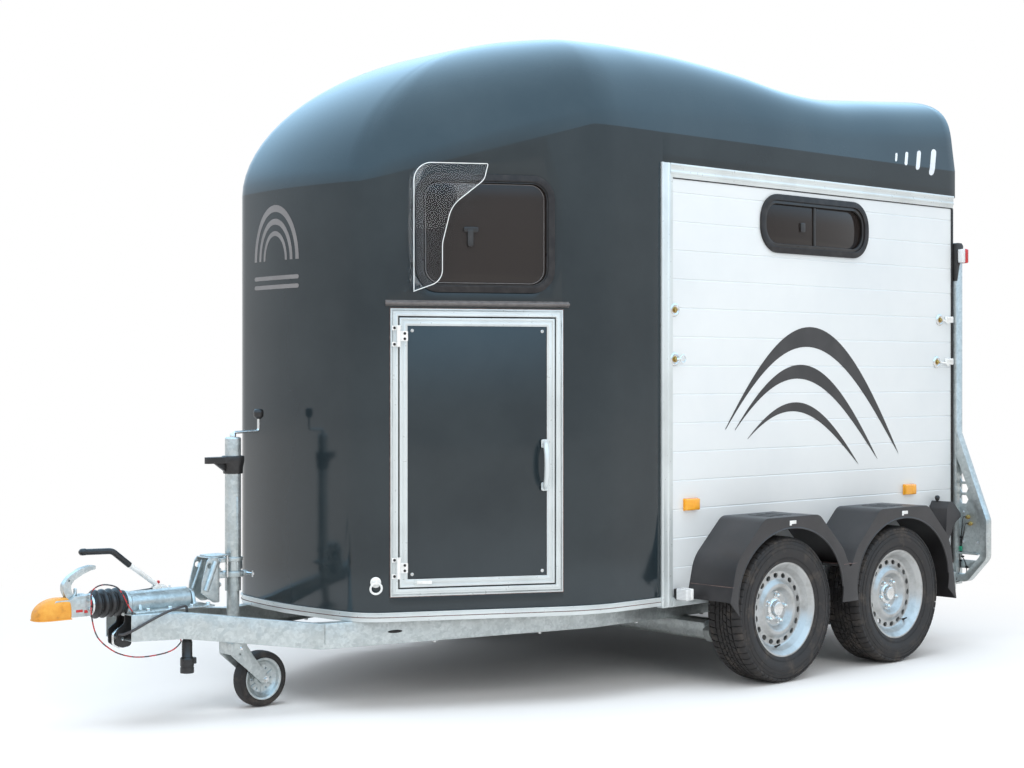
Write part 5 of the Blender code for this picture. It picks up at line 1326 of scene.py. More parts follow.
tyre = joined("tyre", soften(carcass, 0, smooth=40), soften(joined("rings", *rings), 0, smooth=50), tread)
print("tyre", len(tyre.data.polygons), "faces, tread of", PITCHES, "pitches")

# %% Four wheels
TO_X = FACING["X"]
for end_name, y in AXLES.items():
    for side, flip in (("left", Matrix.Identity(4)), ("right", MIRROR)):
        body = f"wheel_{end_name}_{side}"
        place = flip @ Matrix.Translation((WHEEL_X, y, AXLE_Z)) @ Matrix.Rotation(0.5 + y, 4, "X") @ TO_X
        finished(copied(rim, f"pressed_rim_{end_name}_{side}", place), rim_paint, body, f"rim_{end_name}_{side}")
        finished(copied(hub_parts, f"hub_{end_name}_{side}", place), plated, body)
        finished(copied(valve, f"valve_{end_name}_{side}", place), seal_rubber, body)
        finished(copied(tyre, f"treaded_tyre_{end_name}_{side}", place), tyre_rubber, body, f"tyre_{end_name}_{side}")
for pattern in (rim, hub_parts, valve, tyre):
    bpy.data.objects.remove(pattern)

# %% [markdown]
# ## Fenders
# Each side has one plastic moulding over both wheels. Its outline is drawn with soft corners and cut out twice: a
# thin skin that runs out from the wall, and a face with two wheel arches. After they are joined a wide bevel rounds
# the edge between them. Raised ribs, a parting line, and a small white clip over each wheel finish it.

# %% Fenders
FENDER_X, FENDER_SKIN = 1.06, 0.005
ARCH_LIFT = 0.062  # middle of a wheel arch above the axle


def fender_line(inset):
    front, rear = AXLES["front"], AXLES["rear"]
    top = 0.68 - inset
    corners = [
        (front - 0.385 + inset, 0.36), (front - 0.345 + inset, 0.52), (front - 0.175 + inset / 2, top),
        (front + 0.175 - inset / 2, top), (front + 0.335 - inset, 0.53 - inset / 2),
        ((front + rear) / 2, 0.44 - inset), (rear - 0.335 + inset, 0.53 - inset / 2), (rear - 0.175 + inset / 2, top),
        (rear + 0.175 - inset / 2, top), (rear + 0.345 - inset, 0.52), (rear + 0.395 - inset, 0.25)]
    return bent(corners, mm([0, 150, 60, 60, 150, 10, 150, 60, 60, 150, 0]), 8)


fender_skin = plate("fender_skin", [fender_line(0) + fender_line(FENDER_SKIN)[::-1]], SIDE_X + 0.0003, FENDER_X, "X")
arches = []
for y in AXLES.values():
    for i in range(41):
        angle = radians(192) - radians(204) * i / 40
        arches.append((y + 0.338 * cos(angle), AXLE_Z + ARCH_LIFT + 0.276 * sin(angle)))
fender_face = plate(
    "fender_face", [fender_line(0) + [Vector(p) for p in reversed(arches)]], FENDER_X - FENDER_SKIN, FENDER_X, "X")
cut_with(fender_skin, fender_face, operation="UNION")
fender = soften(weld(fender_skin), 0.0045, 4, angle=40, smooth=35)
arch_lips = []
for y in AXLES.values():
    arch = [
        (FENDER_X - 0.003, y + 0.3365 * cos(a), AXLE_Z + ARCH_LIFT + 0.2745 * sin(a))
        for a in [radians(178) - radians(176) * i / 40 for i in range(41)]]
    arch_lips.append(bar("arch_lip", arch, 0.0042, 12))
both_sides(joined("moulded_fender", fender, *arch_lips), grained, replaces="fender_left")
extras = []
for y in AXLES.values():
    for k in (-1, 0, 1):
        extras.append(block(
            "top_rib", (0.88, y + 0.055 * k - 0.012, 0.6796), (1.0, y + 0.055 * k + 0.012, 0.6816), 0.0008))
both_sides(joined("fender_ribs", *extras), grained)
clips = []
for y in AXLES.values():
    clips.append(block("clip", (FENDER_X - 0.001, y - 0.02, 0.65), (FENDER_X + 0.003, y + 0.02, 0.664), 0.0012))
    clips.append(block(
        "clip_tail", (FENDER_X - 0.001, y - 0.02, 0.644), (FENDER_X + 0.002, y - 0.008, 0.651), 0.0006))
both_sides(joined("fender_clips", *clips), white_plastic)
front, rear = AXLES["front"], AXLES["rear"]
seams = [
    block("seam", (SIDE_X + 0.006, front - 0.372, 0.4185), (FENDER_X + 0.0012, front - 0.3655, 0.4205), 0.0005),
    block(
        "seam", (SIDE_X + 0.006, (front + rear) / 2 - 0.045, 0.46),
        (FENDER_X + 0.0012, (front + rear) / 2 + 0.045, 0.462), 0.0005)]
seams.append(block(
    "flap_seam", (SIDE_X + 0.006, rear + 0.363, 0.4185), (FENDER_X + 0.0012, rear + 0.3725, 0.4205), 0.0005))
both_sides(joined("fender_seams", *seams), brown_line)
stiffeners = [
    block("flap_rib", (x - 0.004, rear + 0.389, 0.262), (x + 0.004, rear + 0.396, 0.4), 0.0015)
    for x in (0.88, 0.94, 1.0)]
both_sides(joined("flap_ribs", *stiffeners), grained)
print("fenders made")

# %% [markdown]
# ## Chassis
# The rails, cross members and axles keep the CAD's own shapes with rolled edges. A dark plate painted as the shade
# inside a slot, a weld seam, clamp plates and bolts are added where the rails carry the body.

# %% Rails, beams and axles
for side in ("left", "right"):
    finished(from_cad(f"rail_{side}", f"channel_{side}", 0.0025, 3), galvanised, replaces=f"rail_{side}")
for node_name in ("crossbeam_front", "crossbeam_middle", "rear_sill", "axle_front", "axle_rear"):
    finished(from_cad(node_name, node_name + "_steel", 0.003), galvanised, replaces=node_name)


def rail_face(y):
    """How far out the left rail's outer face is at y."""
    stations = ((-1.869, 0.09), (-1.691, 0.155), (-1.5285, 0.214), (-1.2195, 0.326), (-1.1895, 0.34), (-0.0895, 0.6))
    return through(stations, y)


slot_y = -0.93
# The slot is not cut through: a thin near-black oval plate on the rail's face is painted shade standing in for the
# hole.
slot = [(slot_y + 0.03 * cos(t), 0.292 + 0.006 * sin(t)) for t in [2 * pi * k / 24 for k in range(24)]]
slot_shade_plate = plate("rail_slot_shade", [slot], rail_face(slot_y) + 0.0003 - 0.0035, rail_face(slot_y) + 0.0012, "X")
to_slot = Matrix.Translation((rail_face(slot_y), slot_y, 0))
slot_shade_plate.data.transform(
    to_slot @ Matrix.Rotation(-atan2(0.26, 1.1), 4, "Z") @ Matrix.Translation((-rail_face(slot_y), -slot_y, 0)))
both_sides(soften(slot_shade_plate, 0.0004), seal_rubber)
weld_line = [Vector((rail_face(-1.2045) + 0.0012, -1.2045, z)) for z in (0.262, 0.285, 0.31, 0.338)]
both_sides(bar("rail_weld", weld_line, 0.0018, 8), galvanised)
body_bolts, clamps = [], []
for y in (-0.75, -0.3, 0.2, 0.6, 1.05, 1.8):
    out = rail_face(y) if y < -0.0895 else 0.6
    body_bolts.append((out - 0.026, y, 0.2445))
    clamps.append(block("spacer", (out - 0.046, y - 0.03, 0.3396), (out - 0.006, y + 0.03, 0.3406), 0.0002))
both_sides(fastener("rail_bolts", body_bolts, (0, 0, -1), 0.0085, 0.008), plated)
both_sides(joined("rail_spacers", *clamps), galvanised)
drums = []
for y in AXLES.values():
    drum = spun(
        "brake_drum",
        bent(mm([(30, -70), (105, -70), (112, -62), (112, -35), (100, -30), (30, -30)]), mm([0, 6, 4, 4, 4, 0]), 3),
        (WHEEL_X, y, AXLE_Z), "X", 48, True)
    drums.append(soften(drum, 0))
both_sides(joined("brake_drums", *drums), galvanised)
print("chassis dressed")

# %% [markdown]
# ## Overrun housing and coupling
# A thick galvanised tube sits on the two rails and holds the coupling's shaft, with a rubber bellows between. Behind
# it two folded side plates and a cap make the bracket that the jockey wheel's clamp is bolted to. The coupling head
# has a curved two-part lever and an orange rubber cover; the handbrake is a bright tube with a black grip.

# %% Housing
HOUSING_FRONT, SHAFT_Z = -1.853, 0.446
tube_section = bent(mm([(30, 0), (45.5, 0), (45.5, 14), (41, 18), (41, 262), (30, 262)]), mm([0, 3, 3, 2, 3, 0]), 3)
tube = spun("housing_tube", [(r, -h) for r, h in tube_section], (0, HOUSING_FRONT, 0.4385), "Y", 48, True)
saddle = plate(
    "saddle",
    [rounded(
        mm([(-82, 407.5), (82, 407.5), (82, 413.5), (46, 416.5), (30, 470), (-30, 470), (-46, 416.5), (-82, 413.5)]),
        mm([1, 1, 2, 10, 20, 20, 10, 2]), steps=4)], 1.8, 1.812, "Y")
saddle_rear = copied(saddle, "saddle_rear", Matrix.Translation((0, 0.225, 0)))
base_plate = block("housing_base", (-0.084, HOUSING_FRONT + 0.004, 0.4074), (0.084, -1.5185, 0.4136), 0.002)
bolts_at = [(s * 0.07, y, 0.4134) for s in (1, -1) for y in (-1.79, -1.7, -1.61, -1.54)]
housing_bolts = fastener("housing_bolts", bolts_at, (0, 0, 1), 0.009, 0.009)
cheeks = []
for s in (1, -1):
    cheek_line = rounded(
        mm([
            (-1554, 455), (-1549, 492), (-1527, 570), (-1517, 582), (-1482, 582), (-1474.5, 560), (-1474.5, 415),
            (-1500, 415)]), mm([4, 20, 10, 10, 8, 10, 4, 20]), steps=4)
    hole = ring_of(24, 0.0105, -1.5165, 0.552)
    low, high = sorted((s * 0.04, s * 0.0445))
    cheeks.append(plate("bracket_cheek", [cheek_line, hole[::-1]], low, high, "X"))
top_cap = block("bracket_cap", (-0.0445, -1.518, 0.5785), (0.0445, -1.4745, 0.583), 0.0015)
back_web = block("bracket_web", (-0.0445, -1.479, 0.418), (0.0445, -1.4745, 0.583), 0.0015)
brace = [bar("bracket_tube", [(s * 0.0465, -1.535, 0.462), (s * 0.0465, -1.492, 0.566)], 0.0105, 24) for s in (1, -1)]
grease = turned(
    "grease_nipple", mm([(0, 12), (3.5, 10), (3.5, 4), (6, 3), (6, 0), (0, 0)]), (0, -1.66, 0.4785), steps=16)
housing = joined("housing", tube, saddle, saddle_rear, base_plate, *cheeks, top_cap, back_web, *brace)
finished(soften(housing, 0.001), galvanised, replaces="overrun_housing")
finished(joined("housing_fasteners", housing_bolts, grease), plated)
foot = plate(
    "foot_plate",
    [rounded(
        mm([(-1858, 440), (-1835, 430), (-1835, 290), (-1872, 285), (-1895, 300), (-1895, 350), (-1862, 372)]),
        mm([3, 3, 15, 12, 12, 10, 20]), steps=4)], 0.026, 0.031, "X")
foot_twin = copied(foot, "foot_twin", MIRROR)
foot_web = block("foot_web", (-0.031, -1.841, 0.3), (0.031, -1.835, 0.43), 0.0015)
hook = bar(
    "safety_hook", mm([(20, -1880, 352), (20, -1903, 336), (20, -1903, 300), (20, -1880, 287), (20, -1858, 296)]),
    0.0045, 16, bend=0.012)
cross_pin = bar("cross_pin", [(-0.034, -1.872, 0.318), (0.0345, -1.872, 0.318)], 0.006, 16)
finished(soften(joined("foot_bracket", foot, foot_twin, foot_web), 0.0008), smooth_black)
finished(joined("hook_and_pin", hook, cross_pin), plated)

front, rear = HOUSING_FRONT - 0.14, HOUSING_FRONT - 0.0003
ribs = 4
bellows_line = [(0.041, 0.0), (0.041, 0.01)]
for i in range(ribs):
    start = 0.012 + 0.0285 * i
    bellows_line += [
        (0.0385, start), (0.047, start + 0.005), (0.0525, start + 0.0135), (0.05, start + 0.02),
        (0.04, start + 0.0265)]
bellows_line += mm([(37, 128), (37, 139.5), (27, 139.5), (27, 0)])
smooth_line = bent(bellows_line, [0, 0.001] + mm([1.5, 6, 8, 8, 1.5]) * ribs + [0.001, 0.001, 0, 0], 4)
bellows = turned("ribbed_bellows", smooth_line, (0, rear, SHAFT_Z), "Y", 56, True)
band = turned(
    "bellows_band", mm([(37.8, 130.5), (39.2, 130.5), (39.2, 137.5), (37.8, 137.5)]), (0, rear, SHAFT_Z), "Y", 48,
    True)
finished(bellows, smooth_black, replaces="bellows")
finished(band, plated)
print("housing", len(housing.data.polygons), "faces")

# %% Coupling head, lever and cover
NOSE_Y = -2.2015
head_front, head_rear = NOSE_Y + 0.007, front - 0.0005
head_plan = rounded(
    [(-0.034, head_rear), (-0.034, head_front), (0.034, head_front), (0.034, head_rear)], mm([3, 27, 27, 3]), steps=8)
head_low, head_high = SHAFT_Z - 0.035, SHAFT_Z + 0.027
head = plate("head", [head_plan], head_low, head_high)
slope = [
    (head_rear + 0.01, head_low - 0.01), (head_rear + 0.01, head_high + 0.01), (NOSE_Y + 0.08, head_high + 0.01),
    (NOSE_Y + 0.074, head_high), (head_front, SHAFT_Z - 0.016), (head_front - 0.01, head_low - 0.01)]
side_view = plate("side_view", [rounded(slope, [0, 0, 0, 0.06, 0.012, 0], steps=5)], -0.06, 0.06, "X")
cut_with(head, side_view, operation="INTERSECT")
neck = plate(
    "neck",
    [rounded(
        [
            (head_rear, head_low + 0.002), (head_rear, SHAFT_Z + 0.039), (NOSE_Y + 0.142, SHAFT_Z + 0.037),
            (NOSE_Y + 0.128, head_high - 0.001), (NOSE_Y + 0.128, head_low + 0.002)], mm([3, 6, 8, 4, 3]), steps=4)],
    -0.033, 0.033, "X")
cut_with(head, neck, operation="UNION")
hollow = spun(
    "socket",
    [
        (0, head_low - 0.02), (0.0252, head_low - 0.02), (0.0252, SHAFT_Z - 0.015), (0.018, SHAFT_Z + 0.003),
        (0.008, SHAFT_Z + 0.008), (0, SHAFT_Z + 0.009)], (0, NOSE_Y + 0.061, 0), steps=40)
window = plate(
    "lever_window", [rectangle(NOSE_Y + 0.134, NOSE_Y + 0.182, SHAFT_Z + 0.016, SHAFT_Z + 0.06, 0.004)], -0.0145,
    0.0145, "X")
cut_with(head, hollow, window)
shaft = spun(
    "shaft", mm([(0, -40), (24.5, -40), (24.5, 140), (0, 140)]), (0, HOUSING_FRONT - 0.001, SHAFT_Z), "Y", 40)
wear_sign = block(
    "wear_mark", (0.0335, NOSE_Y + 0.146, SHAFT_Z - 0.019), (0.0348, NOSE_Y + 0.172, SHAFT_Z - 0.01), 0.0004)
wear_sign_two = block(
    "wear_mark_two", (0.0335, NOSE_Y + 0.178, SHAFT_Z - 0.023), (0.0348, NOSE_Y + 0.192, SHAFT_Z - 0.013), 0.0004)
side_bolts = fastener(
    "head_bolts", [(0.0335, NOSE_Y + 0.198, SHAFT_Z + up) for up in (-0.01, 0.018)], (1, 0, 0), 0.007, 0.007)
other_bolts = copied(side_bolts, "other_bolts", MIRROR)
arm_one = plate(
    "lever_arm",
    [rounded(
        mm([
            (-2070, 458), (-2054, 448), (-2040, 458), (-2058, 496), (-2064, 516), (-2052, 536), (-2015, 556),
            (-1985, 568), (-1966, 570), (-1966, 584), (-1990, 585), (-2025, 577), (-2070, 552), (-2092, 526),
            (-2092, 501)]), mm([4, 6, 4, 20, 20, 20, 60, 40, 5, 5, 30, 60, 50, 20, 30]), steps=5)], -0.0115, 0.0115,
    "X")
cut_with(arm_one, plate("grip_hole", [ring_of(20, 0.0042, -2.07, 0.5375)], -0.02, 0.02, "X"))
thumb = block("lever_thumb", (-0.0065, -2.046, 0.476), (0.0065, -2.036, 0.508), 0.003)
spring = bar("lever_spring", [(0.013, -2.06, 0.47), (0.013, -2.044, 0.496)], 0.004, 16)
finished(soften(joined("coupling", head, shaft), 0.0016, 3), galvanised, replaces="coupling_head")
finished(joined("coupling_lever", soften(arm_one, 0.003, 3), thumb, spring, side_bolts, other_bolts), galvanised)
finished(joined("wear_marks", wear_sign, wear_sign_two), red_plastic)

DOME = (
    # behind the nose, half width, height above the shaft's middle
    (0.0, 0.01, -0.024), (0.002, 0.02, -0.013), (0.008, 0.031, -0.001), (0.02, 0.0395, 0.0125), (0.038, 0.044, 0.0245),
    (0.06, 0.0452, 0.0325), (0.085, 0.0455, 0.036), (0.11, 0.0455, 0.035), (0.125, 0.045, 0.033),
)


def dome(name):
    """The cover as lofted arches, from the tip to the open rear."""
    low = SHAFT_Z - 0.0385
    rings = []
    for along, half, rise in DOME:
        ring = []
        for k in range(25):
            angle = pi * k / 24
            x = half * copysign(abs(cos(angle)) ** 0.66, cos(angle))
            ring.append((x, NOSE_Y + along, low + (SHAFT_Z + rise - low) * sin(angle) ** 0.66))
        rings.append(ring)
    faces = [
        (25 * r + k, 25 * r + 25 + k, 25 * r + 26 + k, 25 * r + 1 + k) for r in range(len(rings) - 1)
        for k in range(24)]
    faces.append(tuple(range(25)))
    mesh = bpy.data.meshes.new(name)
    mesh.from_pydata([point for ring in rings for point in ring], [], faces)
    piece = bpy.data.objects.new(name, mesh)
    bpy.context.scene.collection.objects.link(piece)
    return piece


cover = dome("cover")
modify(cover, "SOLIDIFY", thickness=0.0035, offset=-1, use_even_offset=False)
modify(cover, "SUBSURF", levels=1, render_levels=1)
edge_ring = [Vector((half, NOSE_Y + along, SHAFT_Z - 0.0375)) for along, half, _ in reversed(DOME)]
edge_ring = edge_ring + [Vector((-p.x, p.y, p.z)) for p in reversed(edge_ring)]
rolled_edge = bar("cover_edge", edge_ring, 0.0022, 12)
finished(joined("rubber_cover", soften(cover, 0), rolled_edge), orange_rubber, replaces="coupling_cover")

# %% Handbrake
BRAKE_X = -0.055
brake_tube = bar("brake_tube", [(BRAKE_X, -1.67, 0.48), (BRAKE_X, -1.797, 0.57)], 0.009, 24)
grip_path = [(BRAKE_X, -1.793, 0.5672), (BRAKE_X, -1.864, 0.623), (BRAKE_X, -1.99, 0.627)]
brake_grip = bar("brake_grip", grip_path, 0.0112, 24, bend=0.04, steps=10)
grip_end = turned(
    "grip_end", mm([(0, 12), (6, 11), (11.2, 4), (12.5, 0), (12.5, -12), (11.2, -16), (0, -16)]),
    (BRAKE_X, -1.984, 0.627), "Y", 24)
quadrant = plate(
    "brake_quadrant",
    [rounded(
        mm([(-1712, 420), (-1640, 420), (-1640, 478), (-1662, 490), (-1700, 484)]), mm([3, 3, 12, 14, 14]), steps=4)],
    BRAKE_X - 0.011, BRAKE_X - 0.006, "X")
quadrant_two = copied(quadrant, "quadrant_two", Matrix.Translation((0.017, 0, 0)))
brake_pivot = bar("brake_pivot", [(BRAKE_X - 0.015, -1.664, 0.478), (BRAKE_X + 0.016, -1.664, 0.478)], 0.006, 20)
knob = turned(
    "release_knob", mm([(0, 12), (5, 10), (6, 4), (4, 0), (0, 0)]), (BRAKE_X + 0.004, -1.676, 0.492), steps=16)
gas_strut = bar("gas_strut", [(BRAKE_X - 0.0005, -1.7, 0.472), (BRAKE_X - 0.0005, -1.8, 0.466)], 0.006, 16)
finished(
    joined("handbrake", brake_tube, soften(joined("quadrants", quadrant, quadrant_two), 0.001), brake_pivot),
    white_plastic, replaces="handbrake_lever")
finished(joined("handbrake_grip", brake_grip, grip_end, gas_strut), smooth_black)
finished(knob, red_plastic)
print("coupling and handbrake made")

# %% [markdown]
# ## Jockey wheel
# The outer tube is held by a ring clamp on the bracket, its crank on top and a black collar with a locking handle.
# The inner leg slides in it and carries a folded fork with a small pressed wheel. The leg, the fork and the wheel
# each ride on their own body, so they move as the real ones do.

# %% Jockey tube and clamp
JOCKEY_Y = -1.386
JOCKEY = (0, JOCKEY_Y, 0)
TUBE_LOW, TUBE_HIGH = 0.448, 1.019
tube_wall = bent(
    [
        (0.0247, TUBE_LOW), (0.03, TUBE_LOW), (0.03, TUBE_HIGH - 0.001), (0.0262, TUBE_HIGH + 0.004),
        (0.0, TUBE_HIGH + 0.004)], mm([0, 1, 4, 4, 0]), 4)
outer_tube = spun("outer_tube", tube_wall + [(0.0, TUBE_HIGH - 0.012), (0.0247, TUBE_HIGH - 0.012)], JOCKEY)
key_strip = block("key_strip", (0.0292, JOCKEY_Y - 0.0045, TUBE_LOW + 0.02), (0.0312, JOCKEY_Y + 0.0045, 0.8), 0.0006)
crank_path = [
    (0, JOCKEY_Y, TUBE_HIGH + 0.003), (0, JOCKEY_Y, TUBE_HIGH + 0.021), (0, JOCKEY_Y + 0.115, TUBE_HIGH + 0.025),
    (0, JOCKEY_Y + 0.115, TUBE_HIGH + 0.076)]
crank = bar("crank", crank_path, 0.0055, 20, bend=0.009, steps=5)
crank_hub = turned(
    "crank_hub", mm([(0, 20), (9.5, 19), (11.5, 15), (11.5, 3), (0, 3)]), (0, JOCKEY_Y, TUBE_HIGH), steps=24)
finished(soften(joined("jockey_outer_tube", outer_tube, key_strip), 0), galvanised, replaces="jockey_tube")
finished(joined("jockey_crank", crank, crank_hub), plated)
knob_line = bent(mm([(0, 109), (17, 107), (19.5, 95), (18.5, 80), (9, 70), (0, 70)]), mm([0, 8, 10, 10, 4, 0]), 5)
crank_knob = turned("crank_knob", knob_line, (0, JOCKEY_Y + 0.115, TUBE_HIGH), steps=28)
COLLAR = (0.886, 0.953)
collar = spun(
    "collar",
    bent(
        [
            (0.0302, COLLAR[0]), (0.037, COLLAR[0]), (0.0375, COLLAR[0] + 0.022), (0.0425, COLLAR[1] - 0.018),
            (0.0425, COLLAR[1]), (0.0302, COLLAR[1])], mm([0, 3, 10, 10, 4, 0]), 4), JOCKEY, steps=40, closed=True)
handle_plan = rounded(
    [(-0.026, JOCKEY_Y - 0.025), (-0.013, JOCKEY_Y - 0.121), (0.013, JOCKEY_Y - 0.121), (0.026, JOCKEY_Y - 0.025)],
    mm([2, 12, 12, 2]), steps=6)
collar_handle = soften(plate("collar_handle", [handle_plan], 0.926, 0.95), 0.007, 4)
handle_web = plate(
    "handle_web",
    [rounded([(JOCKEY_Y - 0.03, 0.89), (JOCKEY_Y - 0.03, 0.93), (JOCKEY_Y - 0.088, 0.93)], mm([1, 1, 4]))], -0.007,
    0.007, "X")
finished(
    joined("jockey_plastics", crank_knob, soften(collar, 0), collar_handle, soften(handle_web, 0.002)), smooth_black)

ring_line = bent(mm([(30.3, 500), (40, 500), (40, 522), (30.3, 522)]), [0, 0.003, 0.003, 0], 3)
ring = spun("ring", ring_line, JOCKEY, closed=True)
upper = spun(
    "upper_ring", bent(mm([(30.3, 560), (37, 560), (37, 574), (30.3, 574)]), [0, 0.002, 0.002, 0], 3), JOCKEY,
    closed=True)
ears = block("clamp_ears", (-0.011, JOCKEY_Y + 0.036, 0.502), (0.011, JOCKEY_Y + 0.062, 0.52), 0.003)
clamp_plate = block("clamp_plate", (-0.034, -1.474, 0.452), (0.034, -1.468, 0.575), 0.002)
arms = [
    block(
        "clamp_arm", (s * 0.023 - 0.0025, -1.469, low), (s * 0.023 + 0.0025, JOCKEY_Y - 0.026, high), 0.0015
    ) for s in (1, -1) for low, high in ((0.5, 0.522), (0.558, 0.576))]
cap_plate = block("clamp_cap", (-0.036, -1.51, 0.583), (0.036, -1.425, 0.5885), 0.002)
tie_rod = bar("clamp_rod", [(0.029, -1.43, 0.504), (0.029, -1.43, 0.586)], 0.0045, 16)
clamp_bolts = fastener(
    "clamp_bolts", [(s * 0.0285, -1.468, z) for s in (1, -1) for z in (0.478, 0.532, 0.563)], (0, 1, 0), 0.0075, 0.007
)
screw = bar("clamp_screw", [(-0.03, JOCKEY_Y + 0.05, 0.511), (0.06, JOCKEY_Y + 0.05, 0.511)], 0.005, 16)
tommy = bar("clamp_tommy", [(0.056, JOCKEY_Y + 0.05, 0.4995), (0.056, JOCKEY_Y + 0.05, 0.5225)], 0.0035, 12)
finished(
    joined("clamp", soften(joined("rings", ring, upper), 0), ears, clamp_plate, *arms, cap_plate), galvanised,
    replaces="jockey_clamp")
finished(joined("clamp_screws", tie_rod, clamp_bolts, screw, tommy), plated)

# %% Leg, fork and wheel
LEG_LOW = 0.262
leg_line = bent([(0.0, 0.859), (0.0238, 0.859), (0.0238, LEG_LOW), (0.0165, LEG_LOW)], [0, 0.001, 0.002, 0], 3)
leg = spun("leg", leg_line + [(0.0165, 0.332), (0, 0.332)], JOCKEY, steps=40)
leg_collar = spun(
    "leg_collar",
    bent(
        [
            (0.0236, LEG_LOW + 0.0005), (0.0262, LEG_LOW + 0.0005), (0.0262, LEG_LOW + 0.012),
            (0.0236, LEG_LOW + 0.012)], [0, 0.001, 0.002, 0], 2), JOCKEY, steps=40, closed=True)
finished(joined("jockey_inner_leg", soften(leg, 0), soften(leg_collar, 0)), galvanised, "jockey_leg", "jockey_leg")

WHEEL_Y, WHEEL_Z = JOCKEY_Y + 0.12, 0.105
cheek = rounded(
    [
        (JOCKEY_Y - 0.034, LEG_LOW - 0.004), (JOCKEY_Y - 0.034, LEG_LOW - 0.052), (JOCKEY_Y + 0.02, LEG_LOW - 0.098),
        (WHEEL_Y - 0.013, WHEEL_Z - 0.016), (WHEEL_Y + 0.017, WHEEL_Z + 0.002), (JOCKEY_Y + 0.062, LEG_LOW - 0.06),
        (JOCKEY_Y + 0.034, LEG_LOW - 0.018), (JOCKEY_Y + 0.034, LEG_LOW - 0.004)], mm([6, 12, 20, 13, 13, 50, 14, 4]),
    steps=5)
fork_parts = []
for s in (1, -1):
    low, high = sorted((s * 0.0385, s * 0.0423))
    bolt_hole = ring_of(20, 0.004, JOCKEY_Y + 0.004, LEG_LOW - 0.05)
    fork_parts.append(plate("fork_cheek", [cheek, bolt_hole[::-1]], low, high, "X"))
fork_parts.append(block(
    "fork_crown", (-0.04, JOCKEY_Y - 0.033, LEG_LOW - 0.0095), (0.04, JOCKEY_Y + 0.033, LEG_LOW - 0.004), 0.001))
fork_parts.append(block(
    "fork_front", (-0.04, JOCKEY_Y - 0.0335, LEG_LOW - 0.05), (0.04, JOCKEY_Y - 0.0298, LEG_LOW - 0.006), 0.001))
spigot = spun(
    "spigot", [(0, 0.32), (0.0155, 0.32), (0.0155, LEG_LOW - 0.005), (0, LEG_LOW - 0.005)], JOCKEY, steps=32)
fork = soften(joined("fork", *fork_parts), 0.0012)
finished(joined("jockey_fork_steel", fork, soften(spigot, 0)), galvanised, "jockey_fork", "jockey_fork")
fork_bolts = fastener("fork_bolts", [(0.042, WHEEL_Y, WHEEL_Z)], (1, 0, 0), 0.008, 0.006)
fork_nuts = copied(fork_bolts, "fork_nuts", MIRROR)
rivets = [turned("fork_rivet", mm([(0, 3.5), (5, 3), (7.5, 0.5), (7.5, 0), (0, 0)]), steps=20) for s in (1, -1)]
for rivet, s in zip(rivets, (1, -1)):
    turn = Matrix.Rotation(radians(90 * s), 4, "Y")
    rivet.data.transform(Matrix.Translation((s * 0.0421, JOCKEY_Y + 0.01, LEG_LOW - 0.03)) @ turn)
finished(joined("jockey_fork_bolts", fork_bolts, fork_nuts, *rivets), plated, "jockey_fork")

rim_line = mm([
    (10, 31), (17, 31), (19, 12), (30, 8.5), (52, 9.5), (64, 16), (70, 26), (79.8, 28.5), (79.8, -28.5), (70, -26),
    (64, -16), (52, -6), (30, -5.5), (19, -12), (17, -31), (10, -31)])
small_rim = spun(
    "small_rim", bent(rim_line, mm([0, 2, 4, 4, 8, 8, 4, 1.5, 1.5, 4, 8, 8, 4, 4, 2, 0]), 3), steps=60, closed=True)
small_holes = [
    plate("small_hole", [ring_of(16, 0.0046, 0.042 * cos(a), 0.042 * sin(a))], -0.03, 0.03)
    for a in [2 * pi * k / 6 for k in range(6)]]
cut_with(small_rim, joined("small_holes", *small_holes))
dimples = [
    bar("rim_press", [(0.03 * cos(a), 0.03 * sin(a), 0.0096), (0.055 * cos(a), 0.055 * sin(a), 0.0105)], 0.0022, 12)
    for a in [2 * pi * (k + 0.5) / 6 for k in range(6)]]
small_rim = soften(joined("small_rim", small_rim, *dimples), 0.0005, 1)
tyre_line = bent(
    mm([
        (80, 27), (85, 31.5), (96, 32.2), (103.5, 24), (105, 10), (105, -10), (103.5, -24), (96, -32.2), (85, -31.5),
        (80, -27)]), mm([0, 3, 10, 10, 20, 20, 10, 10, 3, 0]), 4)
small_tyre = turned("small_tyre", tyre_line, steps=64, closed=True)
to_wheel = Matrix.Translation((0, WHEEL_Y, WHEEL_Z)) @ FACING["X"]
for piece in (small_rim, small_tyre):
    piece.data.transform(to_wheel)
finished(small_rim, galvanised, "jockey_wheel", "jockey_rim")
finished(small_tyre, tyre_rubber, "jockey_wheel", "jockey_tyre")
print("jockey wheel made")

# %% [markdown]
# ## Rear frame
# The galvanised posts keep the CAD's shape, with the perforated gusset and the lamp plate. The lamp plate carries the
# tail lamp, two brass bulb holders and their wires, which meet in a green connector. A black cap with a white and red
# marker lamp closes each post, and a slim aluminium strip runs on from it up to the roof.

# %% Posts and their fittings
for side in ("left", "right"):
    finished(from_cad(f"rear_post_{side}", f"post_{side}", 0.0022, 3), galvanised, replaces=f"rear_post_{side}")
PLATE_Y = 2.1228  # front face of the gusset
lower_plate = plate(
    "lower_plate", [rounded(mm([(846, 346), (922, 346), (938, 362), (938, 386), (846, 386)]), mm([0, 4, 4, 4, 0]))],
    -PLATE_Y - 0.001, -PLATE_Y + 0.003, "Y")
upper_fold = plate(
    "upper_fold", [mm([(848, 412), (952, 412), (946, 420), (848, 420)])], -PLATE_Y, -PLATE_Y + 0.012, "Y")
both_sides(soften(joined("lamp_brackets", lower_plate, upper_fold), 0.001), galvanised)
screws_at = [(0.868, PLATE_Y, 0.47), (0.868, PLATE_Y, 0.61), (0.945, PLATE_Y, 0.47)]
both_sides(fastener("lamp_screws", screws_at, (0, -1, 0), 0.0045, 0.004), plated)

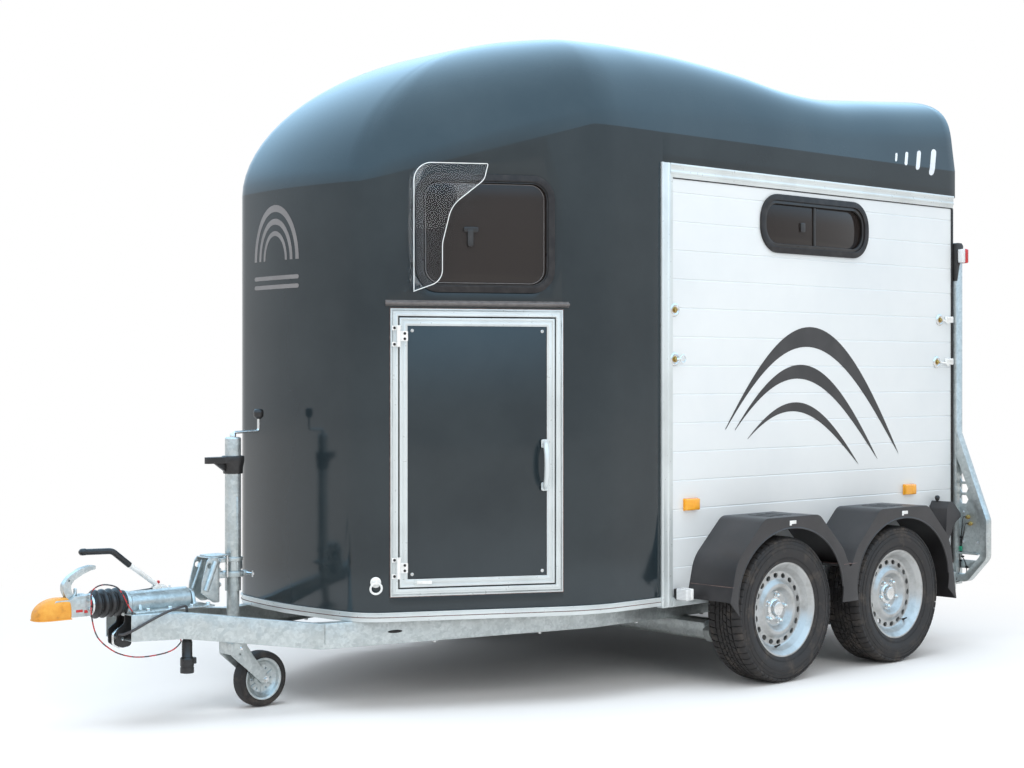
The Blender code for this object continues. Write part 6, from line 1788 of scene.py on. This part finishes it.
HOLDERS = ((0.895, 0.588), (0.908, 0.5575))
holder_line = bent(mm([(0, 20), (7, 20), (7.8, 8), (10.5, 6), (10.5, 0), (0, 0)]), mm([0, 2, 1, 1, 0, 0]), 3)
holders = [turned("bulb_holder", holder_line, (x, PLATE_Y, z), "Y", 24) for x, z in HOLDERS]
both_sides(joined("bulb_holders", *holders), brass)
both_sides(block("wire_connector", (0.849, 2.113, 0.425), (0.862, 2.1228, 0.448), 0.002), green_plastic)
WIRES = (
    (
        (0.895, 2.103, 0.588), (0.884, 2.101, 0.589), (0.87, 2.113, 0.572), (0.862, 2.1195, 0.535),
        (0.856, 2.12, 0.485), (0.855, 2.12, 0.446)),
    (
        (0.908, 2.103, 0.5575), (0.898, 2.101, 0.559), (0.882, 2.113, 0.545), (0.87, 2.1195, 0.51),
        (0.861, 2.12, 0.475), (0.857, 2.12, 0.446)),
    (
        (0.853, 2.12, 0.426), (0.852, 2.119, 0.395), (0.854, 2.116, 0.35), (0.854, 2.102, 0.315),
        (0.846, 2.09, 0.285), (0.83, 2.085, 0.28)),
    (
        (0.857, 2.12, 0.426), (0.864, 2.1195, 0.4), (0.878, 2.119, 0.378), (0.888, 2.118, 0.345),
        (0.886, 2.115, 0.318), (0.872, 2.101, 0.292), (0.85, 2.088, 0.28), (0.83, 2.084, 0.276)),)
wire_bars = [bar("wire", smooth_route(route), 0.0021, 8) for route in WIRES]
for x, z in ((0.8562, 0.49), (0.864, 0.4), (0.8525, 0.38), (0.8875, 0.352)):
    wire_bars.append(block("wire_clip", (x - 0.007, 2.1165, z - 0.004), (x + 0.009, 2.1232, z + 0.004), 0.0015))
both_sides(joined("lamp_wires", *wire_bars), seal_rubber)
both_sides(block("junction_box", (0.8, 2.066, 0.268), (0.846, 2.09, 0.292), 0.004), white_plastic)

# %% Tail lamps
both_sides(block("lamp_body", (0.862, 2.1268, 0.44), (0.95, 2.16, 0.6), 0.004, 3), smooth_black)
bands = ((0.444, 0.496, red_lens), (0.4975, 0.534, white_lens), (0.5355, 0.596, amber_lens))
for i, (low, high, lens) in enumerate(bands):
    piece = block(f"lamp_lens_{i}", (0.865, 2.156, low), (0.947, 2.169, high), 0.005, 4)
    both_sides(piece, lens, replaces="tail_lamp_left" if i == 0 else ())
both_sides(block("reflector_mount", (0.855, 2.141, 0.622), (0.925, 2.147, 0.644), 0.003), smooth_black)
triangle = plate(
    "triangle_reflector", [rounded(mm([(858, 620), (922, 620), (890, 674)]), [0.006] * 3, steps=5)], -2.153, -2.1465,
    "Y")
both_sides(soften(triangle, 0.001), red_lens)

cap = plate(
    "post_cap",
    [rounded(
        mm([(2088, 1700), (2096, 1700), (2120, 1800), (2144, 1815), (2144, 1868), (2130, 1880), (2088, 1880)]),
        mm([3, 4, 20, 6, 8, 8, 10]), steps=5)], 0.7985, 0.853, "X")
both_sides(soften(cap, 0.003, 3), smooth_black)
white_half = block("marker_white", (0.853, 2.096, 1.786), (0.883, 2.119, 1.85), 0.005, 4)
red_half = block("marker_red", (0.853, 2.119, 1.784), (0.886, 2.142, 1.852), 0.007, 4)
both_sides(white_half, white_lens)
both_sides(red_half, red_lens)
strip = plate("corner_strip", [rectangle(0.805, 0.828, 2.068, 2.0895, 0.003)], 1.88, 2.08)
both_sides(soften(strip, 0.001), profile_metal)
print("rear frame made")

# %% [markdown]
# ## Ramp and curtain
# The ramp is a plank panel in an aluminium frame with rubber round it, held by two latches, and rides on its hinge.
# Its lower half carries a blank plate. Above it hangs the rear curtain, one cloth with a hem, laid out flat in its
# own UV map so that the weave follows the cloth.

# %% Ramp
RAMP_X, RAMP_FRONT, RAMP_BACK, RAMP_LOW, RAMP_TOP = 0.792, 2.096, 2.126, 0.345, 1.84
RAMP_HINGES = (0.25, 0.64)  # from the middle, to both sides
frame_w = 0.055
frame_plate = plate(
    "ramp_frame",
    [
        rectangle(-RAMP_X, RAMP_X, RAMP_LOW, RAMP_TOP, 0.01),
        rectangle(-RAMP_X + frame_w, RAMP_X - frame_w, RAMP_LOW + frame_w, RAMP_TOP - frame_w, 0.004)[::-1]],
    -RAMP_BACK, -RAMP_FRONT, "Y")
finished(soften(frame_plate, 0.003, 3), profile_metal, "ramp", "ramp")
ramp_planks = []
rows = 12
inside_low, inside_high = RAMP_LOW + frame_w, RAMP_TOP - frame_w
for i in range(rows):
    low = inside_low + (inside_high - inside_low) * i / rows
    high = inside_low + (inside_high - inside_low) * (i + 1) / rows
    ramp_planks.append(block(
        "ramp_plank", (-RAMP_X + frame_w - 0.002, RAMP_FRONT + 0.003, low + 0.0006),
        (RAMP_X - frame_w + 0.002, RAMP_BACK - 0.004, high - 0.0006), 0.0022, 2))
finished(joined("ramp_planks", *ramp_planks), plank, "ramp")
tread_mat = block(
    "ramp_mat", (-RAMP_X + 0.075, RAMP_FRONT - 0.0005, RAMP_LOW + 0.07),
    (RAMP_X - 0.075, RAMP_FRONT + 0.0035, RAMP_TOP - 0.07), 0.001)
battens = [
    block("batten", (-RAMP_X + 0.12, RAMP_FRONT - 0.004, z - 0.014), (RAMP_X - 0.12, RAMP_FRONT, z + 0.014), 0.0015)
    for z in [0.5 + 0.18 * k for k in range(7)]]
finished(joined("ramp_inside_mat", tread_mat, *battens), mat_rubber, "ramp")
pin = bar("ramp_pin", [(-0.818, 2.115, 0.36), (0.818, 2.115, 0.36)], 0.0095, 24)
hinge_plates = [
    block(
        "ramp_hinge", (s * at - 0.032, RAMP_BACK - 0.001, 0.352), (s * at + 0.032, RAMP_BACK + 0.0035, 0.43), 0.0015)
    for s in (1, -1) for at in RAMP_HINGES]
knuckles = [
    bar("ramp_knuckle", [(s * at - 0.03, 2.115, 0.36), (s * at + 0.03, 2.115, 0.36)], 0.0135, 24) for s in (1, -1)
    for at in RAMP_HINGES]
hinge_bolts = fastener(
    "ramp_bolts",
    [
        (s * at + dx, RAMP_BACK + 0.0035, z) for s in (1, -1) for at in RAMP_HINGES for dx in (-0.018, 0.018)
        for z in (0.386, 0.414)], (0, 1, 0), 0.0055, 0.004)
finished(joined("ramp_hinges", pin, *hinge_plates, *knuckles), galvanised, "ramp")
finished(hinge_bolts, plated, "ramp")
handles = []
for s in (1, -1):
    handles.append(bar(
        "ramp_handle",
        [
            (s * 0.655 - 0.06, RAMP_BACK, 1.5), (s * 0.655 - 0.06, RAMP_BACK + 0.035, 1.5),
            (s * 0.655 + 0.06, RAMP_BACK + 0.035, 1.5), (s * 0.655 + 0.06, RAMP_BACK, 1.5)], 0.007, 16, bend=0.018))
    handles.append(block(
        "ramp_keeper", (s * 0.765 - 0.016, RAMP_BACK - 0.001, 1.345), (s * 0.765 + 0.016, RAMP_BACK + 0.01, 1.405),
        0.003))
finished(joined("ramp_handles", *handles), plated, "ramp")
blank_plate = block("blank_plate", (-0.26, RAMP_BACK - 0.001, 0.52), (0.26, RAMP_BACK + 0.0025, 0.63), 0.0012)
finished(blank_plate, white_plastic, "ramp")
plate_rim = plate(
    "plate_holder",
    [rectangle(-0.268, 0.268, 0.512, 0.638, 0.01), rectangle(-0.257, 0.257, 0.523, 0.627, 0.004)[::-1]],
    -RAMP_BACK - 0.0045, -RAMP_BACK + 0.0005, "Y")
finished(soften(plate_rim, 0.0012), smooth_black, "ramp")
seal_edge = plate(
    "ramp_seal",
    [
        rectangle(-RAMP_X + 0.006, RAMP_X - 0.006, RAMP_LOW + 0.008, RAMP_TOP - 0.006, 0.01),
        rectangle(-RAMP_X + 0.018, RAMP_X - 0.018, RAMP_LOW + 0.02, RAMP_TOP - 0.018, 0.006)[::-1]],
    -RAMP_FRONT - 0.0005, -RAMP_FRONT + 0.0035, "Y")
finished(soften(seal_edge, 0.001), seal_rubber, "ramp")
latch_bodies = []
for s in (1, -1):
    latch_bodies.append(block("ramp_latch", (s * 0.826 - 0.01, 2.1408, 1.35), (s * 0.826 + 0.01, 2.15, 1.4), 0.003))
    latch_bodies.append(bar(
        "ramp_latch_arm", [(s * 0.826, 2.148, 1.398), (s * 0.826, 2.156, 1.44), (s * 0.826, 2.156, 1.5)], 0.005, 16,
        bend=0.02))
finished(joined("ramp_latches", *latch_bodies), plated)
print("ramp made")

# %% Curtain
CURTAIN_Y, CURTAIN_LOW = 2.0625, 1.795
inner_arch = []
for point in roof_column(Vector((SIDE_X - 0.022, CURTAIN_Y)), CREASE_SIDE, CURTAIN_Y, nose_fullness(CURTAIN_Y), 0):
    inner_arch.append((min(point.x, 0.7975), point.z - 0.03))


def arch_height(x):
    """Height of the curtain's upper edge at x."""
    for (x0, z0), (x1, z1) in zip(inner_arch, inner_arch[1:]):
        if x1 <= abs(x) <= x0 and x0 > x1:
            return z0 + (z1 - z0) * (x0 - abs(x)) / (x0 - x1)
    return inner_arch[-1][1] if abs(x) < 0.1 else inner_arch[0][1]


CURTAIN_WIDTH = 1.592
STUD_X = 0.787
curtain = grid("curtain", 96, 36)
for vertex in curtain.data.vertices:
    x, share = CURTAIN_WIDTH * vertex.co.x, vertex.co.y + 0.5
    z = CURTAIN_LOW + (arch_height(x) - CURTAIN_LOW) * share
    # two soft waves, level at the upper and lower edges
    fold = 0.003 * sin(11.0 * x + 0.8 * sin(3.0 * z)) + 0.0016 * sin(27.0 * x + 2.0 * z)
    vertex.co = (x, CURTAIN_Y + fold * sin(pi * share), z)
layer = curtain.data.uv_layers.active
layer.name = "cloth"
for loop in curtain.data.loops:
    place = curtain.data.vertices[loop.vertex_index].co
    layer.data[loop.index].uv = (place.x, place.z)
modify(curtain, "SOLIDIFY", thickness=0.0014, offset=0)
soften(curtain, 0)
finished(curtain, curtain_cloth, replaces="rear_curtain")
hem = block(
    "curtain_hem", (-0.797, CURTAIN_Y - 0.0035, CURTAIN_LOW - 0.003), (0.797, CURTAIN_Y + 0.0035, CURTAIN_LOW + 0.03),
    0.003, 3)
sides_of_hem = [
    block(
        "curtain_edge", (s * STUD_X - 0.01, CURTAIN_Y - 0.003, CURTAIN_LOW + 0.024),
        (s * STUD_X + 0.01, CURTAIN_Y + 0.003, 2.26), 0.0025, 3) for s in (1, -1)]
finished(joined("curtain_hem", hem, *sides_of_hem), seal_rubber)
studs_at = [(STUD_X * s, CURTAIN_Y + 0.0032, z) for s in (1, -1) for z in (1.86, 1.99, 2.12, 2.24)]
stud_heads = fastener("curtain_studs", studs_at, (0, 1, 0), 0.006, 0.003, 20)
finished(stud_heads, plated)

# %% [markdown]
# ## Inside
# Behind the windows and the open ramp one sees a padded partition, a padded bar before and behind it, and rubber
# matting over the whole floor. The pads are shaped one by one: a turned sleeve, and two close grids, each blown up
# between its seams.

# %% Bars, partition and mat
for bar_name, y in (("breast_bar", 0.1285), ("rump_bar", 1.9905)):
    sleeve_line = mm([(0, -799), (19, -799), (19, -740)])
    pads = 6
    for k in range(pads):
        start, length = -0.735 + 0.2465 * k, 0.237
        for j in range(13):
            share = j / 12
            sleeve_line.append((0.0205 + 0.0042 * sin(pi * share) ** 0.35, start + length * share))
    sleeve_line += mm([(19, 740), (19, 799), (0, 799)])
    pad = soften(spun(bar_name + "_pad", sleeve_line, (0, y, 1.319), "X", 40), 0, smooth=60)
    finished(pad, vinyl, replaces=bar_name)
    ends = [
        block("bar_socket", (s * 0.796 - 0.0035, y - 0.032, 1.287), (s * 0.796 + 0.0035, y + 0.032, 1.351), 0.003)
        for s in (1, -1)]
    finished(joined(bar_name + "_sockets", *ends), galvanised)

across, high = 72, 30
y0, y1, z0, z1 = 0.156, 1.963, 0.902, 1.618
halves = []
for side in (1, -1):
    half = grid("partition_half", across, high)
    for vertex in half.data.vertices:
        u = round((vertex.co.x + 0.5) * across) / across
        v = round((vertex.co.y + 0.5) * high) / high
        rise = abs(sin(pi * u * 6)) ** 0.4 * abs(sin(pi * v * 3)) ** 0.4
        rim = min(1.0, 22.4 * min(u, 1 - u)) ** 0.5 * min(1.0, 10.8 * min(v, 1 - v)) ** 0.5
        vertex.co = (side * (0.01 * rim + 0.0085 * rise), y0 + (y1 - y0) * u, z0 + (z1 - z0) * v)
    halves.append(half)
partition = soften(weld(joined("partition_pad", *halves), 0.0004), 0, smooth=70)
finished(partition, vinyl, replaces="partition")
finished(from_cad("floor", "floor_panel", 0.0015), mat_rubber, replaces="floor")
finished(block("stall_mat", (-0.78, 0.12, 0.3656), (0.78, 2.05, 0.371), 0.002), mat_rubber)
print("inside made")

# %% [markdown]
# ## Side fittings
# Amber side markers sit over the fender's ends and a white position lamp in front of it. Round plated cups, each with
# its bolt, mark where the inner bars are fixed; the rear ones have a latch arm to the post. The wheel chock hangs
# behind.

# %% Markers, cups, chock and position lamp
WALL_X = 0.8303
MARKER_PARTS = (
    # part, inner face, outer face, rear end, front end, half height, edge, its steps
    ("base", 0, 0.006, -0.0425, 0.0425, 0.0245, 0.002, 2), ("lens", 0.004, 0.02, -0.041, 0.041, 0.0235, 0.006, 4),
    ("reflector", 0.0185, 0.0212, 0.002, 0.035, 0.017, 0.0015, 2))
for i, (y, z) in enumerate(((0.244, 0.736), (1.733, 0.732))):
    for part, inside, outside, y0, y1, half, edge, steps in MARKER_PARTS:
        low, high = (WALL_X + inside, y + y0, z - half), (WALL_X + outside, y + y1, z + half)
        both_sides(block(f"marker_{part}_{i}", low, high, edge, steps), amber_lens)

cup_line = bent(mm([(0, 4), (16.5, 4), (19, 7.5), (26.5, 5), (28, 0), (0, 0)]), mm([0, 2, 3, 6, 1, 0]), 4)
CUPS = ((0.15, 1.516), (0.15, 1.319), (1.981, 1.514), (1.958, 1.317))
cups = [turned("cup", cup_line, (WALL_X, y, z), "X", 40) for y, z in CUPS]
cup_bolts = fastener("cup_bolts", [(WALL_X + 0.0035, y, z) for y, z in CUPS], (1, 0, 0), 0.0085, 0.008)
both_sides(joined("bar_cups", *cups), plated)
both_sides(cup_bolts, brass)
ring = [
    (WALL_X + 0.014, 0.186 + 0.015 * cos(2 * pi * k / 24), 1.321 + 0.015 * sin(2 * pi * k / 24)) for k in range(25)]
hook = bar("cup_hook", [(WALL_X + 0.01, 0.152, 1.319), (WALL_X + 0.014, 0.172, 1.321)], 0.004, 12)
both_sides(joined("tether_ring", bar("tether_ring", ring, 0.0028, 12), hook), plated)
latch_parts = []
for y, z in CUPS[2:]:
    latch_parts.append(block(
        "latch_arm", (WALL_X + 0.001, 2.022, z - 0.012), (WALL_X + 0.01, 2.085, z + 0.018), 0.003))
    latch_parts.append(bar(
        "latch_rod",
        [(WALL_X + 0.012, y + 0.012, z), (WALL_X + 0.012, 2.01, z - 0.004), (WALL_X + 0.012, 2.04, z - 0.016)],
        0.0042, 16, bend=0.008))
    latch_parts.append(bar(
        "latch_grip", [(WALL_X + 0.012, 2.026, z + 0.01), (WALL_X + 0.012, 2.06, z + 0.012)], 0.0055, 16))
both_sides(joined("bar_latches", *latch_parts), white_plastic)

chock_line = rounded(
    mm([
        (1886.5, 500), (1898, 640), (1918, 672), (1942, 670), (2008, 614), (2010, 598), (1964, 572), (1930, 522),
        (1910, 492)]), mm([8, 30, 10, 12, 6, 6, 20, 40, 6]), steps=6)
chock = soften(plate("rubber_chock", [chock_line], WALL_X + 0.001, WALL_X + 0.099, "X"), 0.005, 4)
both_sides(chock, grained, replaces="wheel_chock_left")
chock_parts = [
    block("chock_rib", (WALL_X + 0.022 + 0.03 * k, 1.93, 0.6), (WALL_X + 0.026 + 0.03 * k, 1.99, 0.638), 0.001)
    for k in range(3)]
chock_parts.append(turned(
    "chock_knob", mm([(0, 30), (8, 28), (12, 20), (10, 10), (6, 4), (6, 0), (0, 0)]), (0.862, 1.918, 0.668), steps=24
))
chock_parts.append(block("chock_holder", (WALL_X, 1.9, 0.54), (WALL_X + 0.003, 2.03, 0.65), 0.001))
both_sides(joined("chock_fittings", *chock_parts), smooth_black)

both_sides(block("lamp_bracket", (WALL_X, 0.145, 0.364), (0.862, 0.185, 0.404), 0.004), smooth_black)
front_lens = block("position_lens", (0.857, 0.13, 0.3625), (0.915, 0.156, 0.4095), 0.006, 4)
both_sides(front_lens, white_lens, replaces="position_lamp_left")
both_sides(block("position_back", (0.857, 0.156, 0.363), (0.914, 0.1748, 0.409), 0.005, 3), white_plastic)
print("side fittings made")

# %% [markdown]
# ## Printed film
# Printed film decorates the body: tapered sweeps along the side, nested arches on the nose and slanted bars on the
# roof's flank. Each shape is cut out as a thin plate, sliced into narrow strips so that it can bend, and laid on the
# curved moulding.

# %% Film
def sliced(piece, axis, low, high, step):
    """Cut a plate across at even places, so that it can follow a curve."""
    normal = [0.0, 0.0, 0.0]
    normal[axis] = 1.0
    pick(piece)
    bpy.ops.object.mode_set(mode="EDIT")
    count = round((high - low) / step)
    for i in range(1, count):
        spot = [0.0, 0.0, 0.0]
        spot[axis] = low + (high - low) * i / count
        bpy.ops.mesh.select_all(action="SELECT")
        bpy.ops.mesh.bisect(plane_co=spot, plane_no=normal)
    bpy.ops.object.mode_set(mode="OBJECT")
    return piece


def laid_on(piece, target, axis, sign, surface):
    """Move each point of a thin plate so that the plate's height above surface becomes height above the target."""
    away = Vector((0, 0, 0))
    away[axis] = sign
    for vertex in piece.data.vertices:
        proud = (vertex.co[axis] - surface) * sign
        start = vertex.co.copy()
        start[axis] = surface + sign * 0.4
        found, spot, _, _ = target.ray_cast(start, -away)
        if found:
            vertex.co = spot + away * proud
    return piece


def sweep(start, end, low, lift, width, turn):
    """A tapered band along an arc: points down one side and back along the other."""
    upper, lower = [], []
    for i in range(49):
        share = i / 48
        y = start + (end - start) * share
        z = low + lift * sin(pi * (turn + (0.98 - turn) * share))
        half = width * sin(pi * min(1.0, 0.02 + share * 0.98)) ** 0.85 * (0.55 + 0.6 * share) / 2
        upper.append((y, z + half))
        lower.append((y, z - half))
    return upper + lower[::-1]


sweeps = [
    sweep(0.46, 1.66, 0.86, 0.56, 0.105, 0.1), sweep(0.52, 1.5, 0.85, 0.42, 0.075, 0.14),
    sweep(0.6, 1.36, 0.84, 0.28, 0.05, 0.18)]
both_sides(joined("side_film", *[plate("sweep", [outline], 0.83045, 0.8308, "X") for outline in sweeps]), dark_film)
shell = bpy.data.objects["moulding"]
arches = []
for radius, wide in ((0.15, 0.02), (0.112, 0.017), (0.078, 0.014)):
    outer_arc, inner_arc = [
        [(-0.085 + r * cos(pi * (i / 40)), 1.7 + 1.35 * r * sin(pi * (i / 40))) for i in range(41)]
        for r in (radius + wide / 2, radius - wide / 2)]
    arches.append(plate("arch", [outer_arc + inner_arc[::-1]], 1.1404, 1.1408, "Y"))
bars_below = [
    plate("bar", [rectangle(-0.245, 0.075, z, z + 0.016, 0.008, 5)], 1.1404, 1.1408, "Y") for z in (1.625, 1.59)]
nose_film = sliced(joined("nose_film", *arches, *bars_below), 0, -0.26, 0.09, 0.016)
finished(laid_on(nose_film, shell, 1, -1, -1.14), grey_film)
slanted = []
for y, height, wide in ((1.64, 0.04, 0.016), (1.715, 0.064, 0.022), (1.805, 0.092, 0.03), (1.915, 0.126, 0.04)):
    outline = [
        (y + p.x + 0.35 * (p.y - height / 2), 2.25 + p.y - height / 2)
        for p in rectangle(0, wide, 0, height, wide * 0.45, 6)]
    slanted.append(plate("slanted_bar", [outline], 0.8304, 0.8308, "X"))
roof_film = sliced(joined("roof_film", *slanted), 2, 2.16, 2.34, 0.015)
laid_on(roof_film, shell, 0, 1, 0.83)
both_sides(roof_film, white_film)
print("film laid")
